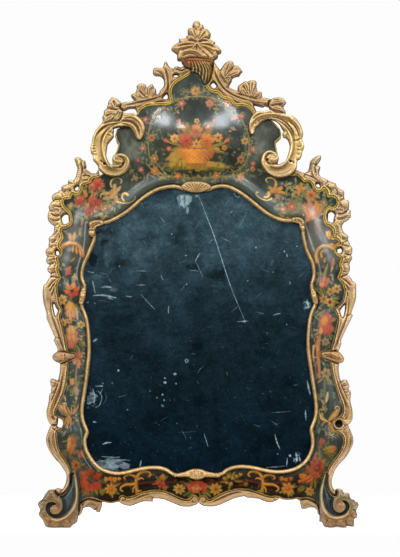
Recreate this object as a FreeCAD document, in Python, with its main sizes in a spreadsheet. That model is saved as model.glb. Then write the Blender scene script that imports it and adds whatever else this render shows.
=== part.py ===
import FreeCAD, Part
import math
import os
from FreeCAD import Placement, Rotation, Vector

# Carved, lacquered and parcel-gilt table mirror on two scroll feet, propped by two hinged
# easel struts behind.  Millimetres, +Z up, the front faces -Y.  Every piece of the frame is
# drawn upright: X to the right, Z up, depth d measured towards the viewer from the flat back
# of the carcass, so Y = -d.  The finished frame then leans back about X, and the feet are cut
# level on the table.

doc = FreeCAD.newDocument("TableMirror")
sheet = doc.addObject("Spreadsheet::Sheet", "Params")

PARAMETERS = [
    ("plan_scale", 1.0, "scale of all drawn outlines"),
    ("lean_deg", 5.0, "backward lean of the frame"),
    ("origin_y", -111.06, "shift that centres the footprint on the origin"),
    ("floor_cut", 3.67, "height of the level cut under the feet at the back plane"),
    ("board_thick", 22.0, "carcass board thickness at its edges"),
    ("cushion_rise", 9.0, "rise of the cushion band above the board"),
    ("dome_rise", 24.0, "depth of the domed crest oval"),
    ("dome_base", 20.0, "depth station of the dome's base"),
    ("dome_half_w", 87.0, "half width of the dome"),
    ("dome_half_h", 69.0, "half height of the dome"),
    ("rebate_deep", 11.0, "depth of the glass rebate from the back"),
    ("lip_front", 14.0, "depth station of the lip under the sight moulding"),
    ("lap_thick", 10.0, "thickness of the half-lap tongues"),
    ("sight_rise", 7.0, "height of the sight moulding"),
    ("cap_rise", 6.0, "height of shell, knots, beads and cartouche above the board"),
    ("glass_thick", 4.0, "mirror plate thickness"),
    ("zero_back", 0.0, "back plane of the carcass"),
    ("rim_back", 2.0, "back of the gilt rim carving"),
    ("rim_front", 26.0, "front of the gilt rim carving"),
    ("knot_front", 32.0, "front of the knot leaves"),
    ("branch_back", 4.0, "back of the crest branches and leaves"),
    ("branch_front", 24.0, "front of the crest branches"),
    ("leaf_front", 27.0, "front of the ivy leaves"),
    ("finial_front", 36.0, "front of the finial leaf"),
    ("neck_front", 32.0, "front of the fluted neck"),
    ("scroll_front", 42.0, "front of the C-scrolls"),
    ("foot_front", 42.0, "front of the scroll feet"),
    ("backboard_thick", 7.0, "backboard thickness"),
    ("rail_thick", 18.0, "hinge rail thickness"),
    ("rail_half_len", 244.0, "half length of the hinge rail"),
    ("rail_mid", 470.0, "height of the hinge rail and of the pin"),
    ("rail_tall", 60.0, "hinge rail height"),
    ("plate_thick", 2.5, "hinge bracket plate thickness"),
    ("pin_stand", 10.0, "pin axis above the bracket plate"),
    ("pin_rad", 4.0, "hinge pin radius"),
    ("bore_play", 0.05, "running clearance of the strut bore"),
    ("ear_thick", 3.0, "hinge bracket ear thickness"),
    ("strut_wide", 14.0, "strut width"),
    ("strut_x", 223.0, "distance of each strut from the centre line"),
    ("strut_thick", 16.0, "strut thickness"),
    ("strut_play", 0.3, "side play between strut and ears"),
    ("strut_open_deg", 26.0, "opening of the strut from the frame's back"),
    ("head_above", 12.0, "strut head above the pin"),
    ("dowel_rad", 4.0, "finial and foot dowel radius"),
    ("peg_rad", 3.0, "scroll dowel radius"),
    ("nail_rad", 1.2, "nail shank radius"),
    ("screw_rad", 2.0, "screw shank radius"),
]
for row, (alias, value, note) in enumerate(PARAMETERS, start=1):
    sheet.set("A%d" % row, note)
    sheet.set("B%d" % row, str(value))
    sheet.setAlias("B%d" % row, alias)
doc.recompute()


def val(alias):
    return float(sheet.get(alias))


SCALE = val("plan_scale")
LEAN = val("lean_deg")
TAN = math.tan(math.radians(LEAN))
COS = math.cos(math.radians(LEAN))
SIN = math.sin(math.radians(LEAN))
ORIGIN_Z = -val("floor_cut") * COS
FRAME_PLACE = Placement(Vector(0, val("origin_y"), ORIGIN_Z), Rotation(Vector(1, 0, 0), -LEAN))

# ---------------------------------------------------------------- outlines, X and Z in mm
CARCASS = {
    'crest_panel': [(241.33, 494.86), (242.03, 496.61), (247.62, 498.37), (246.92, 503.64), (240.97, 508.56), (235.03, 507.15), (236.78,
        511.72), (238.17, 517.69), (236.42, 524.72), (230.47, 530.52), (224.53, 532.45), (221.03, 540.53), (221.03,
        549.32), (223.47, 557.75), (227.67, 561.96), (230.47, 561.26), (235.72, 560.56), (240.97, 563.37), (244.47,
        570.4), (242.72, 577.42), (237.47, 582.34), (230.47, 582.69), (227.32, 581.99), (226.97, 586.21), (225.22,
        592.18), (221.72, 596.39), (218.22, 596.39), (216.47, 593.23), (211.22, 591.12), (205.97, 592.53), (202.47,
        596.75), (200.72, 602.72), (195.47, 607.99), (190.22, 609.92), (185.85, 608.52), (183.22, 611.68), (177.97,
        616.77), (170.97, 620.99), (163.97, 619.58), (151.72, 623.97), (143.85, 631.88), (138.6, 639.78), (140.7,
        646.81), (136.32, 669.65), (135.97, 676.67), (144.9, 685.46), (145.25, 691.61), (142.97, 699.51), (138.25,
        705.66), (130.72, 713.57), (114.97, 721.47), (98.0, 727.09), (94.5, 732.71), (88.72, 738.51), (81.72, 741.67),
        (74.72, 742.55), (67.72, 741.85), (63.35, 743.6), (58.97, 749.23), (53.72, 753.62), (46.72, 754.67), (40.6,
        757.48), (37.1, 762.58), (32.72, 765.04), (27.47, 765.39), (21.35, 767.5), (16.97, 772.41), (13.47, 777.68),
        (9.1, 777.68), (6.47, 784.71), (2.97, 791.74), (-1.4, 797.01), (-7.53, 799.12), (-12.78, 799.64), (-20.65,
        794.37), (-30.28, 788.22), (-39.03, 783.31), (-44.62, 777.68), (-47.78, 771.54), (-49.0, 765.39), (-48.48,
        758.36), (-46.38, 752.21), (-46.9, 747.82), (-53.03, 744.66), (-61.78, 743.96), (-72.28, 743.78), (-84.53,
        742.9), (-93.28, 740.44), (-100.28, 736.23), (-104.65, 731.48), (-107.28, 726.74), (-117.78, 717.08),
        (-130.03, 707.42), (-137.9, 701.62), (-142.28, 699.51), (-144.2, 694.24), (-145.6, 687.22), (-144.55, 685.46),
        (-143.5, 678.43), (-139.3, 673.16), (-143.15, 660.86), (-146.3, 653.84), (-146.65, 644.18), (-151.9, 632.76),
        (-161.53, 624.85), (-172.9, 618.18), (-180.78, 616.07), (-186.03, 614.31), (-188.65, 610.8), (-190.4, 606.76),
        (-195.65, 605.0), (-201.78, 602.89), (-204.93, 598.5), (-205.28, 593.23), (-207.9, 588.31), (-212.28, 585.85),
        (-217.53, 586.56), (-221.03, 587.61), (-223.48, 584.45), (-224.53, 579.53), (-229.78, 578.83), (-235.03,
        577.42), (-237.48, 573.91), (-237.65, 568.64), (-235.03, 563.37), (-229.78, 558.1), (-225.4, 553.71),
        (-222.78, 547.56), (-221.9, 538.78), (-224.53, 531.75), (-230.65, 528.24), (-237.65, 526.48), (-240.98,
        522.97), (-240.98, 517.69), (-238.53, 512.42), (-238.53, 507.15), (-242.03, 501.88), (-244.12, 496.61),
        (-244.05, 494.86), (-183.16, 494.86), (-182.94, 495.38), (-179.2, 505.69), (-179.2, 516.21), (-180.79,
        525.78), (-177.82, 530.55), (-171.58, 531.94), (-164.46, 532.3), (-153.29, 535.66), (-138.9, 542.89),
        (-124.61, 551.85), (-112.13, 561.69), (-99.92, 572.72), (-86.23, 582.86), (-72.69, 590.33), (-60.97, 594.2),
        (-49.24, 596.22), (-39.48, 596.22), (-31.43, 593.96), (-25.76, 591.3), (-14.47, 591.3), (-4.05, 591.65),
        (6.32, 591.13), (19.41, 590.56), (28.54, 594.96), (38.25, 596.91), (47.93, 596.59), (57.7, 593.65), (71.22,
        586.35), (84.96, 576.52), (98.88, 565.17), (113.04, 553.62), (127.45, 544.58), (142.05, 538.53), (155.0,
        536.31), (165.72, 536.67), (174.67, 536.37), (179.17, 531.2), (180.43, 520.94), (180.79, 512.01), (183.49,
        499.36), (184.64, 494.86)],
    'left_stile': [(-244.05, 494.86), (-243.95, 492.57), (-240.62, 487.83), (-239.4, 482.56), (-241.33, 477.64), (-246.23, 473.78),
        (-247.45, 470.26), (-244.83, 464.99), (-244.83, 459.72), (-246.58, 454.45), (-245.53, 447.43), (-242.03,
        438.64), (-246.05, 431.62), (-247.98, 422.83), (-247.28, 414.05), (-245.0, 405.27), (-244.12, 396.48),
        (-241.68, 389.46), (-239.4, 384.19), (-239.4, 378.92), (-241.5, 372.77), (-241.68, 366.62), (-239.23, 357.84),
        (-236.43, 345.54), (-233.62, 333.24), (-231.53, 320.95), (-229.78, 308.65), (-222.78, 307.24), (-215.25,
        305.14), (-213.68, 300.74), (-217.53, 296.7), (-224.53, 293.54), (-228.73, 291.79), (-228.03, 284.06),
        (-229.08, 271.76), (-230.48, 259.46), (-232.93, 247.17), (-235.73, 237.5), (-238.53, 230.48), (-241.5,
        224.33), (-245.53, 215.55), (-249.2, 206.76), (-249.73, 199.21), (-244.48, 194.99), (-238.88, 191.65),
        (-236.25, 187.44), (-236.08, 182.17), (-238.0, 176.9), (-241.5, 172.86), (-246.93, 170.57), (-247.98, 164.6),
        (-246.93, 154.06), (-245.53, 143.52), (-244.21, 140.01), (-193.28, 140.01), (-193.34, 140.15), (-195.11,
        149.06), (-194.8, 156.94), (-192.45, 163.67), (-190.95, 170.14), (-194.82, 179.85), (-198.53, 190.01),
        (-200.19, 201.66), (-199.69, 213.47), (-197.61, 227.35), (-194.99, 244.91), (-192.35, 262.56), (-190.6,
        280.16), (-189.02, 292.48), (-187.95, 304.99), (-187.95, 321.03), (-188.83, 338.76), (-190.61, 356.6),
        (-193.31, 369.26), (-196.94, 380.18), (-200.6, 387.7), (-201.06, 394.56), (-199.39, 404.59), (-196.77,
        415.11), (-195.19, 424.03), (-198.13, 431.91), (-200.25, 437.62), (-200.88, 445.53), (-199.23, 455.43),
        (-196.06, 465.49), (-191.74, 474.17), (-187.16, 485.67), (-183.16, 494.86)],
    'bottom_rail': [(-244.21, 140.01), (-242.9, 136.49), (-238.53, 127.71), (-232.4, 118.93), (-226.28, 108.39), (-222.78, 97.85),
        (-219.28, 97.32), (-215.25, 98.73), (-212.98, 94.33), (-210.53, 83.79), (-208.43, 71.5), (-207.55, 59.2),
        (-207.38, 46.9), (-205.28, 46.38), (-201.78, 49.01), (-196.53, 52.17), (-189.53, 53.4), (-180.78, 52.17),
        (-174.65, 49.89), (-167.65, 47.78), (-153.65, 44.97), (-137.9, 47.96), (-136.5, 54.81), (-131.78, 57.44),
        (-124.78, 54.11), (-116.03, 55.16), (-107.28, 58.15), (-96.78, 62.19), (-84.53, 65.17), (-74.03, 66.23),
        (-61.78, 64.82), (-49.53, 60.96), (-39.03, 56.04), (-28.53, 51.65), (-19.78, 49.71), (-13.65, 51.3), (-10.5,
        55.69), (-5.78, 57.09), (-1.4, 53.58), (0.35, 47.96), (2.62, 53.93), (6.47, 56.39), (11.72, 55.69), (15.22,
        51.3), (20.47, 49.71), (27.47, 52.88), (36.22, 57.79), (48.47, 63.42), (60.72, 66.93), (72.97, 68.34), (85.22,
        67.81), (95.72, 65.17), (106.22, 61.31), (116.72, 57.44), (125.47, 55.34), (134.22, 56.04), (142.1, 54.11),
        (147.35, 51.82), (156.1, 50.94), (164.85, 51.65), (171.85, 53.05), (179.72, 52.52), (188.47, 53.4), (197.22,
        51.12), (204.22, 46.9), (209.47, 43.39), (209.3, 52.17), (210.0, 62.71), (212.62, 73.25), (216.12, 84.67),
        (218.75, 92.58), (219.97, 96.97), (222.6, 96.09), (225.22, 97.32), (229.6, 107.51), (236.6, 118.05), (244.47,
        128.59), (250.25, 138.25), (250.91, 140.01), (195.37, 140.01), (194.59, 136.7), (190.48, 127.63), (184.27,
        118.93), (176.14, 112.07), (166.26, 107.12), (154.6, 103.77), (141.16, 102.43), (127.64, 103.27), (113.9,
        105.86), (99.84, 109.04), (85.54, 111.19), (72.81, 111.74), (59.88, 109.88), (48.53, 105.51), (40.88, 99.2),
        (30.71, 97.16), (16.99, 97.67), (-3.15, 97.15), (-21.6, 97.68), (-33.73, 96.81), (-41.42, 97.58), (-46.89,
        101.03), (-55.17, 106.2), (-66.5, 109.42), (-81.13, 109.97), (-95.54, 108.53), (-109.77, 105.49), (-123.7,
        102.0), (-137.18, 99.8), (-148.74, 100.63), (-160.35, 103.63), (-170.14, 108.54), (-178.35, 115.96), (-185.04,
        124.35), (-190.07, 132.77), (-193.28, 140.01)],
    'right_stile': [(250.91, 140.01), (253.57, 147.03), (253.92, 157.57), (250.42, 164.6), (244.47, 168.82), (238.35, 170.75), (235.38,
        176.02), (235.03, 183.05), (237.47, 188.67), (242.72, 191.65), (248.85, 194.82), (252.88, 201.49), (253.22,
        210.28), (251.12, 218.18), (248.5, 225.21), (245.88, 233.11), (241.85, 245.41), (237.47, 259.46), (234.32,
        273.52), (232.57, 284.06), (231.88, 291.96), (224.35, 294.6), (217.35, 298.11), (213.5, 303.38), (214.72,
        308.12), (221.72, 310.76), (231.88, 310.41), (233.97, 317.43), (237.12, 327.97), (240.1, 340.27), (242.72,
        352.57), (244.47, 363.11), (243.78, 371.89), (241.32, 378.39), (238.88, 382.96), (242.38, 386.47), (247.97,
        391.21), (253.22, 398.24), (255.67, 407.02), (256.38, 417.56), (254.1, 427.05), (249.72, 433.37), (245.0,
        437.77), (247.28, 443.91), (249.72, 449.18), (250.42, 454.45), (248.32, 459.2), (249.03, 464.99), (251.47,
        470.26), (250.42, 474.48), (245.17, 477.99), (240.28, 483.26), (239.22, 489.59), (241.33, 494.86), (184.64,
        494.86), (186.73, 486.72), (191.58, 475.9), (196.35, 465.63), (198.83, 455.66), (199.65, 445.8), (198.19,
        436.84), (195.28, 428.61), (195.67, 418.79), (199.26, 406.16), (201.71, 396.33), (200.68, 389.67), (196.96,
        382.88), (194.0, 373.61), (191.66, 361.84), (190.24, 347.59), (189.18, 333.37), (189.18, 319.09), (190.07,
        304.78), (192.19, 290.59), (194.81, 273.02), (197.44, 255.43), (200.06, 239.64), (202.14, 223.98), (203.17,
        210.23), (202.67, 200.23), (200.18, 190.22), (196.7, 181.5), (194.18, 172.72), (195.52, 164.08), (196.87,
        155.58), (196.71, 145.69), (195.37, 140.01)],
}
CUSHION = {
    'left_stile': [[(-235.03, 480.8), (-240.45, 466.75), (-240.45, 452.7), (-237.65, 438.64), (-241.68, 424.59), (-240.62, 410.54),
        (-237.3, 396.48), (-235.03, 382.43), (-237.12, 368.38), (-234.85, 354.32), (-229.25, 340.27), (-227.15,
        326.22), (-205.28, 326.22), (-206.15, 340.27), (-207.9, 354.32), (-210.53, 368.38), (-217.88, 382.43),
        (-218.4, 396.48), (-216.65, 410.54), (-215.25, 424.59), (-218.23, 438.64), (-218.23, 452.7), (-213.15,
        466.75), (-208.78, 480.8)], [(-224.7, 273.52), (-226.1, 259.46), (-228.55, 245.41), (-231.35, 231.36),
        (-237.12, 217.3), (-240.1, 203.25), (-231.7, 189.19), (-231.7, 175.14), (-242.55, 161.09), (-241.15, 147.03),
        (-212.45, 147.03), (-212.1, 161.09), (-211.93, 175.14), (-215.78, 189.19), (-217.53, 203.25), (-217.0, 217.3),
        (-214.9, 231.36), (-212.28, 245.41), (-209.65, 259.46), (-207.9, 273.52)]],
    'right_stile': [[(208.6, 480.8), (213.5, 466.75), (217.0, 452.7), (217.0, 438.64), (212.97, 424.59), (216.47, 410.54), (219.1,
        396.48), (217.88, 382.43), (211.22, 368.38), (208.95, 354.32), (207.55, 340.27), (206.5, 326.22), (232.75,
        326.22), (235.72, 340.27), (238.35, 354.32), (239.4, 368.38), (234.5, 382.43), (243.6, 396.48), (251.3,
        410.54), (249.72, 424.59), (240.62, 438.64), (243.95, 452.7), (243.95, 466.75), (235.9, 480.8)], [(212.1,
        273.52), (214.72, 259.46), (217.35, 245.41), (219.45, 231.36), (220.5, 217.3), (220.5, 203.25), (217.35,
        189.19), (213.85, 175.14), (214.2, 161.09), (214.03, 147.03), (249.2, 147.03), (240.1, 161.09), (230.65,
        175.14), (230.65, 189.19), (244.47, 203.25), (244.12, 217.3), (241.5, 231.36), (237.47, 245.41), (233.1,
        259.46), (229.95, 273.52)]],
    'bottom_rail': [[(-165.03, 89.94), (-149.28, 86.78), (-133.53, 85.9), (-117.78, 88.19), (-102.03, 91.7), (-86.28, 94.69), (-70.53,
        95.56), (-54.78, 87.66), (-39.03, 82.92), (-23.28, 83.79), (-7.53, 83.27), (8.22, 83.79), (23.97, 83.27),
        (39.72, 83.27), (55.47, 92.05), (71.22, 97.85), (86.97, 97.32), (102.72, 95.21), (118.47, 89.42), (134.22,
        88.54), (149.97, 88.54), (149.97, 57.62), (134.22, 59.55), (118.47, 60.96), (102.72, 68.69), (86.97, 71.32),
        (71.22, 71.85), (55.47, 70.44), (39.72, 66.93), (23.97, 56.39), (8.22, 59.9), (-7.53, 60.61), (-23.28, 55.16),
        (-39.03, 59.55), (-54.78, 68.34), (-70.53, 69.74), (-86.28, 68.69), (-102.03, 65.7), (-117.78, 58.67),
        (-133.53, 60.96), (-149.28, 48.48), (-165.03, 53.4)]],
}
LAPS = [[(-231.53, 494.86), (-196.53, 494.86), (-196.53, 519.45), (-231.53, 519.45)], [(-226.28, 115.41), (-203.53, 115.41),
        (-203.53, 140.01), (-226.28, 140.01)], [(197.22, 494.86), (230.47, 494.86), (230.47, 519.45), (197.22,
        519.45)], [(205.97, 115.41), (226.97, 115.41), (226.97, 140.01), (205.97, 140.01)]]
OUTLINES = {
    'finial_leaf': [(28.17, 822.48), (33.42, 825.99), (34.82, 829.51), (35.35, 833.02), (38.85, 834.25), (40.42, 836.53), (40.07,
        840.05), (33.6, 847.78), (30.1, 850.59), (29.4, 854.1), (28.35, 855.15), (21.0, 859.37), (20.65, 861.13),
        (22.05, 868.15), (20.3, 871.67), (14.35, 878.17), (10.5, 878.69), (8.57, 883.96), (7.35, 885.02), (3.85,
        885.72), (2.1, 889.59), (-1.4, 891.69), (-3.15, 891.52), (-8.4, 888.88), (-10.5, 882.21), (-10.15, 880.27),
        (-15.4, 878.87), (-17.85, 876.94), (-18.73, 873.42), (-18.2, 866.4), (-20.83, 864.64), (-22.05, 861.13),
        (-32.9, 860.07), (-33.78, 859.37), (-34.65, 853.75), (-42.35, 848.83), (-47.25, 841.8), (-45.15, 838.64),
        (-37.62, 833.02), (-37.28, 824.24), (-34.65, 821.25), (-29.4, 820.9), (-23.28, 821.25), (-14.53, 824.06),
        (-0.53, 823.71), (13.47, 821.95), (23.97, 820.55)],
    'fluted_neck': [(-29.4, 820.9), (-28.88, 817.21), (-25.9, 813.7), (-25.9, 811.94), (-20.65, 808.43), (-14.53, 805.79), (-12.78,
        799.64), (-7.53, 799.12), (-1.4, 797.01), (2.97, 791.74), (6.47, 784.71), (9.1, 777.68), (13.47, 777.68),
        (17.5, 782.95), (21.35, 790.86), (23.62, 800.52), (25.02, 811.06), (26.25, 818.97), (23.97, 820.55), (13.47,
        821.95), (-0.53, 823.71), (-14.53, 824.06), (-23.28, 821.25)],
    'crest_branch_left': [(-14.53, 805.79), (-20.65, 808.43), (-25.9, 811.94), (-31.15, 809.83), (-34.65, 811.41), (-39.9, 811.59), (-43.4,
        808.07), (-45.15, 808.07), (-49.18, 810.18), (-52.15, 812.99), (-55.3, 818.97), (-57.4, 820.72), (-60.2,
        817.21), (-62.65, 809.83), (-74.9, 809.48), (-78.75, 806.67), (-79.62, 803.16), (-79.1, 797.89), (-74.9,
        794.9), (-67.38, 794.37), (-62.65, 791.04), (-60.55, 787.35), (-60.2, 782.08), (-60.73, 776.81), (-67.55,
        768.02), (-67.9, 765.91), (-69.65, 763.63), (-71.4, 762.58), (-73.15, 762.75), (-74.2, 771.54), (-77.18,
        773.29), (-78.23, 776.81), (-80.15, 779.79), (-83.65, 779.79), (-88.38, 775.05), (-90.65, 775.05), (-91.88,
        778.56), (-95.9, 781.55), (-101.15, 781.2), (-104.65, 779.97), (-108.15, 776.81), (-107.8, 773.29), (-109.55,
        766.27), (-111.83, 764.51), (-115.15, 763.63), (-117.78, 761.0), (-117.08, 757.48), (-113.05, 752.21),
        (-113.58, 750.46), (-120.4, 749.23), (-125.65, 749.23), (-134.4, 746.77), (-137.38, 739.92), (-134.93,
        735.52), (-129.85, 732.89), (-122.15, 736.4), (-113.4, 737.1), (-110.78, 736.4), (-108.5, 732.36), (-107.28,
        726.74), (-104.65, 731.48), (-100.28, 736.23), (-93.28, 740.44), (-84.53, 742.9), (-72.28, 743.78), (-61.78,
        743.96), (-53.03, 744.66), (-46.9, 747.82), (-46.38, 752.21), (-48.48, 758.36), (-49.0, 765.39), (-47.78,
        771.54), (-44.62, 777.68), (-39.03, 783.31), (-30.28, 788.22), (-20.65, 794.37), (-12.78, 799.64)],
    'ivy_leaf_left': [(-134.4, 746.77), (-143.15, 755.2), (-146.65, 756.78), (-150.15, 757.31), (-153.13, 755.73), (-153.65, 753.97),
        (-158.03, 748.7), (-158.55, 743.43), (-160.13, 739.92), (-159.78, 738.16), (-165.38, 732.89), (-165.9,
        726.39), (-168.53, 722.35), (-167.3, 717.08), (-169.4, 708.3), (-161.53, 709.17), (-151.03, 711.81), (-140.53,
        712.69), (-135.28, 717.08), (-132.48, 724.98), (-131.25, 731.13), (-134.93, 735.52), (-137.38, 739.92)],
    'c_scroll_left': [(-169.4, 708.3), (-177.45, 699.51), (-182.35, 690.73), (-184.63, 685.46), (-186.55, 673.16), (-187.78, 671.4),
        (-188.65, 664.38), (-187.78, 657.35), (-184.8, 653.84), (-184.28, 646.81), (-183.05, 643.3), (-176.4, 635.92),
        (-175.0, 631.0), (-174.83, 629.24), (-171.68, 625.2), (-166.78, 621.34), (-159.78, 617.47), (-151.03, 615.19),
        (-140.53, 615.54), (-130.03, 619.58), (-122.15, 627.49), (-119.0, 638.03), (-120.75, 648.04), (-127.4,
        654.72), (-136.15, 656.82), (-143.15, 655.42), (-146.3, 653.84), (-149.63, 650.32), (-150.5, 643.3), (-149.63,
        638.03), (-151.9, 636.45), (-155.4, 638.91), (-159.08, 646.81), (-160.83, 653.84), (-158.9, 669.65), (-157.68,
        673.16), (-147.88, 685.46), (-148.58, 690.73), (-147.18, 696.0), (-148.4, 699.51), (-143.15, 701.09),
        (-136.15, 702.5), (-126.53, 703.03), (-119.53, 700.39), (-115.15, 695.12), (-111.65, 688.09), (-109.03,
        681.95), (-104.65, 679.31), (-100.28, 680.19), (-95.9, 686.34), (-92.93, 696.88), (-93.62, 704.78), (-97.65,
        713.57), (-104.65, 720.59), (-110.78, 724.98), (-113.4, 727.44), (-118.65, 727.27), (-129.15, 727.44),
        (-131.25, 731.13), (-132.48, 724.98), (-135.28, 717.08), (-140.53, 712.69), (-151.03, 711.81), (-161.53,
        709.17)],
    'upper_rim_left': [(-174.83, 629.24), (-178.15, 624.5), (-179.9, 623.45), (-187.43, 623.97), (-196.0, 631.0), (-195.83, 636.27),
        (-197.58, 641.54), (-197.23, 643.3), (-199.15, 646.11), (-202.65, 646.28), (-207.9, 651.38), (-211.4, 651.73),
        (-214.9, 650.68), (-216.65, 648.57), (-216.83, 646.81), (-213.85, 639.78), (-214.03, 638.03), (-211.58,
        631.0), (-214.73, 616.95), (-216.48, 613.43), (-218.4, 611.33), (-220.15, 610.97), (-225.4, 611.68), (-227.15,
        610.8), (-228.38, 608.16), (-228.55, 604.65), (-237.83, 601.14), (-239.93, 597.62), (-239.4, 593.94), (-242.9,
        593.76), (-245.35, 590.6), (-251.65, 587.96), (-255.85, 583.57), (-256.2, 578.3), (-254.8, 574.79), (-256.9,
        573.03), (-261.28, 566.0), (-261.8, 562.49), (-260.93, 557.22), (-263.2, 551.95), (-263.03, 541.41), (-257.07,
        534.38), (-252.35, 530.87), (-252.7, 520.33), (-253.05, 518.57), (-256.9, 513.48), (-258.65, 512.78),
        (-261.28, 509.79), (-261.8, 506.28), (-260.93, 502.76), (-262.15, 497.49), (-261.8, 493.98), (-266.18,
        488.71), (-267.23, 485.2), (-266.7, 481.68), (-263.9, 476.41), (-265.12, 474.66), (-266.18, 469.39), (-264.95,
        465.87), (-259.88, 462.36), (-263.55, 457.09), (-263.55, 451.82), (-258.3, 446.55), (-259.0, 443.04),
        (-258.48, 441.28), (-242.03, 438.64), (-245.53, 447.43), (-246.58, 454.45), (-244.83, 459.72), (-244.83,
        464.99), (-247.45, 470.26), (-246.23, 473.78), (-241.33, 477.64), (-239.4, 482.56), (-240.62, 487.83),
        (-243.95, 492.57), (-244.12, 496.61), (-242.03, 501.88), (-238.53, 507.15), (-238.53, 512.42), (-240.98,
        517.69), (-240.98, 522.97), (-237.65, 526.48), (-230.65, 528.24), (-224.53, 531.75), (-221.9, 538.78),
        (-222.78, 547.56), (-225.4, 553.71), (-229.78, 558.1), (-235.03, 563.37), (-237.65, 568.64), (-237.48,
        573.91), (-235.03, 577.42), (-229.78, 578.83), (-224.53, 579.53), (-223.48, 584.45), (-221.03, 587.61),
        (-217.53, 586.56), (-212.28, 585.85), (-207.9, 588.31), (-205.28, 593.23), (-204.93, 598.5), (-201.78,
        602.89), (-195.65, 605.0), (-190.4, 606.76), (-188.65, 610.8), (-186.03, 614.31), (-180.78, 616.07), (-172.9,
        618.18)],
    'stalk_left': [(-258.48, 441.28), (-265.65, 430.21), (-270.03, 427.23), (-271.95, 418.44), (-271.78, 406.15), (-270.2, 393.85),
        (-265.12, 376.28), (-264.78, 367.5), (-251.48, 337.63), (-250.43, 334.12), (-252.0, 332.36), (-252.18,
        328.85), (-247.98, 320.07), (-245.7, 313.04), (-245.88, 309.53), (-229.78, 308.65), (-231.53, 320.95),
        (-233.62, 333.24), (-236.43, 345.54), (-239.23, 357.84), (-241.68, 366.62), (-241.5, 372.77), (-239.4,
        378.92), (-239.4, 384.19), (-241.68, 389.46), (-244.12, 396.48), (-245.0, 405.27), (-247.28, 414.05),
        (-247.98, 422.83), (-246.05, 431.62), (-242.03, 438.64)],
    'knot_leaf_left': [(-245.88, 309.53), (-253.58, 304.26), (-254.62, 302.5), (-254.62, 298.99), (-251.65, 294.42), (-242.03, 290.2),
        (-240.98, 288.45), (-228.73, 291.79), (-224.53, 293.54), (-217.53, 296.7), (-213.68, 300.74), (-215.25,
        305.14), (-222.78, 307.24), (-229.78, 308.65)],
    'lower_rim_left': [(-240.98, 288.45), (-240.98, 284.93), (-242.2, 272.64), (-244.65, 261.39), (-246.4, 259.81), (-253.4, 262.98),
        (-255.15, 262.62), (-258.12, 260.34), (-258.12, 253.31), (-256.2, 248.04), (-257.43, 242.77), (-257.07,
        239.26), (-257.43, 237.5), (-259.35, 235.75), (-260.05, 233.99), (-261.62, 219.94), (-264.6, 207.64),
        (-264.78, 200.61), (-263.2, 191.83), (-259.53, 184.8), (-256.55, 181.29), (-252.53, 181.11), (-246.75,
        181.29), (-245.0, 186.56), (-244.65, 191.83), (-244.48, 194.99), (-249.73, 199.21), (-249.2, 206.76),
        (-245.53, 215.55), (-241.5, 224.33), (-238.53, 230.48), (-235.73, 237.5), (-232.93, 247.17), (-230.48,
        259.46), (-229.08, 271.76), (-228.03, 284.06), (-228.73, 291.79)],
    's_rim_left': [(-256.55, 181.29), (-261.28, 172.51), (-265.3, 160.21), (-265.3, 151.43), (-262.85, 142.64), (-257.95, 133.86),
        (-247.28, 119.81), (-244.65, 117.87), (-239.23, 111.02), (-230.65, 96.97), (-229.95, 86.43), (-232.23, 77.65),
        (-235.9, 70.62), (-239.4, 70.27), (-244.65, 71.5), (-249.9, 68.69), (-248.68, 63.06), (-243.78, 58.15),
        (-236.78, 59.9), (-229.78, 66.23), (-224.18, 75.01), (-222.25, 85.55), (-222.78, 97.85), (-226.28, 108.39),
        (-232.4, 118.93), (-238.53, 127.71), (-242.9, 136.49), (-245.53, 143.52), (-246.93, 154.06), (-247.98, 164.6),
        (-246.93, 170.57), (-241.5, 172.86), (-239.4, 176.9), (-244.48, 177.78), (-246.75, 181.29), (-252.53, 181.11)],
    'foot_left': [(-249.9, 68.69), (-258.65, 68.16), (-262.15, 66.23), (-272.65, 51.3), (-274.4, 50.59), (-278.78, 46.03), (-279.48,
        40.76), (-275.98, 33.73), (-278.25, 26.7), (-277.73, 23.19), (-272.65, 17.22), (-267.4, 6.85), (-263.9, 4.22),
        (-256.9, -4.04), (-223.65, -4.04), (-220.15, 6.68), (-211.75, 12.65), (-208.95, 23.19), (-208.25, 34.61),
        (-207.38, 46.9), (-207.55, 59.2), (-208.43, 71.5), (-210.53, 83.79), (-212.98, 94.33), (-215.25, 98.73),
        (-219.28, 97.32), (-222.78, 97.85), (-222.25, 85.55), (-224.18, 75.01), (-229.78, 66.23), (-236.78, 59.9),
        (-243.78, 58.15), (-248.68, 63.06)],
    'crescent_left': [(-208.95, 23.19), (-203.0, 28.46), (-200.9, 35.49), (-198.63, 37.24), (-190.4, 39.0), (-181.65, 33.2), (-179.9,
        33.55), (-178.15, 31.27), (-174.65, 29.16), (-171.68, 30.21), (-168.18, 39.0), (-167.65, 47.78), (-174.65,
        49.89), (-180.78, 52.17), (-189.53, 53.4), (-196.53, 52.17), (-201.78, 49.01), (-205.28, 46.38), (-207.38,
        46.9), (-208.25, 34.61)],
    'bottom_rim_left': [(-137.9, 47.96), (-134.4, 44.8), (-125.65, 41.46), (-115.15, 41.28), (-97.65, 47.96), (-80.15, 48.13), (-79.1,
        49.54), (-78.4, 53.23), (-69.65, 53.4), (-58.1, 51.3), (-38.15, 43.04), (-27.65, 39.53), (-11.9, 39.53),
        (-10.15, 40.93), (-4.9, 41.81), (-1.4, 44.8), (0.0, 46.03), (0.35, 47.96), (-1.4, 53.58), (-5.78, 57.09),
        (-10.5, 55.69), (-13.65, 51.3), (-19.78, 49.71), (-28.53, 51.65), (-39.03, 56.04), (-49.53, 60.96), (-61.78,
        64.82), (-74.03, 66.23), (-84.53, 65.17), (-96.78, 62.19), (-107.28, 58.15), (-116.03, 55.16), (-124.78,
        54.11), (-131.78, 57.44), (-136.5, 54.81)],
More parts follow.
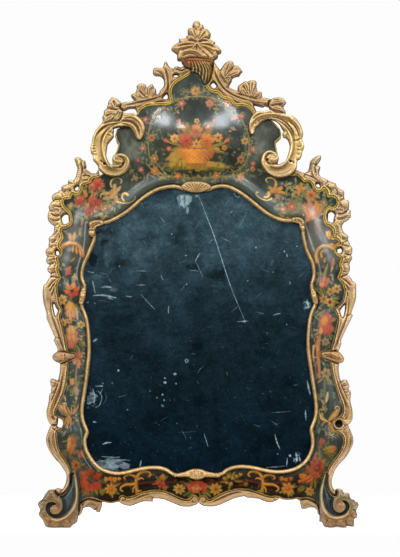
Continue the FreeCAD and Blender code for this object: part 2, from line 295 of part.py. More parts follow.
    'crest_branch_right': [(128.1, 753.62), (113.22, 757.48), (111.82, 759.24), (111.65, 764.51), (110.6, 766.27), (108.85, 767.5), (105.35,
        768.02), (103.25, 769.78), (102.03, 776.81), (102.38, 782.08), (100.8, 785.59), (98.35, 787.17), (91.35,
        786.99), (86.1, 784.71), (84.35, 785.41), (80.85, 784.89), (69.82, 776.81), (68.6, 769.43), (64.57, 769.78),
        (57.05, 773.29), (54.07, 776.81), (58.8, 785.59), (59.85, 789.98), (65.1, 792.97), (70.35, 793.67), (72.1,
        794.9), (74.9, 799.64), (77.0, 801.4), (76.47, 804.91), (68.6, 813.17), (63.35, 813.52), (60.9, 818.97),
        (58.1, 821.6), (56.35, 821.78), (51.1, 819.84), (45.85, 816.33), (38.85, 806.67), (35.35, 808.95), (29.57,
        817.21), (28.17, 822.48), (26.25, 818.97), (25.02, 811.06), (23.62, 800.52), (21.35, 790.86), (17.5, 782.95),
        (13.47, 777.68), (16.97, 772.41), (21.35, 767.5), (27.47, 765.39), (32.72, 765.04), (37.1, 762.58), (40.6,
        757.48), (46.72, 754.67), (53.72, 753.62), (58.97, 749.23), (63.35, 743.6), (67.72, 741.85), (74.72, 742.55),
        (81.72, 741.67), (88.72, 738.51), (94.5, 732.71), (98.0, 727.09), (101.85, 731.31), (97.65, 741.67), (101.85,
        742.2), (112.35, 739.39), (117.6, 741.67), (121.97, 739.92), (122.67, 743.96), (124.07, 748.7)],
    'ivy_leaf_right': [(150.67, 725.86), (152.6, 727.62), (153.3, 731.13), (149.28, 739.92), (154.17, 746.94), (153.47, 748.7), (149.1,
        754.14), (143.85, 757.13), (135.1, 756.96), (128.1, 753.62), (124.07, 748.7), (122.67, 743.96), (123.03,
        739.39), (126.17, 734.65), (126.17, 732.89), (134.22, 728.85), (142.97, 727.44)],
    'c_scroll_right': [(171.85, 628.89), (173.42, 643.3), (178.32, 646.81), (181.12, 653.84), (182.35, 660.86), (184.97, 666.13), (184.62,
        673.16), (181.65, 680.19), (183.4, 688.97), (183.4, 692.49), (179.72, 704.78), (175.88, 711.81), (170.1,
        718.66), (163.1, 723.4), (156.1, 723.58), (150.67, 725.86), (142.97, 727.44), (134.22, 728.85), (126.17,
        732.89), (115.85, 730.96), (103.6, 730.43), (98.0, 727.09), (92.22, 718.84), (88.72, 709.17), (88.38, 700.39),
        (90.47, 692.49), (94.85, 689.32), (98.35, 693.36), (100.1, 699.51), (104.47, 704.25), (108.85, 709.17),
        (116.72, 714.44), (125.47, 715.67), (135.1, 713.04), (142.1, 707.42), (145.6, 700.74), (149.28, 695.12),
        (147.0, 690.73), (149.1, 684.23), (152.6, 683.7), (156.1, 680.36), (158.03, 676.67), (159.78, 666.13),
        (154.53, 646.81), (150.85, 641.54), (146.82, 639.78), (142.1, 637.68), (137.03, 638.03), (139.47, 641.54),
        (140.7, 646.81), (138.95, 653.84), (134.22, 659.11), (126.35, 661.74), (118.47, 660.34), (112.35, 653.84),
        (109.38, 644.18), (111.12, 633.64), (118.47, 623.45), (128.97, 616.07), (141.22, 612.91), (153.47, 614.66),
        (163.97, 619.58)],
    'upper_rim_right': [(259.88, 444.79), (263.72, 450.06), (264.95, 453.58), (265.3, 458.85), (264.42, 462.36), (265.65, 467.63), (268.97,
        472.9), (268.8, 476.41), (267.22, 479.93), (269.15, 483.44), (269.5, 490.47), (268.97, 492.22), (265.12,
        497.49), (264.95, 501.01), (262.15, 504.52), (262.67, 509.79), (261.8, 513.3), (254.1, 520.33), (251.65,
        527.36), (252.17, 532.63), (255.85, 537.55), (262.85, 541.76), (264.78, 544.92), (267.22, 546.68), (266.35,
        553.71), (267.22, 557.22), (264.6, 558.98), (263.55, 560.73), (264.25, 567.76), (263.55, 573.03), (261.1,
        576.54), (257.6, 577.77), (255.5, 580.06), (255.5, 588.84), (254.28, 592.35), (243.6, 598.85), (240.1,
        605.88), (236.6, 606.76), (231.35, 609.57), (227.85, 609.57), (226.1, 612.38), (217.53, 615.19), (213.15,
        618.7), (211.75, 622.22), (212.1, 626.79), (213.85, 632.76), (213.5, 634.51), (212.1, 636.1), (208.6, 636.8),
        (207.9, 638.03), (212.1, 643.3), (214.72, 648.57), (215.25, 652.08), (213.85, 654.72), (210.35, 654.54),
        (201.6, 649.8), (196.88, 645.05), (195.3, 641.54), (193.03, 629.24), (189.35, 625.38), (185.85, 623.8),
        (184.1, 625.03), (179.38, 625.73), (171.85, 628.89), (163.97, 619.58), (170.97, 620.99), (177.97, 616.77),
        (183.22, 611.68), (185.85, 608.52), (190.22, 609.92), (195.47, 607.99), (200.72, 602.72), (202.47, 596.75),
        (205.97, 592.53), (211.22, 591.12), (216.47, 593.23), (218.22, 596.39), (221.72, 596.39), (225.22, 592.18),
        (226.97, 586.21), (227.32, 581.99), (230.47, 582.69), (237.47, 582.34), (242.72, 577.42), (244.47, 570.4),
        (240.97, 563.37), (235.72, 560.56), (230.47, 561.26), (227.67, 561.96), (223.47, 557.75), (221.03, 549.32),
        (221.03, 540.53), (224.53, 532.45), (230.47, 530.52), (236.42, 524.72), (238.17, 517.69), (236.78, 511.72),
        (235.03, 507.15), (240.97, 508.56), (246.92, 503.64), (247.62, 498.37), (242.03, 496.61), (239.22, 489.59),
        (240.28, 483.26), (245.17, 477.99), (250.42, 474.48), (251.47, 470.26), (249.03, 464.99), (248.32, 459.2),
        (250.42, 454.45), (249.72, 449.18), (247.28, 443.91), (245.0, 437.77)],
    'stalk_right': [(245.35, 309.53), (245.17, 311.28), (250.07, 323.58), (250.6, 333.07), (268.97, 371.01), (269.32, 374.53), (267.75,
        378.04), (274.22, 397.36), (275.97, 407.9), (276.15, 425.47), (274.75, 430.74), (269.85, 434.08), (267.75,
        437.77), (259.88, 444.79), (245.0, 437.77), (249.72, 433.37), (254.1, 427.05), (256.38, 417.56), (255.67,
        407.02), (253.22, 398.24), (247.97, 391.21), (242.38, 386.47), (238.88, 382.96), (241.32, 378.39), (243.78,
        371.89), (244.47, 363.11), (242.72, 352.57), (240.1, 340.27), (237.12, 327.97), (233.97, 317.43), (231.88,
        310.41)],
    'knot_leaf_right': [(245.35, 288.62), (247.1, 290.2), (252.35, 291.79), (254.45, 295.47), (253.22, 300.74), (245.35, 309.53), (231.88,
        310.41), (221.72, 310.76), (214.72, 308.12), (213.5, 303.38), (217.35, 298.11), (224.35, 294.6), (231.88,
        291.96)],
    'lower_rim_right': [(260.92, 181.29), (267.22, 188.32), (269.32, 193.59), (268.97, 207.64), (266.17, 219.94), (265.47, 226.96), (266.88,
        239.26), (262.32, 244.53), (263.72, 249.8), (259.35, 259.99), (255.85, 261.39), (252.35, 260.52), (250.6,
        258.76), (248.85, 259.64), (246.75, 265.61), (245.0, 279.66), (245.35, 288.62), (231.88, 291.96), (232.57,
        284.06), (234.32, 273.52), (237.47, 259.46), (241.85, 245.41), (245.88, 233.11), (248.5, 225.21), (251.12,
        218.18), (253.22, 210.28), (252.88, 201.49), (248.85, 194.82), (251.12, 190.07), (252.53, 184.8), (251.12,
        178.65), (255.85, 180.76)],
    's_rim_right': [(240.1, 68.69), (237.65, 68.86), (234.85, 71.5), (232.92, 75.89), (232.75, 79.4), (233.1, 87.13), (238.35, 102.59),
        (241.85, 108.04), (248.85, 116.82), (255.32, 123.32), (263.2, 133.86), (269.15, 146.16), (270.55, 153.18),
        (269.5, 161.97), (266.17, 170.75), (260.92, 181.29), (255.85, 180.76), (251.12, 178.65), (245.35, 174.26),
        (238.35, 170.75), (244.47, 168.82), (250.42, 164.6), (253.92, 157.57), (253.57, 147.03), (250.25, 138.25),
        (244.47, 128.59), (236.6, 118.05), (229.6, 107.51), (225.22, 97.32), (224.0, 87.31), (224.17, 76.77), (227.32,
        66.23), (233.1, 59.2), (238.88, 57.79), (241.32, 63.06)],
    'foot_right': [(212.1, 24.94), (212.8, 16.16), (215.6, 12.65), (218.05, 7.38), (220.85, 4.39), (226.1, -4.04), (257.6, -4.04),
        (259.35, 5.8), (269.85, 4.74), (272.12, 7.38), (271.6, 16.69), (276.15, 19.67), (277.72, 23.19), (275.45,
        31.97), (279.3, 39.0), (279.47, 42.51), (278.07, 46.03), (276.85, 47.08), (273.35, 48.66), (271.6, 51.3),
        (268.1, 52.0), (264.95, 54.81), (262.85, 61.84), (261.1, 62.89), (254.1, 63.06), (251.3, 67.11), (247.1,
        70.09), (241.85, 70.27), (240.1, 68.69), (241.32, 63.06), (238.88, 57.79), (233.1, 59.2), (227.32, 66.23),
        (224.17, 76.77), (224.0, 87.31), (225.22, 97.32), (222.6, 96.09), (219.97, 96.97), (218.75, 92.58), (216.12,
        84.67), (212.62, 73.25), (210.0, 62.71), (209.3, 52.17), (209.47, 43.39), (210.53, 34.61)],
    'crescent_right': [(171.85, 53.05), (176.4, 49.54), (177.28, 47.78), (178.32, 40.76), (180.6, 34.78), (182.35, 34.26), (184.1, 35.49),
        (185.85, 35.49), (187.6, 34.96), (192.85, 37.59), (202.12, 37.24), (206.85, 32.85), (207.9, 26.7), (210.35,
        25.12), (212.1, 24.94), (210.53, 34.61), (209.47, 43.39), (204.22, 46.9), (197.22, 51.12), (188.47, 53.4),
        (179.72, 52.52)],
    'bottom_rim_right': [(0.35, 47.96), (2.8, 44.27), (7.35, 41.46), (14.35, 39.7), (26.6, 39.7), (33.6, 41.28), (44.1, 45.15), (61.07,
        53.05), (77.35, 56.92), (82.6, 56.57), (86.1, 54.81), (93.1, 54.98), (96.6, 53.75), (105.17, 53.05), (115.85,
        48.48), (124.6, 46.73), (133.35, 48.66), (142.1, 54.11), (134.22, 56.04), (125.47, 55.34), (116.72, 57.44),
        (106.22, 61.31), (95.72, 65.17), (85.22, 67.81), (72.97, 68.34), (60.72, 66.93), (48.47, 63.42), (36.22,
        57.79), (27.47, 52.88), (20.47, 49.71), (15.22, 51.3), (11.72, 55.69), (6.47, 56.39), (2.62, 53.93)],
}
PIERCED = {
    'crest_branch_left': [[(-55.83, 762.75), (-53.9, 759.77), (-53.73, 755.73), (-54.78, 753.97), (-57.4, 753.79), (-62.3, 755.73)], [(-42.0,
        796.13), (-39.9, 796.83), (-36.05, 796.13), (-34.83, 794.37), (-38.15, 792.97), (-43.4, 792.44), (-43.4,
        794.37)]],
    'crest_branch_right': [[(24.67, 782.08), (26.6, 782.78), (28.35, 782.08), (31.85, 777.16), (30.1, 774.17), (28.35, 772.94), (26.6, 772.94),
        (22.4, 776.81), (21.7, 778.56)]],
    'upper_rim_left': [[(-213.85, 599.38), (-211.4, 600.61), (-210.0, 599.38), (-209.48, 597.62), (-210.18, 594.11), (-211.4, 592.88),
        (-214.9, 593.58), (-215.78, 597.62)], [(-234.5, 550.19), (-232.4, 550.9), (-228.9, 550.54), (-226.8, 548.44),
        (-225.4, 545.27), (-224.88, 539.65), (-228.9, 535.44), (-230.65, 534.21), (-236.25, 534.38), (-238.88,
        543.17), (-238.0, 546.68)], [(-248.33, 486.95), (-246.4, 487.3), (-242.9, 484.32), (-242.2, 481.68), (-242.73,
        479.93), (-244.65, 479.4), (-248.33, 479.93), (-248.85, 483.44)]],
    'upper_rim_right': [[(207.9, 604.65), (210.35, 605.0), (212.62, 602.89), (212.97, 601.14), (212.1, 598.85), (210.35, 598.15), (206.85,
        600.26), (206.5, 602.89)], [(232.75, 555.46), (236.6, 553.71), (238.7, 550.19), (236.6, 543.17), (236.6,
        537.9), (233.1, 536.32), (227.85, 538.95), (226.1, 541.06), (225.57, 544.92), (224.7, 546.68), (225.75,
        550.19), (227.85, 552.65), (229.6, 554.23)], [(243.78, 490.47), (247.1, 490.82), (248.85, 491.87), (250.6,
        490.29), (251.47, 486.95), (250.95, 485.2), (248.85, 483.09), (243.07, 483.44), (241.5, 486.95), (241.67,
        488.71)]],
    'stalk_left': [[(-253.4, 393.85), (-251.65, 393.67), (-249.55, 388.58), (-245.88, 383.31), (-245.35, 381.55), (-247.62, 376.28),
        (-248.15, 373.12), (-249.9, 373.47), (-253.4, 387.88)]],
    'stalk_right': [[(255.67, 392.09), (256.2, 392.09), (256.38, 390.34), (256.03, 383.31), (254.1, 373.82), (252.35, 370.13), (252.0,
        371.01), (250.6, 372.42), (248.85, 378.04), (248.67, 383.31)]],
}
DEPTHS = {
    'finial_leaf': ('branch_back', 'finial_front'),
    'fluted_neck': ('rim_back', 'neck_front'),
    'crest_branch_left': ('branch_back', 'branch_front'),
    'ivy_leaf_left': ('branch_back', 'leaf_front'),
    'c_scroll_left': ('board_thick', 'scroll_front'),
    'upper_rim_left': ('rim_back', 'rim_front'),
    'stalk_left': ('rim_back', 'rim_front'),
    'knot_leaf_left': ('rim_back', 'knot_front'),
    'lower_rim_left': ('rim_back', 'rim_front'),
    's_rim_left': ('rim_back', 'rim_front'),
    'foot_left': ('zero_back', 'foot_front'),
    'crescent_left': ('branch_back', 'rim_front'),
    'bottom_rim_left': ('rim_back', 'rim_front'),
    'crest_branch_right': ('branch_back', 'branch_front'),
    'ivy_leaf_right': ('branch_back', 'leaf_front'),
    'c_scroll_right': ('board_thick', 'scroll_front'),
    'upper_rim_right': ('rim_back', 'rim_front'),
    'stalk_right': ('rim_back', 'rim_front'),
    'knot_leaf_right': ('rim_back', 'knot_front'),
    'lower_rim_right': ('rim_back', 'rim_front'),
    's_rim_right': ('rim_back', 'rim_front'),
    'foot_right': ('zero_back', 'foot_front'),
    'crescent_right': ('branch_back', 'rim_front'),
    'bottom_rim_right': ('rim_back', 'rim_front'),
}
SIGHT_RUNS = {
    'sight_shell': [(-24.29, 597.98), (-14.58, 597.98), (-4.0, 598.33), (6.63, 597.8), (18.04, 597.31), (19.41, 590.56), (6.32, 591.13),
        (-4.05, 591.65), (-14.47, 591.3), (-25.76, 591.3)],
    'sight_arch_right': [(18.04, 597.31), (26.41, 601.34), (37.7, 603.61), (49.02, 603.23), (60.25, 599.85), (74.73, 592.03), (88.99, 581.84),
        (103.07, 570.35), (116.91, 559.06), (130.5, 550.54), (143.9, 544.99), (155.45, 543.0), (165.72, 543.34),
        (165.72, 536.67), (155.0, 536.31), (142.05, 538.53), (127.45, 544.58), (113.04, 553.62), (98.88, 565.17),
        (84.96, 576.52), (71.22, 586.35), (57.7, 593.65), (47.93, 596.59), (38.25, 596.91), (28.54, 594.96), (19.41,
        590.56)],
    'corner_knot_right': [(165.72, 543.34), (177.78, 542.94), (185.53, 534.05), (187.07, 521.48), (180.43, 520.94), (179.17, 531.2), (174.67,
        536.37), (165.72, 536.67)],
    'sight_side_right': [(187.07, 521.48), (187.41, 512.84), (189.96, 500.89), (193.02, 488.94), (197.62, 478.68), (202.65, 467.87), (205.42,
        456.76), (206.35, 445.54), (204.66, 435.17), (201.97, 427.59), (195.28, 428.61), (198.19, 436.84), (199.65,
        445.8), (198.83, 455.66), (196.35, 465.63), (191.58, 475.9), (186.73, 486.72), (183.49, 499.36), (180.79,
        512.01), (180.43, 520.94)],
    'side_bead_right': [(201.97, 427.59), (202.28, 419.85), (205.69, 407.89), (208.49, 396.64), (207.07, 387.49), (200.68, 389.67), (201.71,
        396.33), (199.26, 406.16), (195.67, 418.79), (195.28, 428.61)],
    'sight_lower_right': [(207.07, 387.49), (203.09, 380.23), (200.45, 371.93), (198.24, 360.86), (196.86, 347.01), (195.82, 333.12), (195.82,
        319.29), (196.68, 305.49), (198.76, 291.58), (201.39, 274.01), (204.01, 256.47), (206.64, 240.63), (208.76,
        224.67), (209.83, 210.32), (209.28, 199.24), (206.52, 188.17), (203.0, 179.33), (200.97, 172.29), (202.08,
        165.12), (203.53, 156.06), (203.34, 144.86), (200.91, 134.53), (196.27, 124.28), (189.18, 114.36), (179.81,
        106.46), (168.69, 100.87), (155.85, 97.19), (141.29, 95.73), (126.81, 96.64), (112.55, 99.32), (98.61,
        102.47), (84.91, 104.53), (73.14, 105.04), (61.57, 103.38), (51.92, 99.67), (43.82, 92.98), (40.88, 99.2),
        (48.53, 105.51), (59.88, 109.88), (72.81, 111.74), (85.54, 111.19), (99.84, 109.04), (113.9, 105.86), (127.64,
        103.27), (141.16, 102.43), (154.6, 103.77), (166.26, 107.12), (176.14, 112.07), (184.27, 118.93), (190.48,
        127.63), (194.59, 136.7), (196.71, 145.69), (196.87, 155.58), (195.52, 164.08), (194.18, 172.72), (196.7,
        181.5), (200.18, 190.22), (202.67, 200.23), (203.17, 210.23), (202.14, 223.98), (200.06, 239.64), (197.44,
        255.43), (194.81, 273.02), (192.19, 290.59), (190.07, 304.78), (189.18, 319.09), (189.18, 333.37), (190.24,
        347.59), (191.66, 361.84), (194.0, 373.61), (196.96, 382.88), (200.68, 389.67)],
    'sight_cartouche': [(43.82, 92.98), (31.24, 90.46), (16.96, 90.99), (-3.15, 90.47), (-21.45, 90.99), (-33.82, 90.11), (-43.63, 91.09),
        (-41.42, 97.58), (-33.73, 96.81), (-21.6, 97.68), (-3.15, 97.15), (16.99, 97.67), (30.71, 97.16), (40.88,
        99.2)],
    'sight_lower_left': [(-43.63, 91.09), (-50.41, 95.37), (-57.88, 100.03), (-67.55, 102.78), (-80.92, 103.29), (-94.51, 101.92), (-108.28,
        98.99), (-122.35, 95.45), (-136.87, 93.09), (-149.81, 94.01), (-162.7, 97.34), (-173.91, 102.97), (-183.2,
        111.36), (-190.51, 120.53), (-195.98, 129.68), (-199.71, 138.11), (-201.79, 148.53), (-201.4, 158.21),
        (-198.85, 165.53), (-197.9, 169.61), (-201.03, 177.46), (-205.02, 188.38), (-206.86, 201.33), (-206.31,
        214.11), (-204.19, 228.34), (-201.56, 245.9), (-198.95, 263.39), (-197.2, 280.92), (-195.63, 293.19), (-194.6,
        305.28), (-194.6, 320.86), (-195.47, 338.26), (-197.19, 355.56), (-199.74, 367.5), (-203.11, 377.65),
        (-207.15, 385.95), (-200.6, 387.7), (-196.94, 380.18), (-193.31, 369.26), (-190.61, 356.6), (-188.83, 338.76),
        (-187.95, 321.03), (-187.95, 304.99), (-189.02, 292.48), (-190.6, 280.16), (-192.35, 262.56), (-194.99,
        244.91), (-197.61, 227.35), (-199.69, 213.47), (-200.19, 201.66), (-198.53, 190.01), (-194.82, 179.85),
        (-190.95, 170.14), (-192.45, 163.67), (-194.8, 156.94), (-195.11, 149.06), (-193.34, 140.15), (-190.07,
        132.77), (-185.04, 124.35), (-178.35, 115.96), (-170.14, 108.54), (-160.35, 103.63), (-148.74, 100.63),
        (-137.18, 99.8), (-123.7, 102.0), (-109.77, 105.49), (-95.54, 108.53), (-81.13, 109.97), (-66.5, 109.42),
        (-55.17, 106.2), (-46.89, 101.03), (-41.42, 97.58)],
    'side_bead_left': [(-207.15, 385.95), (-207.74, 394.89), (-205.91, 405.95), (-203.28, 416.5), (-202.06, 423.4), (-195.19, 424.03),
        (-196.77, 415.11), (-199.39, 404.59), (-201.06, 394.56), (-200.6, 387.7)],
    'sight_side_left': [(-202.06, 423.4), (-204.37, 429.57), (-206.8, 436.16), (-207.57, 445.81), (-205.72, 456.99), (-202.24, 468.01),
        (-197.81, 476.9), (-193.29, 488.24), (-189.11, 497.85), (-185.85, 506.86), (-185.85, 515.66), (-179.2,
        516.21), (-179.2, 505.69), (-182.94, 495.38), (-187.16, 485.67), (-191.74, 474.17), (-196.06, 465.49),
        (-199.23, 455.43), (-200.88, 445.53), (-200.25, 437.62), (-198.13, 431.91), (-195.19, 424.03)],
    'corner_knot_left': [(-185.85, 515.66), (-187.76, 527.18), (-181.98, 536.46), (-172.47, 538.58), (-165.59, 538.93), (-164.46, 532.3),
        (-171.58, 531.94), (-177.82, 530.55), (-180.79, 525.78), (-179.2, 516.21)],
    'sight_arch_left': [(-165.59, 538.93), (-155.76, 541.89), (-142.15, 548.72), (-128.44, 557.32), (-116.42, 566.8), (-104.13, 577.9),
        (-89.82, 588.5), (-75.36, 596.48), (-62.58, 600.7), (-49.81, 602.89), (-38.57, 602.89), (-29.12, 600.24),
        (-24.29, 597.98), (-25.76, 591.3), (-31.43, 593.96), (-39.48, 596.22), (-49.24, 596.22), (-60.97, 594.2),
        (-72.69, 590.33), (-86.23, 582.86), (-99.92, 572.72), (-112.13, 561.69), (-124.61, 551.85), (-138.9, 542.89),
        (-153.29, 535.66), (-164.46, 532.3)],
}
SIGHT_CAPS = {
    'sight_shell': [(-30.28, 598.5), (-26.78, 603.77), (-21.53, 607.29), (-14.53, 608.16), (-7.53, 608.69), (-0.53, 608.69), (8.22,
        607.64), (15.22, 605.53), (20.47, 602.02), (23.1, 597.62), (18.72, 593.23), (11.72, 590.6), (4.72, 588.84),
        (-4.03, 588.31), (-12.78, 588.84), (-19.78, 590.6), (-25.9, 592.35)],
    'corner_knot_left': [(-192.15, 534.38), (-187.78, 538.78), (-179.03, 540.53), (-170.28, 540.53), (-165.9, 537.9), (-165.03, 532.63),
        (-172.03, 529.11), (-177.28, 527.36), (-179.9, 522.97), (-179.9, 515.94), (-181.65, 510.67), (-186.9, 509.79),
        (-192.15, 512.42), (-193.03, 519.45), (-191.28, 526.48)],
    'corner_knot_right': [(165.72, 544.92), (172.72, 545.8), (179.72, 544.05), (184.97, 538.78), (186.72, 529.99), (186.38, 521.21), (181.12,
        519.45), (177.1, 526.48), (175.35, 532.63), (170.1, 534.38), (163.97, 536.14), (163.1, 541.41)],
    'side_bead_left': [(-207.03, 412.29), (-208.78, 401.75), (-209.13, 392.97), (-202.65, 390.34), (-198.28, 400.0), (-196.0, 412.29),
        (-197.4, 421.08), (-203.53, 420.2)],
    'side_bead_right': [(197.22, 421.08), (203.35, 418.44), (207.72, 408.78), (209.82, 398.24), (208.78, 391.57), (201.6, 392.97), (197.22,
        405.27), (196.0, 414.05)],
    'sight_cartouche': [(-42.53, 91.7), (-39.03, 96.09), (-32.03, 97.85), (-25.03, 99.25), (-19.78, 101.36), (-14.53, 103.47), (-7.53,
        104.87), (1.22, 104.87), (8.22, 103.12), (13.47, 100.83), (20.47, 99.08), (29.22, 97.85), (37.1, 96.44),
        (39.72, 92.58), (36.22, 89.42), (27.47, 89.06), (18.72, 89.42), (11.72, 89.06), (6.47, 86.78), (0.35, 85.2),
        (-5.78, 85.2), (-11.9, 86.78), (-17.15, 89.42), (-25.03, 89.77), (-33.78, 89.42), (-39.9, 89.94)],
}
SIGHT_OUTER = [(-4.0, 598.33), (6.63, 597.8), (18.04, 597.31), (26.41, 601.34), (37.7, 603.61), (49.02, 603.23), (60.25, 599.85),
        (74.73, 592.03), (88.99, 581.84), (103.07, 570.35), (116.91, 559.06), (130.5, 550.54), (143.9, 544.99),
        (155.45, 543.0), (165.72, 543.34), (177.78, 542.94), (185.53, 534.05), (187.07, 521.48), (187.41, 512.84),
        (189.96, 500.89), (193.02, 488.94), (197.62, 478.68), (202.65, 467.87), (205.42, 456.76), (206.35, 445.54),
        (204.66, 435.17), (201.97, 427.59), (202.28, 419.85), (205.69, 407.89), (208.49, 396.64), (207.07, 387.49),
        (203.09, 380.23), (200.45, 371.93), (198.24, 360.86), (196.86, 347.01), (195.82, 333.12), (195.82, 319.29),
        (196.68, 305.49), (198.76, 291.58), (201.39, 274.01), (204.01, 256.47), (206.64, 240.63), (208.76, 224.67),
        (209.83, 210.32), (209.28, 199.24), (206.52, 188.17), (203.0, 179.33), (200.97, 172.29), (202.08, 165.12),
        (203.53, 156.06), (203.34, 144.86), (200.91, 134.53), (196.27, 124.28), (189.18, 114.36), (179.81, 106.46),
        (168.69, 100.87), (155.85, 97.19), (141.29, 95.73), (126.81, 96.64), (112.55, 99.32), (98.61, 102.47), (84.91,
        104.53), (73.14, 105.04), (61.57, 103.38), (51.92, 99.67), (43.82, 92.98), (31.24, 90.46), (16.96, 90.99),
        (-3.15, 90.47), (-21.45, 90.99), (-33.82, 90.11), (-43.63, 91.09), (-50.41, 95.37), (-57.88, 100.03), (-67.55,
        102.78), (-80.92, 103.29), (-94.51, 101.92), (-108.28, 98.99), (-122.35, 95.45), (-136.87, 93.09), (-149.81,
        94.01), (-162.7, 97.34), (-173.91, 102.97), (-183.2, 111.36), (-190.51, 120.53), (-195.98, 129.68), (-199.71,
        138.11), (-201.79, 148.53), (-201.4, 158.21), (-198.85, 165.53), (-197.9, 169.61), (-201.03, 177.46),
        (-205.02, 188.38), (-206.86, 201.33), (-206.31, 214.11), (-204.19, 228.34), (-201.56, 245.9), (-198.95,
        263.39), (-197.2, 280.92), (-195.63, 293.19), (-194.6, 305.28), (-194.6, 320.86), (-195.47, 338.26), (-197.19,
        355.56), (-199.74, 367.5), (-203.11, 377.65), (-207.15, 385.95), (-207.74, 394.89), (-205.91, 405.95),
        (-203.28, 416.5), (-202.06, 423.4), (-204.37, 429.57), (-206.8, 436.16), (-207.57, 445.81), (-205.72, 456.99),
        (-202.24, 468.01), (-197.81, 476.9), (-193.29, 488.24), (-189.11, 497.85), (-185.85, 506.86), (-185.85,
        515.66), (-187.76, 527.18), (-181.98, 536.46), (-172.47, 538.58), (-165.59, 538.93), (-155.76, 541.89),
        (-142.15, 548.72), (-128.44, 557.32), (-116.42, 566.8), (-104.13, 577.9), (-89.82, 588.5), (-75.36, 596.48),
        (-62.58, 600.7), (-49.81, 602.89), (-38.57, 602.89), (-29.12, 600.24), (-24.29, 597.98), (-14.58, 597.98)]
REBATE = [(-4.0, 597.98), (6.61, 597.45), (18.11, 596.95), (26.52, 601.01), (37.73, 603.26), (48.96, 602.88), (60.12, 599.52),
        (74.55, 591.73), (88.78, 581.56), (102.85, 570.08), (116.71, 558.78), (130.34, 550.22), (143.8, 544.65),
        (155.43, 542.65), (165.72, 542.99), (177.61, 542.6), (185.19, 533.9), (186.72, 521.45), (187.06, 512.8),
        (189.62, 500.81), (192.69, 488.82), (197.3, 478.54), (202.32, 467.75), (205.07, 456.7), (206.0, 445.55),
        (204.32, 435.26), (201.62, 427.65), (201.93, 419.8), (205.35, 407.8), (208.13, 396.62), (206.73, 387.6),
        (202.77, 380.37), (200.11, 372.02), (197.9, 360.91), (196.51, 347.04), (195.47, 333.13), (195.47, 319.28),
        (196.34, 305.45), (198.42, 291.53), (201.04, 273.96), (203.66, 256.42), (206.29, 240.58), (208.41, 224.64),
        (209.48, 210.31), (208.93, 199.29), (206.19, 188.27), (202.67, 179.44), (200.62, 172.31), (201.74, 165.07),
        (203.18, 156.03), (202.99, 144.91), (200.58, 134.65), (195.96, 124.45), (188.92, 114.6), (179.62, 106.75),
        (168.56, 101.2), (155.79, 97.54), (141.28, 96.08), (126.86, 96.99), (112.62, 99.67), (98.68, 102.82), (84.94,
        104.88), (73.12, 105.39), (61.48, 103.72), (51.74, 99.98), (43.66, 93.31), (31.21, 90.81), (16.96, 91.35),
        (-3.15, 90.82), (-21.46, 91.34), (-33.82, 90.46), (-43.52, 91.43), (-50.23, 95.67), (-57.74, 100.36), (-67.49,
        103.13), (-80.93, 103.64), (-94.57, 102.27), (-108.35, 99.33), (-122.42, 95.8), (-136.89, 93.44), (-149.76,
        94.36), (-162.57, 97.67), (-173.72, 103.26), (-182.95, 111.6), (-190.22, 120.73), (-195.67, 129.84), (-199.38,
        138.22), (-201.44, 148.55), (-201.05, 158.14), (-198.51, 165.44), (-197.53, 169.63), (-200.7, 177.59),
        (-204.68, 188.46), (-206.51, 201.34), (-205.97, 214.07), (-203.84, 228.29), (-201.22, 245.85), (-198.6,
        263.35), (-196.86, 280.88), (-195.28, 293.16), (-194.25, 305.26), (-194.25, 320.87), (-195.12, 338.29),
        (-196.84, 355.62), (-199.4, 367.59), (-202.78, 377.78), (-206.8, 386.04), (-207.39, 394.88), (-205.56,
        405.88), (-202.94, 416.43), (-201.7, 423.43), (-204.04, 429.69), (-206.46, 436.24), (-207.22, 445.8),
        (-205.37, 456.91), (-201.92, 467.88), (-197.49, 476.76), (-192.97, 488.11), (-188.79, 497.72), (-185.5,
        506.8), (-185.5, 515.69), (-187.39, 527.1), (-181.76, 536.15), (-172.42, 538.23), (-165.53, 538.58), (-155.63,
        541.56), (-141.98, 548.41), (-128.24, 557.03), (-116.19, 566.53), (-103.91, 577.63), (-89.63, 588.2), (-75.22,
        596.16), (-62.49, 600.35), (-49.78, 602.54), (-38.62, 602.54), (-29.24, 599.91), (-24.36, 597.62), (-14.57,
        597.62)]
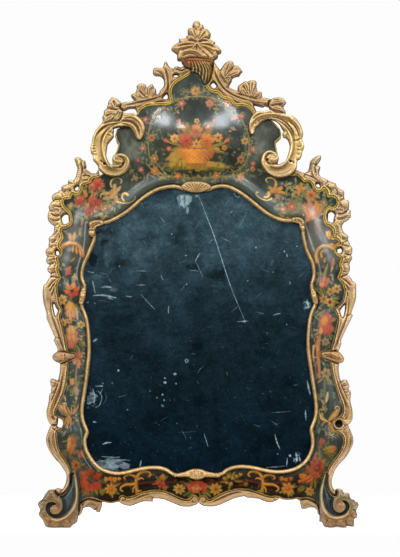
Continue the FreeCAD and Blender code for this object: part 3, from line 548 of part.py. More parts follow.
GLASS = [(-4.01, 597.1), (6.57, 596.57), (18.29, 596.06), (26.8, 600.17), (37.8, 602.37), (48.82, 602.01), (59.78, 598.7),
        (74.09, 590.99), (88.25, 580.86), (102.3, 569.4), (116.2, 558.06), (129.94, 549.44), (143.56, 543.8), (155.37,
        541.77), (165.72, 542.11), (177.21, 541.73), (184.36, 533.53), (185.84, 521.38), (186.19, 512.69), (188.77,
        500.61), (191.86, 488.53), (196.51, 478.17), (201.49, 467.46), (204.2, 456.56), (205.11, 445.59), (203.47,
        435.48), (200.74, 427.78), (201.06, 419.66), (204.5, 407.57), (207.24, 396.58), (205.89, 387.89), (201.96,
        380.71), (199.26, 372.24), (197.03, 361.04), (195.64, 347.11), (194.6, 333.16), (194.6, 319.26), (195.47,
        305.36), (197.55, 291.4), (200.18, 273.83), (202.8, 256.28), (205.43, 240.45), (207.54, 224.55), (208.6,
        210.3), (208.06, 199.42), (205.35, 188.54), (201.84, 179.73), (199.72, 172.37), (200.87, 164.93), (202.3,
        155.97), (202.12, 145.01), (199.75, 134.93), (195.2, 124.89), (188.28, 115.2), (179.14, 107.49), (168.24,
        102.02), (155.62, 98.4), (141.26, 96.96), (126.97, 97.86), (112.8, 100.53), (98.84, 103.68), (85.02, 105.76),
        (73.08, 106.27), (61.26, 104.58), (51.3, 100.74), (43.28, 94.13), (31.14, 91.69), (16.96, 92.22), (-3.15,
        91.7), (-21.48, 92.22), (-33.8, 91.34), (-43.22, 92.29), (-49.76, 96.41), (-57.38, 101.17), (-67.36, 104.01),
        (-80.96, 104.52), (-94.7, 103.14), (-108.55, 100.18), (-122.6, 96.66), (-136.93, 94.32), (-149.61, 95.23),
        (-162.26, 98.5), (-173.22, 103.99), (-182.31, 112.21), (-189.5, 121.23), (-194.89, 130.25), (-198.54, 138.49),
        (-200.56, 148.62), (-200.19, 157.97), (-197.67, 165.19), (-196.62, 169.7), (-199.89, 177.9), (-203.82,
        188.68), (-205.63, 201.39), (-205.09, 213.99), (-202.98, 228.15), (-200.35, 245.72), (-197.73, 263.24),
        (-195.99, 280.78), (-194.41, 293.06), (-193.38, 305.23), (-193.38, 320.89), (-194.24, 338.36), (-195.98,
        355.75), (-198.55, 367.82), (-201.97, 378.12), (-205.94, 386.27), (-206.51, 394.83), (-204.71, 405.7),
        (-202.08, 416.25), (-200.79, 423.51), (-203.22, 430.0), (-205.6, 436.43), (-206.34, 445.76), (-204.52, 456.7),
        (-201.1, 467.55), (-196.69, 476.4), (-192.16, 487.77), (-187.98, 497.4), (-184.63, 506.65), (-184.63, 515.76),
        (-186.48, 526.92), (-181.21, 535.37), (-172.31, 537.36), (-165.38, 537.71), (-155.3, 540.74), (-141.55,
        547.64), (-127.73, 556.31), (-115.63, 565.86), (-103.35, 576.95), (-89.16, 587.46), (-74.87, 595.35), (-62.28,
        599.5), (-49.7, 601.66), (-38.74, 601.66), (-29.54, 599.08), (-24.56, 596.75), (-14.56, 596.75)]
DOME_CENTRE = (-4.03, 688.09)
BACKBOARDS = {
    'backboard_upper': [(-222, 429), (222, 429), (228, 560), (190, 607), (-190, 607), (-228, 560)],
    'backboard_middle': [(-222, 251), (222, 251), (222, 428), (-222, 428)],
    'backboard_lower': [(-222, 78), (222, 78), (222, 250), (-222, 250)],
}
FINIAL_DOWEL = (-2.28, 801.6, 841.6, 18.0)
SCROLL_DOWELS = [(-103.78, 702.15), (-135.28, 637.15), (94.85, 707.42), (125.47, 640.66)]
FOOT_DOWELS = {'foot_left': (-218.4, -196.53, 73.25, 11.0), 'foot_right': (200.72, 222.6, 73.25, 11.0)}
NAILS = [("backboard_upper", "crest_panel", [(-212, 540), (212, 540), (-80, 600), (80, 600)]),
         ("backboard_upper", "left_stile", [(-212, 433)]), ("backboard_upper", "right_stile", [(212, 433)]),
         ("backboard_middle", "left_stile", [(-212, 410), (-212, 335)]), ("backboard_middle", "right_stile", [(212, 410), (212, 335)]),
         ("backboard_lower", "left_stile", [(-212, 235)]), ("backboard_lower", "right_stile", [(212, 235)]),
         ("backboard_lower", "bottom_rail", [(-212, 110), (212, 110), (-90, 90), (90, 90)])]
RAIL_SCREWS = [(-212, 448), (-212, 490), (212, 448), (212, 490)]
GLAZING_BLOCKS = [(-187.5, 470, 8, 30), (-186, 330, 8, 30), (-196, 200, 8, 30), (186.5, 470, 8, 30), (186, 330, 8, 30),
                  (197, 200, 8, 30), (-45, 592, 30, 8), (45, 592, 30, 8), (-90, 112, 30, 8), (90, 112, 30, 8)]


SUBPARTS = []


def origin_plane(body, role):
    for feature in body.Origin.OriginFeatures:
        if feature.Role == role:
            return feature
    raise RuntimeError("no plane " + role)


def new_body(label):
    body = doc.addObject("PartDesign::Body", label)
    body.Label = label
    SUBPARTS.append(body)
    return body


def loop_edges(points):
    edges = []
    pts = [Vector(x * SCALE, z * SCALE, 0) for x, z in points]
    for a, b in zip(pts, pts[1:] + pts[:1]):
        edges.append(Part.LineSegment(a, b))
    return edges


def sketch(body, name, geometry, offset=None, role="XZ_Plane"):
    sk = body.newObject("Sketcher::SketchObject", name)
    sk.AttachmentSupport = [(origin_plane(body, role), "")]
    sk.MapMode = "FlatFace"
    if offset is not None:
        sk.setExpression("AttachmentOffset.Base.z", offset)
    sk.addGeometry(geometry, False)
    return sk


def outline(body, name, loops, offset=None):
    geometry = []
    for loop in loops:
        geometry += loop_edges(loop)
    return sketch(body, name, geometry, offset)


def pad(body, sk, name, length, both=False):
    feature = body.newObject("PartDesign::Pad", name)
    feature.Profile = sk
    feature.setExpression("Length", length)
    if both:
        symmetric(feature)
    return feature


def symmetric(feature):
    if hasattr(feature, "SideType"):
        feature.SideType = "Symmetric"
    else:
        feature.Midplane = True


def pocket(body, sk, name, length, forward=False, both=False):
    feature = body.newObject("PartDesign::Pocket", name)
    feature.Profile = sk
    feature.setExpression("Length", length)
    if forward:
        feature.Reversed = True
    if both:
        symmetric(feature)
    return feature


def circles(points, radius):
    return [Part.Circle(Vector(a, b, 0), Vector(0, 0, 1), radius) for a, b in points]


def bore_depth(body, name, points, radius, start, length, forward):
    # round holes along the depth; start and length are expressions
    sk = sketch(body, name + "Sketch", circles(points, radius), start)
    return pocket(body, sk, name, length, forward)


def plate(label, loops, start, length):
    body = new_body(label)
    sk = outline(body, label + "Outline", loops, start)
    pad(body, sk, label + "Pad", length)
    body.Placement = FRAME_PLACE
    return body


# ---------------------------------------------------------------- lacquered carcass boards
def carcass(label):
    body = new_body(label)
    pad(body, outline(body, label + "Outline", [CARCASS[label]], "0"), label + "Pad", "Params.board_thick")
    for n, loop in enumerate(CUSHION.get(label, [])):
        sk = outline(body, "%sCushion%d" % (label, n), [loop], "Params.board_thick - 1")
        pad(body, sk, "%sCushionPad%d" % (label, n), "Params.cushion_rise + 1")
    return body


def carcass_cuts(body, label):
    # step under the sight moulding, then the glass rebate from the back
    pocket(body, outline(body, label + "Step", [SIGHT_OUTER], "Params.board_thick"),
           label + "StepCut", "Params.board_thick - Params.lip_front")
    pocket(body, outline(body, label + "Rebate", [REBATE], "0"),
           label + "RebateCut", "Params.rebate_deep", forward=True)
    body.Placement = FRAME_PLACE


crest = carcass("crest_panel")
dome = crest.newObject("PartDesign::AdditiveEllipsoid", "CrestDome")
dome.AttachmentSupport = [(origin_plane(crest, "XZ_Plane"), "")]
dome.MapMode = "FlatFace"
dome.AttachmentOffset = Placement(Vector(DOME_CENTRE[0], DOME_CENTRE[1], 0), Rotation())
dome.setExpression("AttachmentOffset.Base.z", "Params.dome_base")
dome.setExpression("Radius1", "Params.dome_rise")
dome.setExpression("Radius2", "Params.dome_half_w")
dome.setExpression("Radius3", "Params.dome_half_h")
dome.Angle1 = 0.0
dome.Angle2 = 90.0
dome.Angle3 = 360.0
left_stile = carcass("left_stile")
right_stile = carcass("right_stile")
rail = carcass("bottom_rail")
LAP_HOSTS = [(left_stile, crest, "LapUL"), (left_stile, rail, "LapLL"),
             (right_stile, crest, "LapUR"), (right_stile, rail, "LapLR")]
for (stile, host, name), loop in zip(LAP_HOSTS, LAPS):
    pad(stile, outline(stile, name + "Tongue", [loop], "0"), name + "Pad", "Params.lap_thick")
    pocket(host, outline(host, name + "Seat", [loop], "0"), name + "Cut", "Params.lap_thick", forward=True)
for body in (crest, left_stile, right_stile, rail):
    carcass_cuts(body, body.Label)

# ---------------------------------------------------------------- gilt carving round the edge
GILT = {}
for label, (start, front) in DEPTHS.items():
    GILT[label] = plate(label, [OUTLINES[label]] + PIERCED.get(label, []), "Params." + start,
                        "Params.%s - Params.%s" % (front, start))

# level cut under the two scroll feet
for label in ("foot_left", "foot_right"):
    body = GILT[label]
    low = val("floor_cut")
    under = [(-60, low - 60 * TAN), (25, low + 25 * TAN), (25, -60), (-60, -60)]
    sk = sketch(body, label + "Level", loop_edges(under), None, "YZ_Plane")
    cut = pocket(body, sk, label + "LevelCut", "2000", both=True)

# ---------------------------------------------------------------- sight moulding
for label, loop in SIGHT_RUNS.items():
    body = new_body(label)
    tall = "Params.board_thick - Params.lip_front" if label in SIGHT_CAPS else "Params.sight_rise"
    pad(body, outline(body, label + "Run", [loop], "Params.lip_front"), label + "RunPad", tall)
    if label in SIGHT_CAPS:
        sk = outline(body, label + "Cap", [SIGHT_CAPS[label]], "Params.board_thick")
        pad(body, sk, label + "CapPad", "Params.cap_rise")
    body.Placement = FRAME_PLACE

# ---------------------------------------------------------------- glass and back
plate("mirror_plate", [GLASS], "Params.rebate_deep - Params.glass_thick", "Params.glass_thick")
boards = {}
for label, loop in BACKBOARDS.items():
    boards[label] = plate(label, [loop], "-Params.backboard_thick", "Params.backboard_thick")

half = val("rail_half_len")
mid = val("rail_mid")
tall = val("rail_tall") / 2
hinge_rail = plate("hinge_rail", [[(-half, mid - tall), (half, mid - tall), (half, mid + tall), (-half, mid + tall)]],
                   "-Params.backboard_thick - Params.rail_thick", "Params.rail_thick")

# hinge brackets behind the stiles: a plate with two ears that carry the pin
RAIL_BACK = val("backboard_thick") + val("rail_thick")
PLATE_BACK = RAIL_BACK + val("plate_thick")
PIN_Y = PLATE_BACK + val("pin_stand")
def ear_profile():
    lo, hi = mid - 9, mid + 9
    y0, y1, r = PLATE_BACK - 0.5, PIN_Y, 7.5
    return [Part.LineSegment(Vector(y0, lo, 0), Vector(y1, mid - r, 0)),
            Part.ArcOfCircle(Part.Circle(Vector(y1, mid, 0), Vector(0, 0, 1), r), -math.pi / 2, math.pi / 2),
            Part.LineSegment(Vector(y1, mid + r, 0), Vector(y0, hi, 0)),
            Part.LineSegment(Vector(y0, hi, 0), Vector(y0, lo, 0))]


SIDES = (("left", -1), ("right", 1))
OUT = val("strut_x")
BRACKET_SCREWS = []
for side, sign in SIDES:
    at = "%d * Params.strut_x" % sign
    bracket = new_body("hinge_bracket_" + side)
    x = sign * OUT
    sk = outline(bracket, "BracketPlate_" + side, [[(x - 19, mid - 13), (x + 19, mid - 13), (x + 19, mid + 13), (x - 19, mid + 13)]],
                 "-Params.backboard_thick - Params.rail_thick - Params.plate_thick")
    pad(bracket, sk, "BracketPlatePad_" + side, "Params.plate_thick")
    sk = sketch(bracket, "EarRight_" + side, ear_profile(), at + " + Params.strut_wide / 2 + Params.strut_play", "YZ_Plane")
    pad(bracket, sk, "EarRightPad_" + side, "Params.ear_thick")
    sk = sketch(bracket, "EarLeft_" + side, ear_profile(),
                at + " - Params.strut_wide / 2 - Params.strut_play - Params.ear_thick", "YZ_Plane")
    pad(bracket, sk, "EarLeftPad_" + side, "Params.ear_thick")
    sk = sketch(bracket, "PinEyes_" + side, circles([(PIN_Y, mid)], val("pin_rad")), at, "YZ_Plane")
    pocket(bracket, sk, "PinEyesCut_" + side, "60", both=True)
    holes = [(x - 14.5, mid - 7), (x + 14.5, mid - 7), (x - 14.5, mid + 7), (x + 14.5, mid + 7)]
    bore_depth(bracket, "BracketHoles_" + side, holes, val("screw_rad"),
               "-Params.backboard_thick - Params.rail_thick - Params.plate_thick", "Params.plate_thick", True)
    bracket.Placement = FRAME_PLACE
    bore_depth(hinge_rail, "BracketScrewHoles_" + side, holes, val("screw_rad"),
               "-Params.backboard_thick - Params.rail_thick", "13", True)
    BRACKET_SCREWS += holes
    pin = new_body("hinge_pin_" + side)
    sk = sketch(pin, "PinCircle_" + side, circles([(PIN_Y, mid)], val("pin_rad")), at, "YZ_Plane")
    pad(pin, sk, "PinPad_" + side, "Params.strut_wide + 2 * Params.strut_play + 2 * Params.ear_thick + 6", both=True)
    pin.Placement = FRAME_PLACE

# ---------------------------------------------------------------- easel struts, drawn about their pins
PIN_WORLD = FRAME_PLACE.multVec(Vector(0, PIN_Y, mid))
tilt = val("strut_open_deg") - LEAN
ct, st = math.cos(math.radians(tilt)), math.sin(math.radians(tilt))
co, so = math.cos(math.radians(val("strut_open_deg"))), math.sin(math.radians(val("strut_open_deg")))
h2 = val("strut_thick") / 2
bear = val("pin_stand") - 0.3
head = val("head_above")


def foot_z(y):
    return (-PIN_WORLD.z - y * st) / ct


profile = [(-h2, (bear - h2 * co) / so), ((-bear + head * so) / co, head), (h2 - 5, head), (h2, head - 5),
           (h2, foot_z(h2)), (-h2, foot_z(-h2))]
for side, sign in SIDES:
    strut = new_body("strut_" + side)
    sk = sketch(strut, "StrutProfile_" + side, loop_edges(profile), None, "YZ_Plane")
    pad(strut, sk, "StrutPad_" + side, "Params.strut_wide", both=True)
    sk = sketch(strut, "StrutBore_" + side, circles([(0, 0)], val("pin_rad") + val("bore_play")), None, "YZ_Plane")
    pocket(strut, sk, "StrutBoreCut_" + side, "200", both=True)
    strut.Placement = Placement(Vector(sign * OUT, PIN_WORLD.y, PIN_WORLD.z), Rotation(Vector(1, 0, 0), tilt))

# ---------------------------------------------------------------- dowels, nails, screws, blocks
def group(label, solids):
    feature = doc.addObject("Part::Feature", label)
    feature.Label = label
    feature.Shape = Part.makeCompound(solids)
    feature.Placement = FRAME_PLACE
    SUBPARTS.append(feature)


def rod_depth(x, z, d0, d1, radius):
    return Part.makeCylinder(radius, d1 - d0, Vector(x, -d0, z), Vector(0, -1, 0))


# finial dowel, upright
fx, fz0, fz1, fd = FINIAL_DOWEL
r = val("dowel_rad")
group("finial_dowel", [Part.makeCylinder(r, fz1 - fz0, Vector(fx, -fd, fz0), Vector(0, 0, 1))])
for label, start, forward in (("fluted_neck", fz0, True), ("finial_leaf", fz1, False)):
    body = GILT[label]
    sk = sketch(body, label + "DowelSketch", circles([(fx, -fd)], r), "%s" % start, "XY_Plane")
    pocket(body, sk, label + "DowelHole", "%s" % (fz1 - fz0), forward)

# scroll dowels, along the depth
r = val("peg_rad")
front = val("board_thick")
group("scroll_dowels", [rod_depth(x, z, front - 10, front + 10, r) for x, z in SCROLL_DOWELS])
bore_depth(crest, "ScrollPegSeats", SCROLL_DOWELS, r, "Params.board_thick", "10", False)
for label in ("c_scroll_left", "c_scroll_right"):
    side = -1 if label.endswith("left") else 1
    bore_depth(GILT[label], label + "PegHoles", [p for p in SCROLL_DOWELS if p[0] * side > 0], r,
               "Params.board_thick", "10", True)

# foot dowels, across
r = val("dowel_rad")
rods = []
for label, (x0, x1, z, d) in FOOT_DOWELS.items():
    rods.append(Part.makeCylinder(r, x1 - x0, Vector(x0, -d, z), Vector(1, 0, 0)))
    for body, name in ((GILT[label], label + "Peg"), (rail, label + "RailPeg")):
        sk = sketch(body, name + "Sketch", circles([(-d, z)], r), "%s" % x0, "YZ_Plane")
        pocket(body, sk, name + "Hole", "%s" % (x1 - x0), True)
group("foot_dowels", rods)

# backboard nails
r = val("nail_rad")
t = val("backboard_thick")
nails = []
for board, host, points in NAILS:
    for x, z in points:
        nails.append(rod_depth(x, z, -t, 14.0, r).fuse(rod_depth(x, z, -t - 1.2, -t, 3.0)).removeSplitter())
    bore_depth(boards[board], "Nails_%s_%s" % (board, host), points, r, "-Params.backboard_thick",
               "Params.backboard_thick", True)
    body = {"crest_panel": crest, "left_stile": left_stile, "right_stile": right_stile, "bottom_rail": rail}[host]
    bore_depth(body, "NailHoles_%s_%s" % (board, host), points, r, "0", "14", True)
group("backboard_nails", nails)

# hinge rail screws into the stiles, and bracket screws into the rail
r = val("screw_rad")
screws = []
for host, points in ((left_stile, RAIL_SCREWS[:2]), (right_stile, RAIL_SCREWS[2:])):
    for x, z in points:
        screws.append(rod_depth(x, z, -RAIL_BACK, 12.0, r).fuse(rod_depth(x, z, -RAIL_BACK - 2.2, -RAIL_BACK, 4.5)).removeSplitter())
    bore_depth(host, "RailScrewHoles" + host.Label, points, r, "0", "12", True)
    bore_depth(hinge_rail, "RailScrewHoles" + host.Label, points, r,
               "-Params.backboard_thick - Params.rail_thick", "Params.rail_thick", True)
    bore_depth(boards["backboard_upper"], "RailScrewHoles" + host.Label, points, r, "-Params.backboard_thick",
               "Params.backboard_thick", True)
group("rail_screws", screws)
group("bracket_screws",
      [rod_depth(x, z, -PLATE_BACK, -RAIL_BACK + 13, r).fuse(rod_depth(x, z, -PLATE_BACK - 2, -PLATE_BACK, 4.0)).removeSplitter()
       for x, z in BRACKET_SCREWS])

# glazing blocks between glass and backboards
deep = val("rebate_deep") - val("glass_thick")
group("glazing_blocks",
      [Part.makeBox(w, deep, h, Vector(x - w / 2, -deep, z - h / 2)) for x, z, w, h in GLAZING_BLOCKS])

# ---------------------------------------------------------------- check, then write
doc.recompute()
bad = []
for obj in doc.Objects:
    if "Invalid" in obj.State or "Error" in obj.State:
        bad.append("%s %s" % (obj.Name, obj.State))
for part in SUBPARTS:
    if part.Shape.isNull() or not part.Shape.isValid() or not part.Shape.Solids:
        bad.append("bad shape: " + part.Label)
if bad:
    raise RuntimeError("; ".join(bad))
labels = [part.Label for part in SUBPARTS]
if len(set(labels)) != len(labels):
    raise RuntimeError("two sub-parts share a label")
os.makedirs("parts", exist_ok=True)
box = FreeCAD.BoundBox()
for part in SUBPARTS:
    part.Shape.exportStep("parts/%s.step" % part.Label)
    box.add(part.Shape.BoundBox)
    print("%-20s solids %2d  volume %10.1f" % (part.Label, len(part.Shape.Solids), part.Shape.Volume))
print("nodes", len(SUBPARTS), "box", [round(v, 2) for v in (box.XMin, box.XMax, box.YMin, box.YMax, box.ZMin, box.ZMax)])
print("pin", [round(v, 3) for v in PIN_WORLD])
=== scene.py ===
import math

import bpy
import numpy as np
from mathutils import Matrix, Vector
from mathutils.kdtree import KDTree
from mathutils.geometry import delaunay_2d_cdt


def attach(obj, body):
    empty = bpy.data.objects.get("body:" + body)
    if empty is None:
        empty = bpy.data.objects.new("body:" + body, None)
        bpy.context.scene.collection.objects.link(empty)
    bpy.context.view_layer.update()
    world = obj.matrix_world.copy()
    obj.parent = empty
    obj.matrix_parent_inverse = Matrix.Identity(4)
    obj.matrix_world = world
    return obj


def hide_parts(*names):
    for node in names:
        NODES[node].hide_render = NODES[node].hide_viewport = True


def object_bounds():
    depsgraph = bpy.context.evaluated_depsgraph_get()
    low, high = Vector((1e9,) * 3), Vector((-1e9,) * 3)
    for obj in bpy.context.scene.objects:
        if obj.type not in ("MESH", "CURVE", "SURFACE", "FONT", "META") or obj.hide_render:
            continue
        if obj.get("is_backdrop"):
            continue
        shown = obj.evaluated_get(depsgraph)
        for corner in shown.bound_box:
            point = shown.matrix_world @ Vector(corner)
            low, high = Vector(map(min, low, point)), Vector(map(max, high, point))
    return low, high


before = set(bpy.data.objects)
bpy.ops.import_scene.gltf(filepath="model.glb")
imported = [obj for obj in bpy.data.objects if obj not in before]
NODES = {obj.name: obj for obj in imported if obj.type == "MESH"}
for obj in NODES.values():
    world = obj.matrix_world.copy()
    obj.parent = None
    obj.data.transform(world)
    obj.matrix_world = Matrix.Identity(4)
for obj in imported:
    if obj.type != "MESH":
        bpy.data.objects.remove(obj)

cad_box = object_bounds()

# ---------------------------------------------------------------- shared frame
# Layout units: one unit is 1.75 mm on the face of the frame, x to the right, y downwards.
UNIT = 1.75
MID_X, FOOT_Y = 198.3, 527.7
LEAN = math.radians(5.0)
CO, SI = math.cos(LEAN), math.sin(LEAN)
SHIFT_Y, SHIFT_Z = -111.06, -3.67 * CO


def place(p, d):
    """Layout points p (n, 2) at depth d (mm in front of the carcass back) to metres in the object's frame."""
    x = (p[:, 0] - MID_X) * UNIT
    w = (FOOT_Y - p[:, 1]) * UNIT / CO
    y = -d * CO + w * SI + SHIFT_Y
    z = w * CO + d * SI + SHIFT_Z
    return np.stack([x, y, z], 1) / 1000.0


def pts(text):
    return np.array([[float(v) for v in q.split(",")] for q in text.split()])


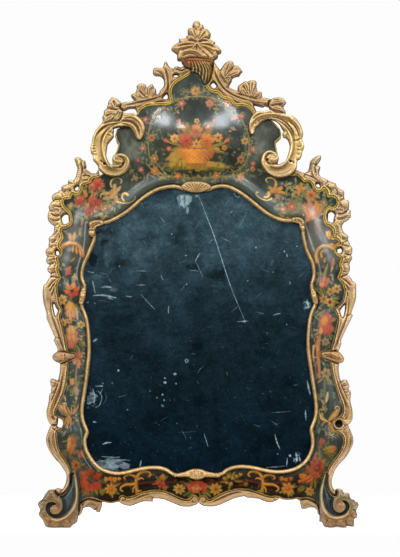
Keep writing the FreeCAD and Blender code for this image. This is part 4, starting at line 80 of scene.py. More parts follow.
# outlines in layout units
PIECES = {
    "finial_leaf": pts("214.4,59.5 217.4,57.5 218.2,55.5 218.5,53.5 220.5,52.8 221.4,51.5 221.2,49.5 217.5,45.1 215.5,43.5 215.1,41.5 214.5,40.9 210.3,38.5 210.1,37.5 210.9,33.5 209.9,31.5 206.5,27.8 204.3,27.5 203.2,24.5 202.5,23.9 200.5,23.5 199.5,21.3 197.5,20.1 196.5,20.2 193.5,21.7 192.3,25.5 192.5,26.6 189.5,27.4 188.1,28.5 187.6,30.5 187.9,34.5 186.4,35.5 185.7,37.5 179.5,38.1 179,38.5 178.5,41.7 174.1,44.5 171.3,48.5 172.5,50.3 176.8,53.5 177,58.5 178.5,60.2 181.5,60.4 185,60.2 190,58.6 198,58.8 206,59.8 212,60.6"),
    "fluted_neck": pts("181.5,60.4 181.8,62.5 183.5,64.5 183.5,65.5 186.5,67.5 190,69 191,72.5 194,72.8 197.5,74 200,77 202,81 203.5,85 206,85 208.3,82 210.5,77.5 211.8,72 212.6,66 213.3,61.5 212,60.6 206,59.8 198,58.8 190,58.6 185,60.2"),
    "crest_branch_left": pts("190,69 186.5,67.5 183.5,65.5 180.5,66.7 178.5,65.8 175.5,65.7 173.5,67.7 172.5,67.7 170.2,66.5 168.5,64.9 166.7,61.5 165.5,60.5 163.9,62.5 162.5,66.7 155.5,66.9 153.3,68.5 152.8,70.5 153.1,73.5 155.5,75.2 159.8,75.5 162.5,77.4 163.7,79.5 163.9,82.5 163.6,85.5 159.7,90.5 159.5,91.7 158.5,93 157.5,93.6 156.5,93.5 155.9,88.5 154.2,87.5 153.6,85.5 152.5,83.8 150.5,83.8 147.8,86.5 146.5,86.5 145.8,84.5 143.5,82.8 140.5,83 138.5,83.7 136.5,85.5 136.7,87.5 135.7,91.5 134.4,92.5 132.5,93 131,94.5 131.4,96.5 133.7,99.5 133.4,100.5 129.5,101.2 126.5,101.2 121.5,102.6 119.8,106.5 121.2,109 124.1,110.5 128.5,108.5 133.5,108.1 135,108.5 136.3,110.8 137,114 138.5,111.3 141,108.6 145,106.2 150,104.8 157,104.3 163,104.2 168,103.8 171.5,102 171.8,99.5 170.6,96 170.3,92 171,88.5 172.8,85 176,81.8 181,79 186.5,75.5 191,72.5"),
    "ivy_leaf_left": pts("121.5,102.6 116.5,97.8 114.5,96.9 112.5,96.6 110.8,97.5 110.5,98.5 108,101.5 107.7,104.5 106.8,106.5 107,107.5 103.8,110.5 103.5,114.2 102,116.5 102.7,119.5 101.5,124.5 106,124 112,122.5 118,122 121,119.5 122.6,115 123.3,111.5 121.2,109 119.8,106.5"),
    "c_scroll_left": pts("101.5,124.5 96.9,129.5 94.1,134.5 92.8,137.5 91.7,144.5 91,145.5 90.5,149.5 91,153.5 92.7,155.5 93,159.5 93.7,161.5 97.5,165.7 98.3,168.5 98.4,169.5 100.2,171.8 103,174 107,176.2 112,177.5 118,177.3 124,175 128.5,170.5 130.3,164.5 129.3,158.8 125.5,155 120.5,153.8 116.5,154.6 114.7,155.5 112.8,157.5 112.3,161.5 112.8,164.5 111.5,165.4 109.5,164 107.4,159.5 106.4,155.5 107.5,146.5 108.2,144.5 113.8,137.5 113.4,134.5 114.2,131.5 113.5,129.5 116.5,128.6 120.5,127.8 126,127.5 130,129 132.5,132 134.5,136 136,139.5 138.5,141 141,140.5 143.5,137 145.2,131 144.8,126.5 142.5,121.5 138.5,117.5 135,115 133.5,113.6 130.5,113.7 124.5,113.6 123.3,111.5 122.6,115 121,119.5 118,122 112,122.5 106,124"),
    "upper_rim_left": pts("98.4,169.5 96.5,172.2 95.5,172.8 91.2,172.5 86.3,168.5 86.4,165.5 85.4,162.5 85.6,161.5 84.5,159.9 82.5,159.8 79.5,156.9 77.5,156.7 75.5,157.3 74.5,158.5 74.4,159.5 76.1,163.5 76,164.5 77.4,168.5 75.6,176.5 74.6,178.5 73.5,179.7 72.5,179.9 69.5,179.5 68.5,180 67.8,181.5 67.7,183.5 62.4,185.5 61.2,187.5 61.5,189.6 59.5,189.7 58.1,191.5 54.5,193 52.1,195.5 51.9,198.5 52.7,200.5 51.5,201.5 49,205.5 48.7,207.5 49.2,210.5 47.9,213.5 48,219.5 51.4,223.5 54.1,225.5 53.9,231.5 53.7,232.5 51.5,235.4 50.5,235.8 49,237.5 48.7,239.5 49.2,241.5 48.5,244.5 48.7,246.5 46.2,249.5 45.6,251.5 45.9,253.5 47.5,256.5 46.8,257.5 46.2,260.5 46.9,262.5 49.8,264.5 47.7,267.5 47.7,270.5 50.7,273.5 50.3,275.5 50.6,276.5 60,278 58,273 57.4,269 58.4,266 58.4,263 56.9,260 57.6,258 60.4,255.8 61.5,253 60.8,250 58.9,247.3 58.8,245 60,242 62,239 62,236 60.6,233 60.6,230 62.5,228 66.5,227 70,225 71.5,221 71,216 69.5,212.5 67,210 64,207 62.5,204 62.6,201 64,199 67,198.2 70,197.8 70.6,195 72,193.2 74,193.8 77,194.2 79.5,192.8 81,190 81.2,187 83,184.5 86.5,183.3 89.5,182.3 90.5,180 92,178 95,177 99.5,175.8"),
    "stalk_left": pts("50.6,276.5 46.5,282.8 44,284.5 42.9,289.5 43,296.5 43.9,303.5 46.8,313.5 47,318.5 54.6,335.5 55.2,337.5 54.3,338.5 54.2,340.5 56.6,345.5 57.9,349.5 57.8,351.5 67,352 66,345 64.8,338 63.2,331 61.6,324 60.2,319 60.3,315.5 61.5,312 61.5,309 60.2,306 58.8,302 58.3,297 57,292 56.6,287 57.7,282 60,278"),
    "knot_leaf_left": pts("57.8,351.5 53.4,354.5 52.8,355.5 52.8,357.5 54.5,360.1 60,362.5 60.6,363.5 67.6,361.6 70,360.6 74,358.8 76.2,356.5 75.3,354 71,352.8 67,352"),
    "lower_rim_left": pts("60.6,363.5 60.6,365.5 59.9,372.5 58.5,378.9 57.5,379.8 53.5,378 52.5,378.2 50.8,379.5 50.8,383.5 51.9,386.5 51.2,389.5 51.4,391.5 51.2,392.5 50.1,393.5 49.7,394.5 48.8,402.5 47.1,409.5 47,413.5 47.9,418.5 50,422.5 51.7,424.5 54,424.6 57.3,424.5 58.3,421.5 58.5,418.5 58.6,416.7 55.6,414.3 55.9,410 58,405 60.3,400 62,396.5 63.6,392.5 65.2,387 66.6,380 67.4,373 68,366 67.6,361.6"),
    "s_rim_left": pts("51.7,424.5 49,429.5 46.7,436.5 46.7,441.5 48.1,446.5 50.9,451.5 57,459.5 58.5,460.6 61.6,464.5 66.5,472.5 66.9,478.5 65.6,483.5 63.5,487.5 61.5,487.7 58.5,487 55.5,488.6 56.2,491.8 59,494.6 63,493.6 67,490 70.2,485 71.3,479 71,472 69,466 65.5,460 62,455 59.5,450 58,446 57.2,440 56.6,434 57.2,430.6 60.3,429.3 61.5,427 58.6,426.5 57.3,424.5 54,424.6"),
    "foot_left": pts("55.5,488.6 50.5,488.9 48.5,490 42.5,498.5 41.5,498.9 39,501.5 38.6,504.5 40.6,508.5 39.3,512.5 39.6,514.5 42.5,517.9 45.5,523.8 47.5,525.3 51.5,526.1 53.5,527.1 57.5,527.1 59.5,526.4 62.5,526.3 63.5,526.3 65.5,527.7 66.5,527.7 70.5,526.1 72.5,523.9 77.3,520.5 78.9,514.5 79.3,508 79.8,501 79.7,494 79.2,487 78,480 76.6,474 75.3,471.5 73,472.3 71,472 71.3,479 70.2,485 67,490 63,493.6 59,494.6 56.2,491.8"),
    "crescent_left": pts("78.9,514.5 82.3,511.5 83.5,507.5 84.8,506.5 89.5,505.5 94.5,508.8 95.5,508.6 96.5,509.9 98.5,511.1 100.2,510.5 102.2,505.5 102.5,500.5 98.5,499.3 95,498 90,497.3 86,498 83,499.8 81,501.3 79.8,501 79.3,508"),
    "bottom_rim_left": pts("119.5,500.4 121.5,502.2 126.5,504.1 132.5,504.2 142.5,500.4 152.5,500.3 153.1,499.5 153.5,497.4 158.5,497.3 165.1,498.5 176.5,503.2 182.5,505.2 191.5,505.2 192.5,504.4 195.5,503.9 197.5,502.2 198.3,501.5 198.5,500.4 197.5,497.2 195,495.2 192.3,496 190.5,498.5 187,499.4 182,498.3 176,495.8 170,493 163,490.8 156,490 150,490.6 143,492.3 137,494.6 132,496.3 127,496.9 123,495 120.3,496.5"),
    "bottom_rim_right": pts("198.5,500.4 199.9,502.5 202.5,504.1 206.5,505.1 213.5,505.1 217.5,504.2 223.5,502 233.2,497.5 242.5,495.3 245.5,495.5 247.5,496.5 251.5,496.4 253.5,497.1 258.4,497.5 264.5,500.1 269.5,501.1 274.5,500 279.5,496.9 275,495.8 270,496.2 265,495 259,492.8 253,490.6 247,489.1 240,488.8 233,489.6 226,491.6 219,494.8 214,497.6 210,499.4 207,498.5 205,496 202,495.6 199.8,497"),
    "crescent_right": pts("296.5,497.5 299.1,499.5 299.6,500.5 300.2,504.5 301.5,507.9 302.5,508.2 303.5,507.5 304.5,507.5 305.5,507.8 308.5,506.3 313.8,506.5 316.5,509 317.1,512.5 318.5,513.4 319.5,513.5 318.6,508 318,503 315,501 311,498.6 306,497.3 301,497.8"),
    "foot_right": pts("319.5,513.5 319.9,518.5 321.5,520.5 322.9,523.5 324.5,525.2 327.5,525.5 330.5,526.9 334.5,525.3 339.5,525.3 342.5,526.5 345.5,525.7 346.5,524.4 352.5,525 353.8,523.5 353.5,518.2 356.1,516.5 357,514.5 355.7,509.5 357.9,505.5 358,503.5 357.2,501.5 356.5,500.9 354.5,500 353.5,498.5 351.5,498.1 349.7,496.5 348.5,492.5 347.5,491.9 343.5,491.8 341.9,489.5 339.5,487.8 336.5,487.7 335.5,488.6 336.2,491.8 334.8,494.8 331.5,494 328.2,490 326.4,484 326.3,478 327,472.3 325.5,473 324,472.5 323.3,475 321.8,479.5 319.8,486 318.3,492 317.9,498 318,503 318.6,508"),
    "s_rim_right": pts("335.5,488.6 334.1,488.5 332.5,487 331.4,484.5 331.3,482.5 331.5,478.1 334.5,469.3 336.5,466.2 340.5,461.2 344.2,457.5 348.7,451.5 352.1,444.5 352.9,440.5 352.3,435.5 350.4,430.5 347.4,424.5 344.5,424.8 341.8,426 338.5,428.5 334.5,430.5 338,431.6 341.4,434 343.4,438 343.2,444 341.3,449 338,454.5 333.5,460.5 329.5,466.5 327,472.3 326.3,478 326.4,484 328.2,490 331.5,494 334.8,494.8 336.2,491.8"),
    "lower_rim_right": pts("347.4,424.5 351,420.5 352.2,417.5 352,409.5 350.4,402.5 350,398.5 350.8,391.5 348.2,388.5 349,385.5 346.5,379.7 344.5,378.9 342.5,379.4 341.5,380.4 340.5,379.9 339.3,376.5 338.3,368.5 338.5,363.4 330.8,361.5 331.2,366 332.2,372 334,380 336.5,388 338.8,395 340.3,399.5 341.8,403.5 343,408 342.8,413 340.5,416.8 341.8,419.5 342.6,422.5 341.8,426 344.5,424.8"),
    "knot_leaf_right": pts("338.5,363.4 339.5,362.5 342.5,361.6 343.7,359.5 343,356.5 338.5,351.5 330.8,351 325,350.8 321,352.3 320.3,355 322.5,358 326.5,360 330.8,361.5"),
    "stalk_right": pts("338.5,351.5 338.4,350.5 341.2,343.5 341.5,338.1 352,316.5 352.2,314.5 351.3,312.5 355,301.5 356,295.5 356.1,285.5 355.3,282.5 352.5,280.6 351.3,278.5 346.8,274.5 338.3,278.5 341,281 343.5,284.6 344.8,290 344.4,296 343,301 340,305 336.8,307.7 334.8,309.7 336.2,312.3 337.6,316 338,321 337,327 335.5,334 333.8,341 332,347 330.8,351"),
    "upper_rim_right": pts("346.8,274.5 349,271.5 349.7,269.5 349.9,266.5 349.4,264.5 350.1,261.5 352,258.5 351.9,256.5 351,254.5 352.1,252.5 352.3,248.5 352,247.5 349.8,244.5 349.7,242.5 348.1,240.5 348.4,237.5 347.9,235.5 343.5,231.5 342.1,227.5 342.4,224.5 344.5,221.7 348.5,219.3 349.6,217.5 351,216.5 350.5,212.5 351,210.5 349.5,209.5 348.9,208.5 349.3,204.5 348.9,201.5 347.5,199.5 345.5,198.8 344.3,197.5 344.3,192.5 343.6,190.5 337.5,186.8 335.5,182.8 333.5,182.3 330.5,180.7 328.5,180.7 327.5,179.1 322.6,177.5 320.1,175.5 319.3,173.5 319.5,170.9 320.5,167.5 320.3,166.5 319.5,165.6 317.5,165.2 317.1,164.5 319.5,161.5 321,158.5 321.3,156.5 320.5,155 318.5,155.1 313.5,157.8 310.8,160.5 309.9,162.5 308.6,169.5 306.5,171.7 304.5,172.6 303.5,171.9 300.8,171.5 296.5,169.7 292,175 296,174.2 300,176.6 303,179.5 304.5,181.3 307,180.5 310,181.6 313,184.6 314,188 316,190.4 319,191.2 322,190 323,188.2 325,188.2 327,190.6 328,194 328.2,196.4 330,196 334,196.2 337,199 338,203 336,207 333,208.6 330,208.2 328.4,207.8 326,210.2 324.6,215 324.6,220 326.6,224.6 330,225.7 333.4,229 334.4,233 333.6,236.4 332.6,239 336,238.2 339.4,241 339.8,244 336.6,245 335,249 335.6,252.6 338.4,255.6 341.4,257.6 342,260 340.6,263 340.2,266.3 341.4,269 341,272 339.6,275 338.3,278.5"),
    "c_scroll_right": pts("296.5,169.7 297.4,161.5 300.2,159.5 301.8,155.5 302.5,151.5 304,148.5 303.8,144.5 302.1,140.5 303.1,135.5 303.1,133.5 301,126.5 298.8,122.5 295.5,118.6 291.5,115.9 287.5,115.8 284.4,114.5 280,113.6 275,112.8 270.4,110.5 264.5,111.6 257.5,111.9 254.3,113.8 251,118.5 249,124 248.8,129 250,133.5 252.5,135.3 254.5,133 255.5,129.5 258,126.8 260.5,124 265,121 270,120.3 275.5,121.8 279.5,125 281.5,128.8 283.6,132 282.3,134.5 283.5,138.2 285.5,138.5 287.5,140.4 288.6,142.5 289.6,148.5 286.6,159.5 284.5,162.5 282.2,163.5 279.5,164.7 276.6,164.5 278,162.5 278.7,159.5 277.7,155.5 275,152.5 270.5,151 266,151.8 262.5,155.5 260.8,161 261.8,167 266,172.8 272,177 279,178.8 286,177.8 292,175"),
    "ivy_leaf_right": pts("284.4,114.5 285.5,113.5 285.9,111.5 283.6,106.5 286.4,102.5 286,101.5 283.5,98.4 280.5,96.7 275.5,96.8 271.5,98.7 269.2,101.5 268.4,104.2 268.6,106.8 270.4,109.5 270.4,110.5 275,112.8 280,113.6"),
    "crest_branch_right": pts("271.5,98.7 263,96.5 262.2,95.5 262.1,92.5 261.5,91.5 260.5,90.8 258.5,90.5 257.3,89.5 256.6,85.5 256.8,82.5 255.9,80.5 254.5,79.6 250.5,79.7 247.5,81 246.5,80.6 244.5,80.9 238.2,85.5 237.5,89.7 235.2,89.5 230.9,87.5 229.2,85.5 231.9,80.5 232.5,78 235.5,76.3 238.5,75.9 239.5,75.2 241.1,72.5 242.3,71.5 242,69.5 237.5,64.8 234.5,64.6 233.1,61.5 231.5,60 230.5,59.9 227.5,61 224.5,63 220.5,68.5 218.5,67.2 215.2,62.5 214.4,59.5 213.3,61.5 212.6,66 211.8,72 210.5,77.5 208.3,82 206,85 208,88 210.5,90.8 214,92 217,92.2 219.5,93.6 221.5,96.5 225,98.1 229,98.7 232,101.2 234.5,104.4 237,105.4 241,105 245,105.5 249,107.3 252.3,110.6 254.3,113.8 256.5,111.4 254.1,105.5 256.5,105.2 262.5,106.8 265.5,105.5 268,106.5 268.4,104.2 269.2,101.5"),
}
PIERCED = {
    "crest_branch_left": [pts("166.4,93.5 167.5,95.2 167.6,97.5 167,98.5 165.5,98.6 162.7,97.5"), pts("174.3,74.5 175.5,74.1 177.7,74.5 178.4,75.5 176.5,76.3 173.5,76.6 173.5,75.5")],
    "crest_branch_right": [pts("212.4,82.5 213.5,82.1 214.5,82.5 216.5,85.3 215.5,87 214.5,87.7 213.5,87.7 211.1,85.5 210.7,84.5")],
    "upper_rim_left": [pts("76.1,186.5 77.5,185.8 78.3,186.5 78.6,187.5 78.2,189.5 77.5,190.2 75.5,189.8 75,187.5"), pts("64.3,214.5 65.5,214.1 67.5,214.3 68.7,215.5 69.5,217.3 69.8,220.5 67.5,222.9 66.5,223.6 63.3,223.5 61.8,218.5 62.3,216.5"), pts("56.4,250.5 57.5,250.3 59.5,252 59.9,253.5 59.6,254.5 58.5,254.8 56.4,254.5 56.1,252.5")],
    "upper_rim_right": [pts("317.1,183.5 318.5,183.3 319.8,184.5 320,185.5 319.5,186.8 318.5,187.2 316.5,186 316.3,184.5"), pts("331.3,211.5 333.5,212.5 334.7,214.5 333.5,218.5 333.5,221.5 331.5,222.4 328.5,220.9 327.5,219.7 327.2,217.5 326.7,216.5 327.3,214.5 328.5,213.1 329.5,212.2"), pts("337.6,248.5 339.5,248.3 340.5,247.7 341.5,248.6 342,250.5 341.7,251.5 340.5,252.7 337.2,252.5 336.3,250.5 336.4,249.5")],
    "stalk_left": [pts("53.5,303.5 54.5,303.6 55.7,306.5 57.8,309.5 58.1,310.5 56.8,313.5 56.5,315.3 55.5,315.1 53.5,306.9")],
    "stalk_right": [pts("344.4,304.5 344.7,304.5 344.8,305.5 344.6,309.5 343.5,314.9 342.5,317 342.3,316.5 341.5,315.7 340.5,312.5 340.4,309.5")],
}
LQ = pts("191,72.5 186.5,75.5 181,79 176,81.8 172.8,85 171,88.5 170.3,92 170.6,96 171.8,99.5 171.5,102 168,103.8 163,104.2 157,104.3 150,104.8 145,106.2 141,108.6 138.5,111.3 137,114 131,119.5 124,125 119.5,128.3 117,129.5 115.9,132.5 115.1,136.5 115.7,137.5 116.3,141.5 118.7,144.5 116.5,151.5 114.7,155.5 114.5,161 111.5,167.5 106,172 99.5,175.8 95,177 92,178 90.5,180 89.5,182.3 86.5,183.3 83,184.5 81.2,187 81,190 79.5,192.8 77,194.2 74,193.8 72,193.2 70.6,195 70,197.8 67,198.2 64,199 62.6,201 62.5,204 64,207 67,210 69.5,212.5 71,216 71.5,221 70,225 66.5,227 62.5,228 60.6,230 60.6,233 62,236 62,239 60,242 58.8,245 58.9,247.3 60.8,250 61.5,253 60.4,255.8 57.6,258 56.9,260 58.4,263 58.4,266 57.4,269 58,273 60,278 57.7,282 56.6,287 57,292 58.3,297 58.8,302 60.2,306 61.5,309 61.5,312 60.3,315.5 60.2,319 61.6,324 63.2,331 64.8,338 66,345 67,352 71,352.8 75.3,354 76.2,356.5 74,358.8 70,360.6 67.6,361.6 68,366 67.4,373 66.6,380 65.2,387 63.6,392.5 62,396.5 60.3,400 58,405 55.9,410 55.6,414.3 58.6,416.7 61.8,418.6 63.3,421 63.4,424 62.3,427 60.3,429.3 57.2,430.6 56.6,434 57.2,440 58,446 59.5,450 62,455 65.5,460 69,466 71,472 73,472.3 75.3,471.5 76.6,474 78,480 79.2,487 79.7,494 79.8,501 81,501.3 83,499.8 86,498 90,497.3 95,498 98.5,499.3 102.5,500.5 110.5,502.1 119.5,500.4 120.3,496.5 123,495 127,496.9 132,496.3 137,494.6 143,492.3 150,490.6 156,490 163,490.8 170,493 176,495.8 182,498.3 187,499.4 190.5,498.5 192.3,496 195,495.2 197.5,497.2 198.5,500.4 199.8,497 202,495.6 205,496 207,498.5 210,499.4 214,497.6 219,494.8 226,491.6 233,489.6 240,488.8 247,489.1 253,490.6 259,492.8 265,495 270,496.2 275,495.8 279.5,496.9 282.5,498.2 287.5,498.7 292.5,498.3 296.5,497.5 301,497.8 306,497.3 311,498.6 315,501 318,503 317.9,498 318.3,492 319.8,486 321.8,479.5 323.3,475 324,472.5 325.5,473 327,472.3 329.5,466.5 333.5,460.5 338,454.5 341.3,449 343.2,444 343.4,438 341.4,434 338,431.6 334.5,430.5 332.8,427.5 332.6,423.5 334,420.3 337,418.6 340.5,416.8 342.8,413 343,408 341.8,403.5 340.3,399.5 338.8,395 336.5,388 334,380 332.2,372 331.2,366 330.8,361.5 326.5,360 322.5,358 320.3,355 321,352.3 325,350.8 330.8,351 332,347 333.8,341 335.5,334 337,327 338,321 337.6,316 336.2,312.3 334.8,309.7 336.8,307.7 340,305 343,301 344.4,296 344.8,290 343.5,284.6 341,281 338.3,278.5 339.6,275 341,272 341.4,269 340.2,266.3 340.6,263 342,260 341.4,257.6 338.4,255.6 335.6,252.6 335,249 336.6,245 339.8,244 339.4,241 336,238.2 332.6,239 333.6,236.4 334.4,233 333.4,229 330,225.7 326.6,224.6 324.6,220 324.6,215 326,210.2 328.4,207.8 330,208.2 333,208.6 336,207 338,203 337,199 334,196.2 330,196 328.2,196.4 328,194 327,190.6 325,188.2 323,188.2 322,190 319,191.2 316,190.4 314,188 313,184.6 310,181.6 307,180.5 304.5,181.3 303,179.5 300,176.6 296,174.2 292,175 285,172.5 280.5,168 277.5,163.5 278.7,159.5 276.2,146.5 276,142.5 281.1,137.5 281.3,134 280,129.5 277.3,126 273,121.5 264,117 254.3,113.8 252.3,110.6 249,107.3 245,105.5 241,105 237,105.4 234.5,104.4 232,101.2 229,98.7 225,98.1 221.5,96.5 219.5,93.6 217,92.2 214,92 210.5,90.8 208,88 206,85 203.5,85 202,81 200,77 197.5,74 194,72.8")
SC = pts("196,189 202,189.3 209,189.6 214,187.2 220,186 226,186.2 232,188 240,192.3 248,198 256,204.5 264,211 272,216 280,219.3 287,220.5 293,220.3 299,220.5 302.5,224.5 303.3,231 303.5,236 305,243 306.8,250 309.5,256 312.3,262 313.8,268 314.3,274 313.4,279.5 311.8,284 312,289 314,296 315.5,302 314.8,306.5 312.6,310.5 311,315.5 309.7,322 308.9,330 308.3,338 308.3,346 308.8,354 310,362 311.5,372 313,382 314.5,391 315.7,400 316.3,408 316,414 314.5,420 312.5,425 311.2,429.5 311.9,434 312.7,439 312.6,445 311.3,450.5 308.8,456 305,461.3 300,465.5 294,468.5 287,470.5 279,471.3 271,470.8 263,469.3 255,467.5 247,466.3 240,466 233,467 227,469.3 222.5,473 216,474.3 208,474 196.5,474.3 186,474 179,474.5 174,474 170.5,471.8 166,469 160,467.3 152,467 144,467.8 136,469.5 128,471.5 120,472.8 113,472.3 106,470.5 100,467.5 95,463 91,458 88,453 86,448.5 84.9,443 85.1,438 86.5,434 87.2,431 85.2,426 83,420 82,413 82.3,406 83.5,398 85,388 86.5,378 87.5,368 88.4,361 89,354 89,345 88.5,335 87.5,325 86,318 84,312 81.8,307.5 81.5,303 82.5,297 84,291 84.8,286.5 83.3,282.5 82,279 81.6,274 82.6,268 84.5,262 87,257 89.6,250.5 92,245 94,239.5 94,234 93,228 95.5,224 100,223 104,222.8 110,221 118,217 126,212 133,206.5 140,200.2 148,194.3 156,189.9 163,187.6 170,186.4 176,186.4 181,187.8 184,189.2 190,189.2")
GL = pts("196.01,187.8 202.06,188.1 208.75,188.39 213.62,186.05 219.9,184.8 226.2,185.01 232.46,186.89 240.63,191.28 248.73,197.04 256.76,203.57 264.7,210.02 272.55,214.93 280.33,218.14 287.08,219.3 293,219.1 299.56,219.32 303.65,223.99 304.5,230.9 304.69,235.85 306.17,242.72 307.94,249.6 310.59,255.5 313.44,261.6 314.99,267.8 315.51,274.05 314.57,279.8 313.01,284.18 313.19,288.81 315.16,295.69 316.72,301.94 315.95,306.89 313.71,310.98 312.16,315.8 310.89,322.18 310.1,330.1 309.5,338.04 309.5,345.96 309.99,353.87 311.19,361.82 312.69,371.82 314.19,381.81 315.69,390.82 316.89,399.88 317.5,407.99 317.19,414.18 315.64,420.37 313.64,425.39 312.43,429.58 313.09,433.81 313.9,438.91 313.8,445.15 312.44,450.89 309.84,456.6 305.89,462.12 300.66,466.51 294.44,469.62 287.23,471.68 279.02,472.5 270.85,471.99 262.76,470.48 254.78,468.68 246.88,467.5 240.06,467.2 233.3,468.17 227.61,470.35 223.03,474.12 216.1,475.5 207.99,475.2 196.5,475.5 186.03,475.2 178.98,475.7 173.6,475.17 169.86,472.82 165.51,470.11 159.81,468.49 152.04,468.2 144.18,468.99 136.27,470.67 128.24,472.68 120.05,474.01 112.81,473.49 105.58,471.63 99.32,468.5 94.12,463.83 90.01,458.69 86.93,453.55 84.85,448.87 83.7,443.1 83.91,437.77 85.35,433.66 85.95,431.1 84.08,426.43 81.83,420.29 80.8,413.06 81.1,405.88 82.31,397.82 83.81,387.82 85.31,377.85 86.31,367.86 87.21,360.87 87.8,353.95 87.8,345.03 87.3,335.09 86.31,325.19 84.84,318.32 82.89,312.46 80.62,307.82 80.29,302.94 81.32,296.76 82.83,290.75 83.56,286.61 82.18,282.92 80.82,279.26 80.39,273.95 81.43,267.72 83.38,261.55 85.9,256.51 88.49,250.04 90.89,244.55 92.8,239.29 92.8,234.1 91.74,227.75 94.75,222.94 99.84,221.81 103.79,221.61 109.56,219.88 117.41,215.95 125.31,211.02 132.23,205.58 139.24,199.27 147.35,193.29 155.52,188.79 162.71,186.43 169.9,185.2 176.16,185.2 181.42,186.67 184.27,188 189.98,188")
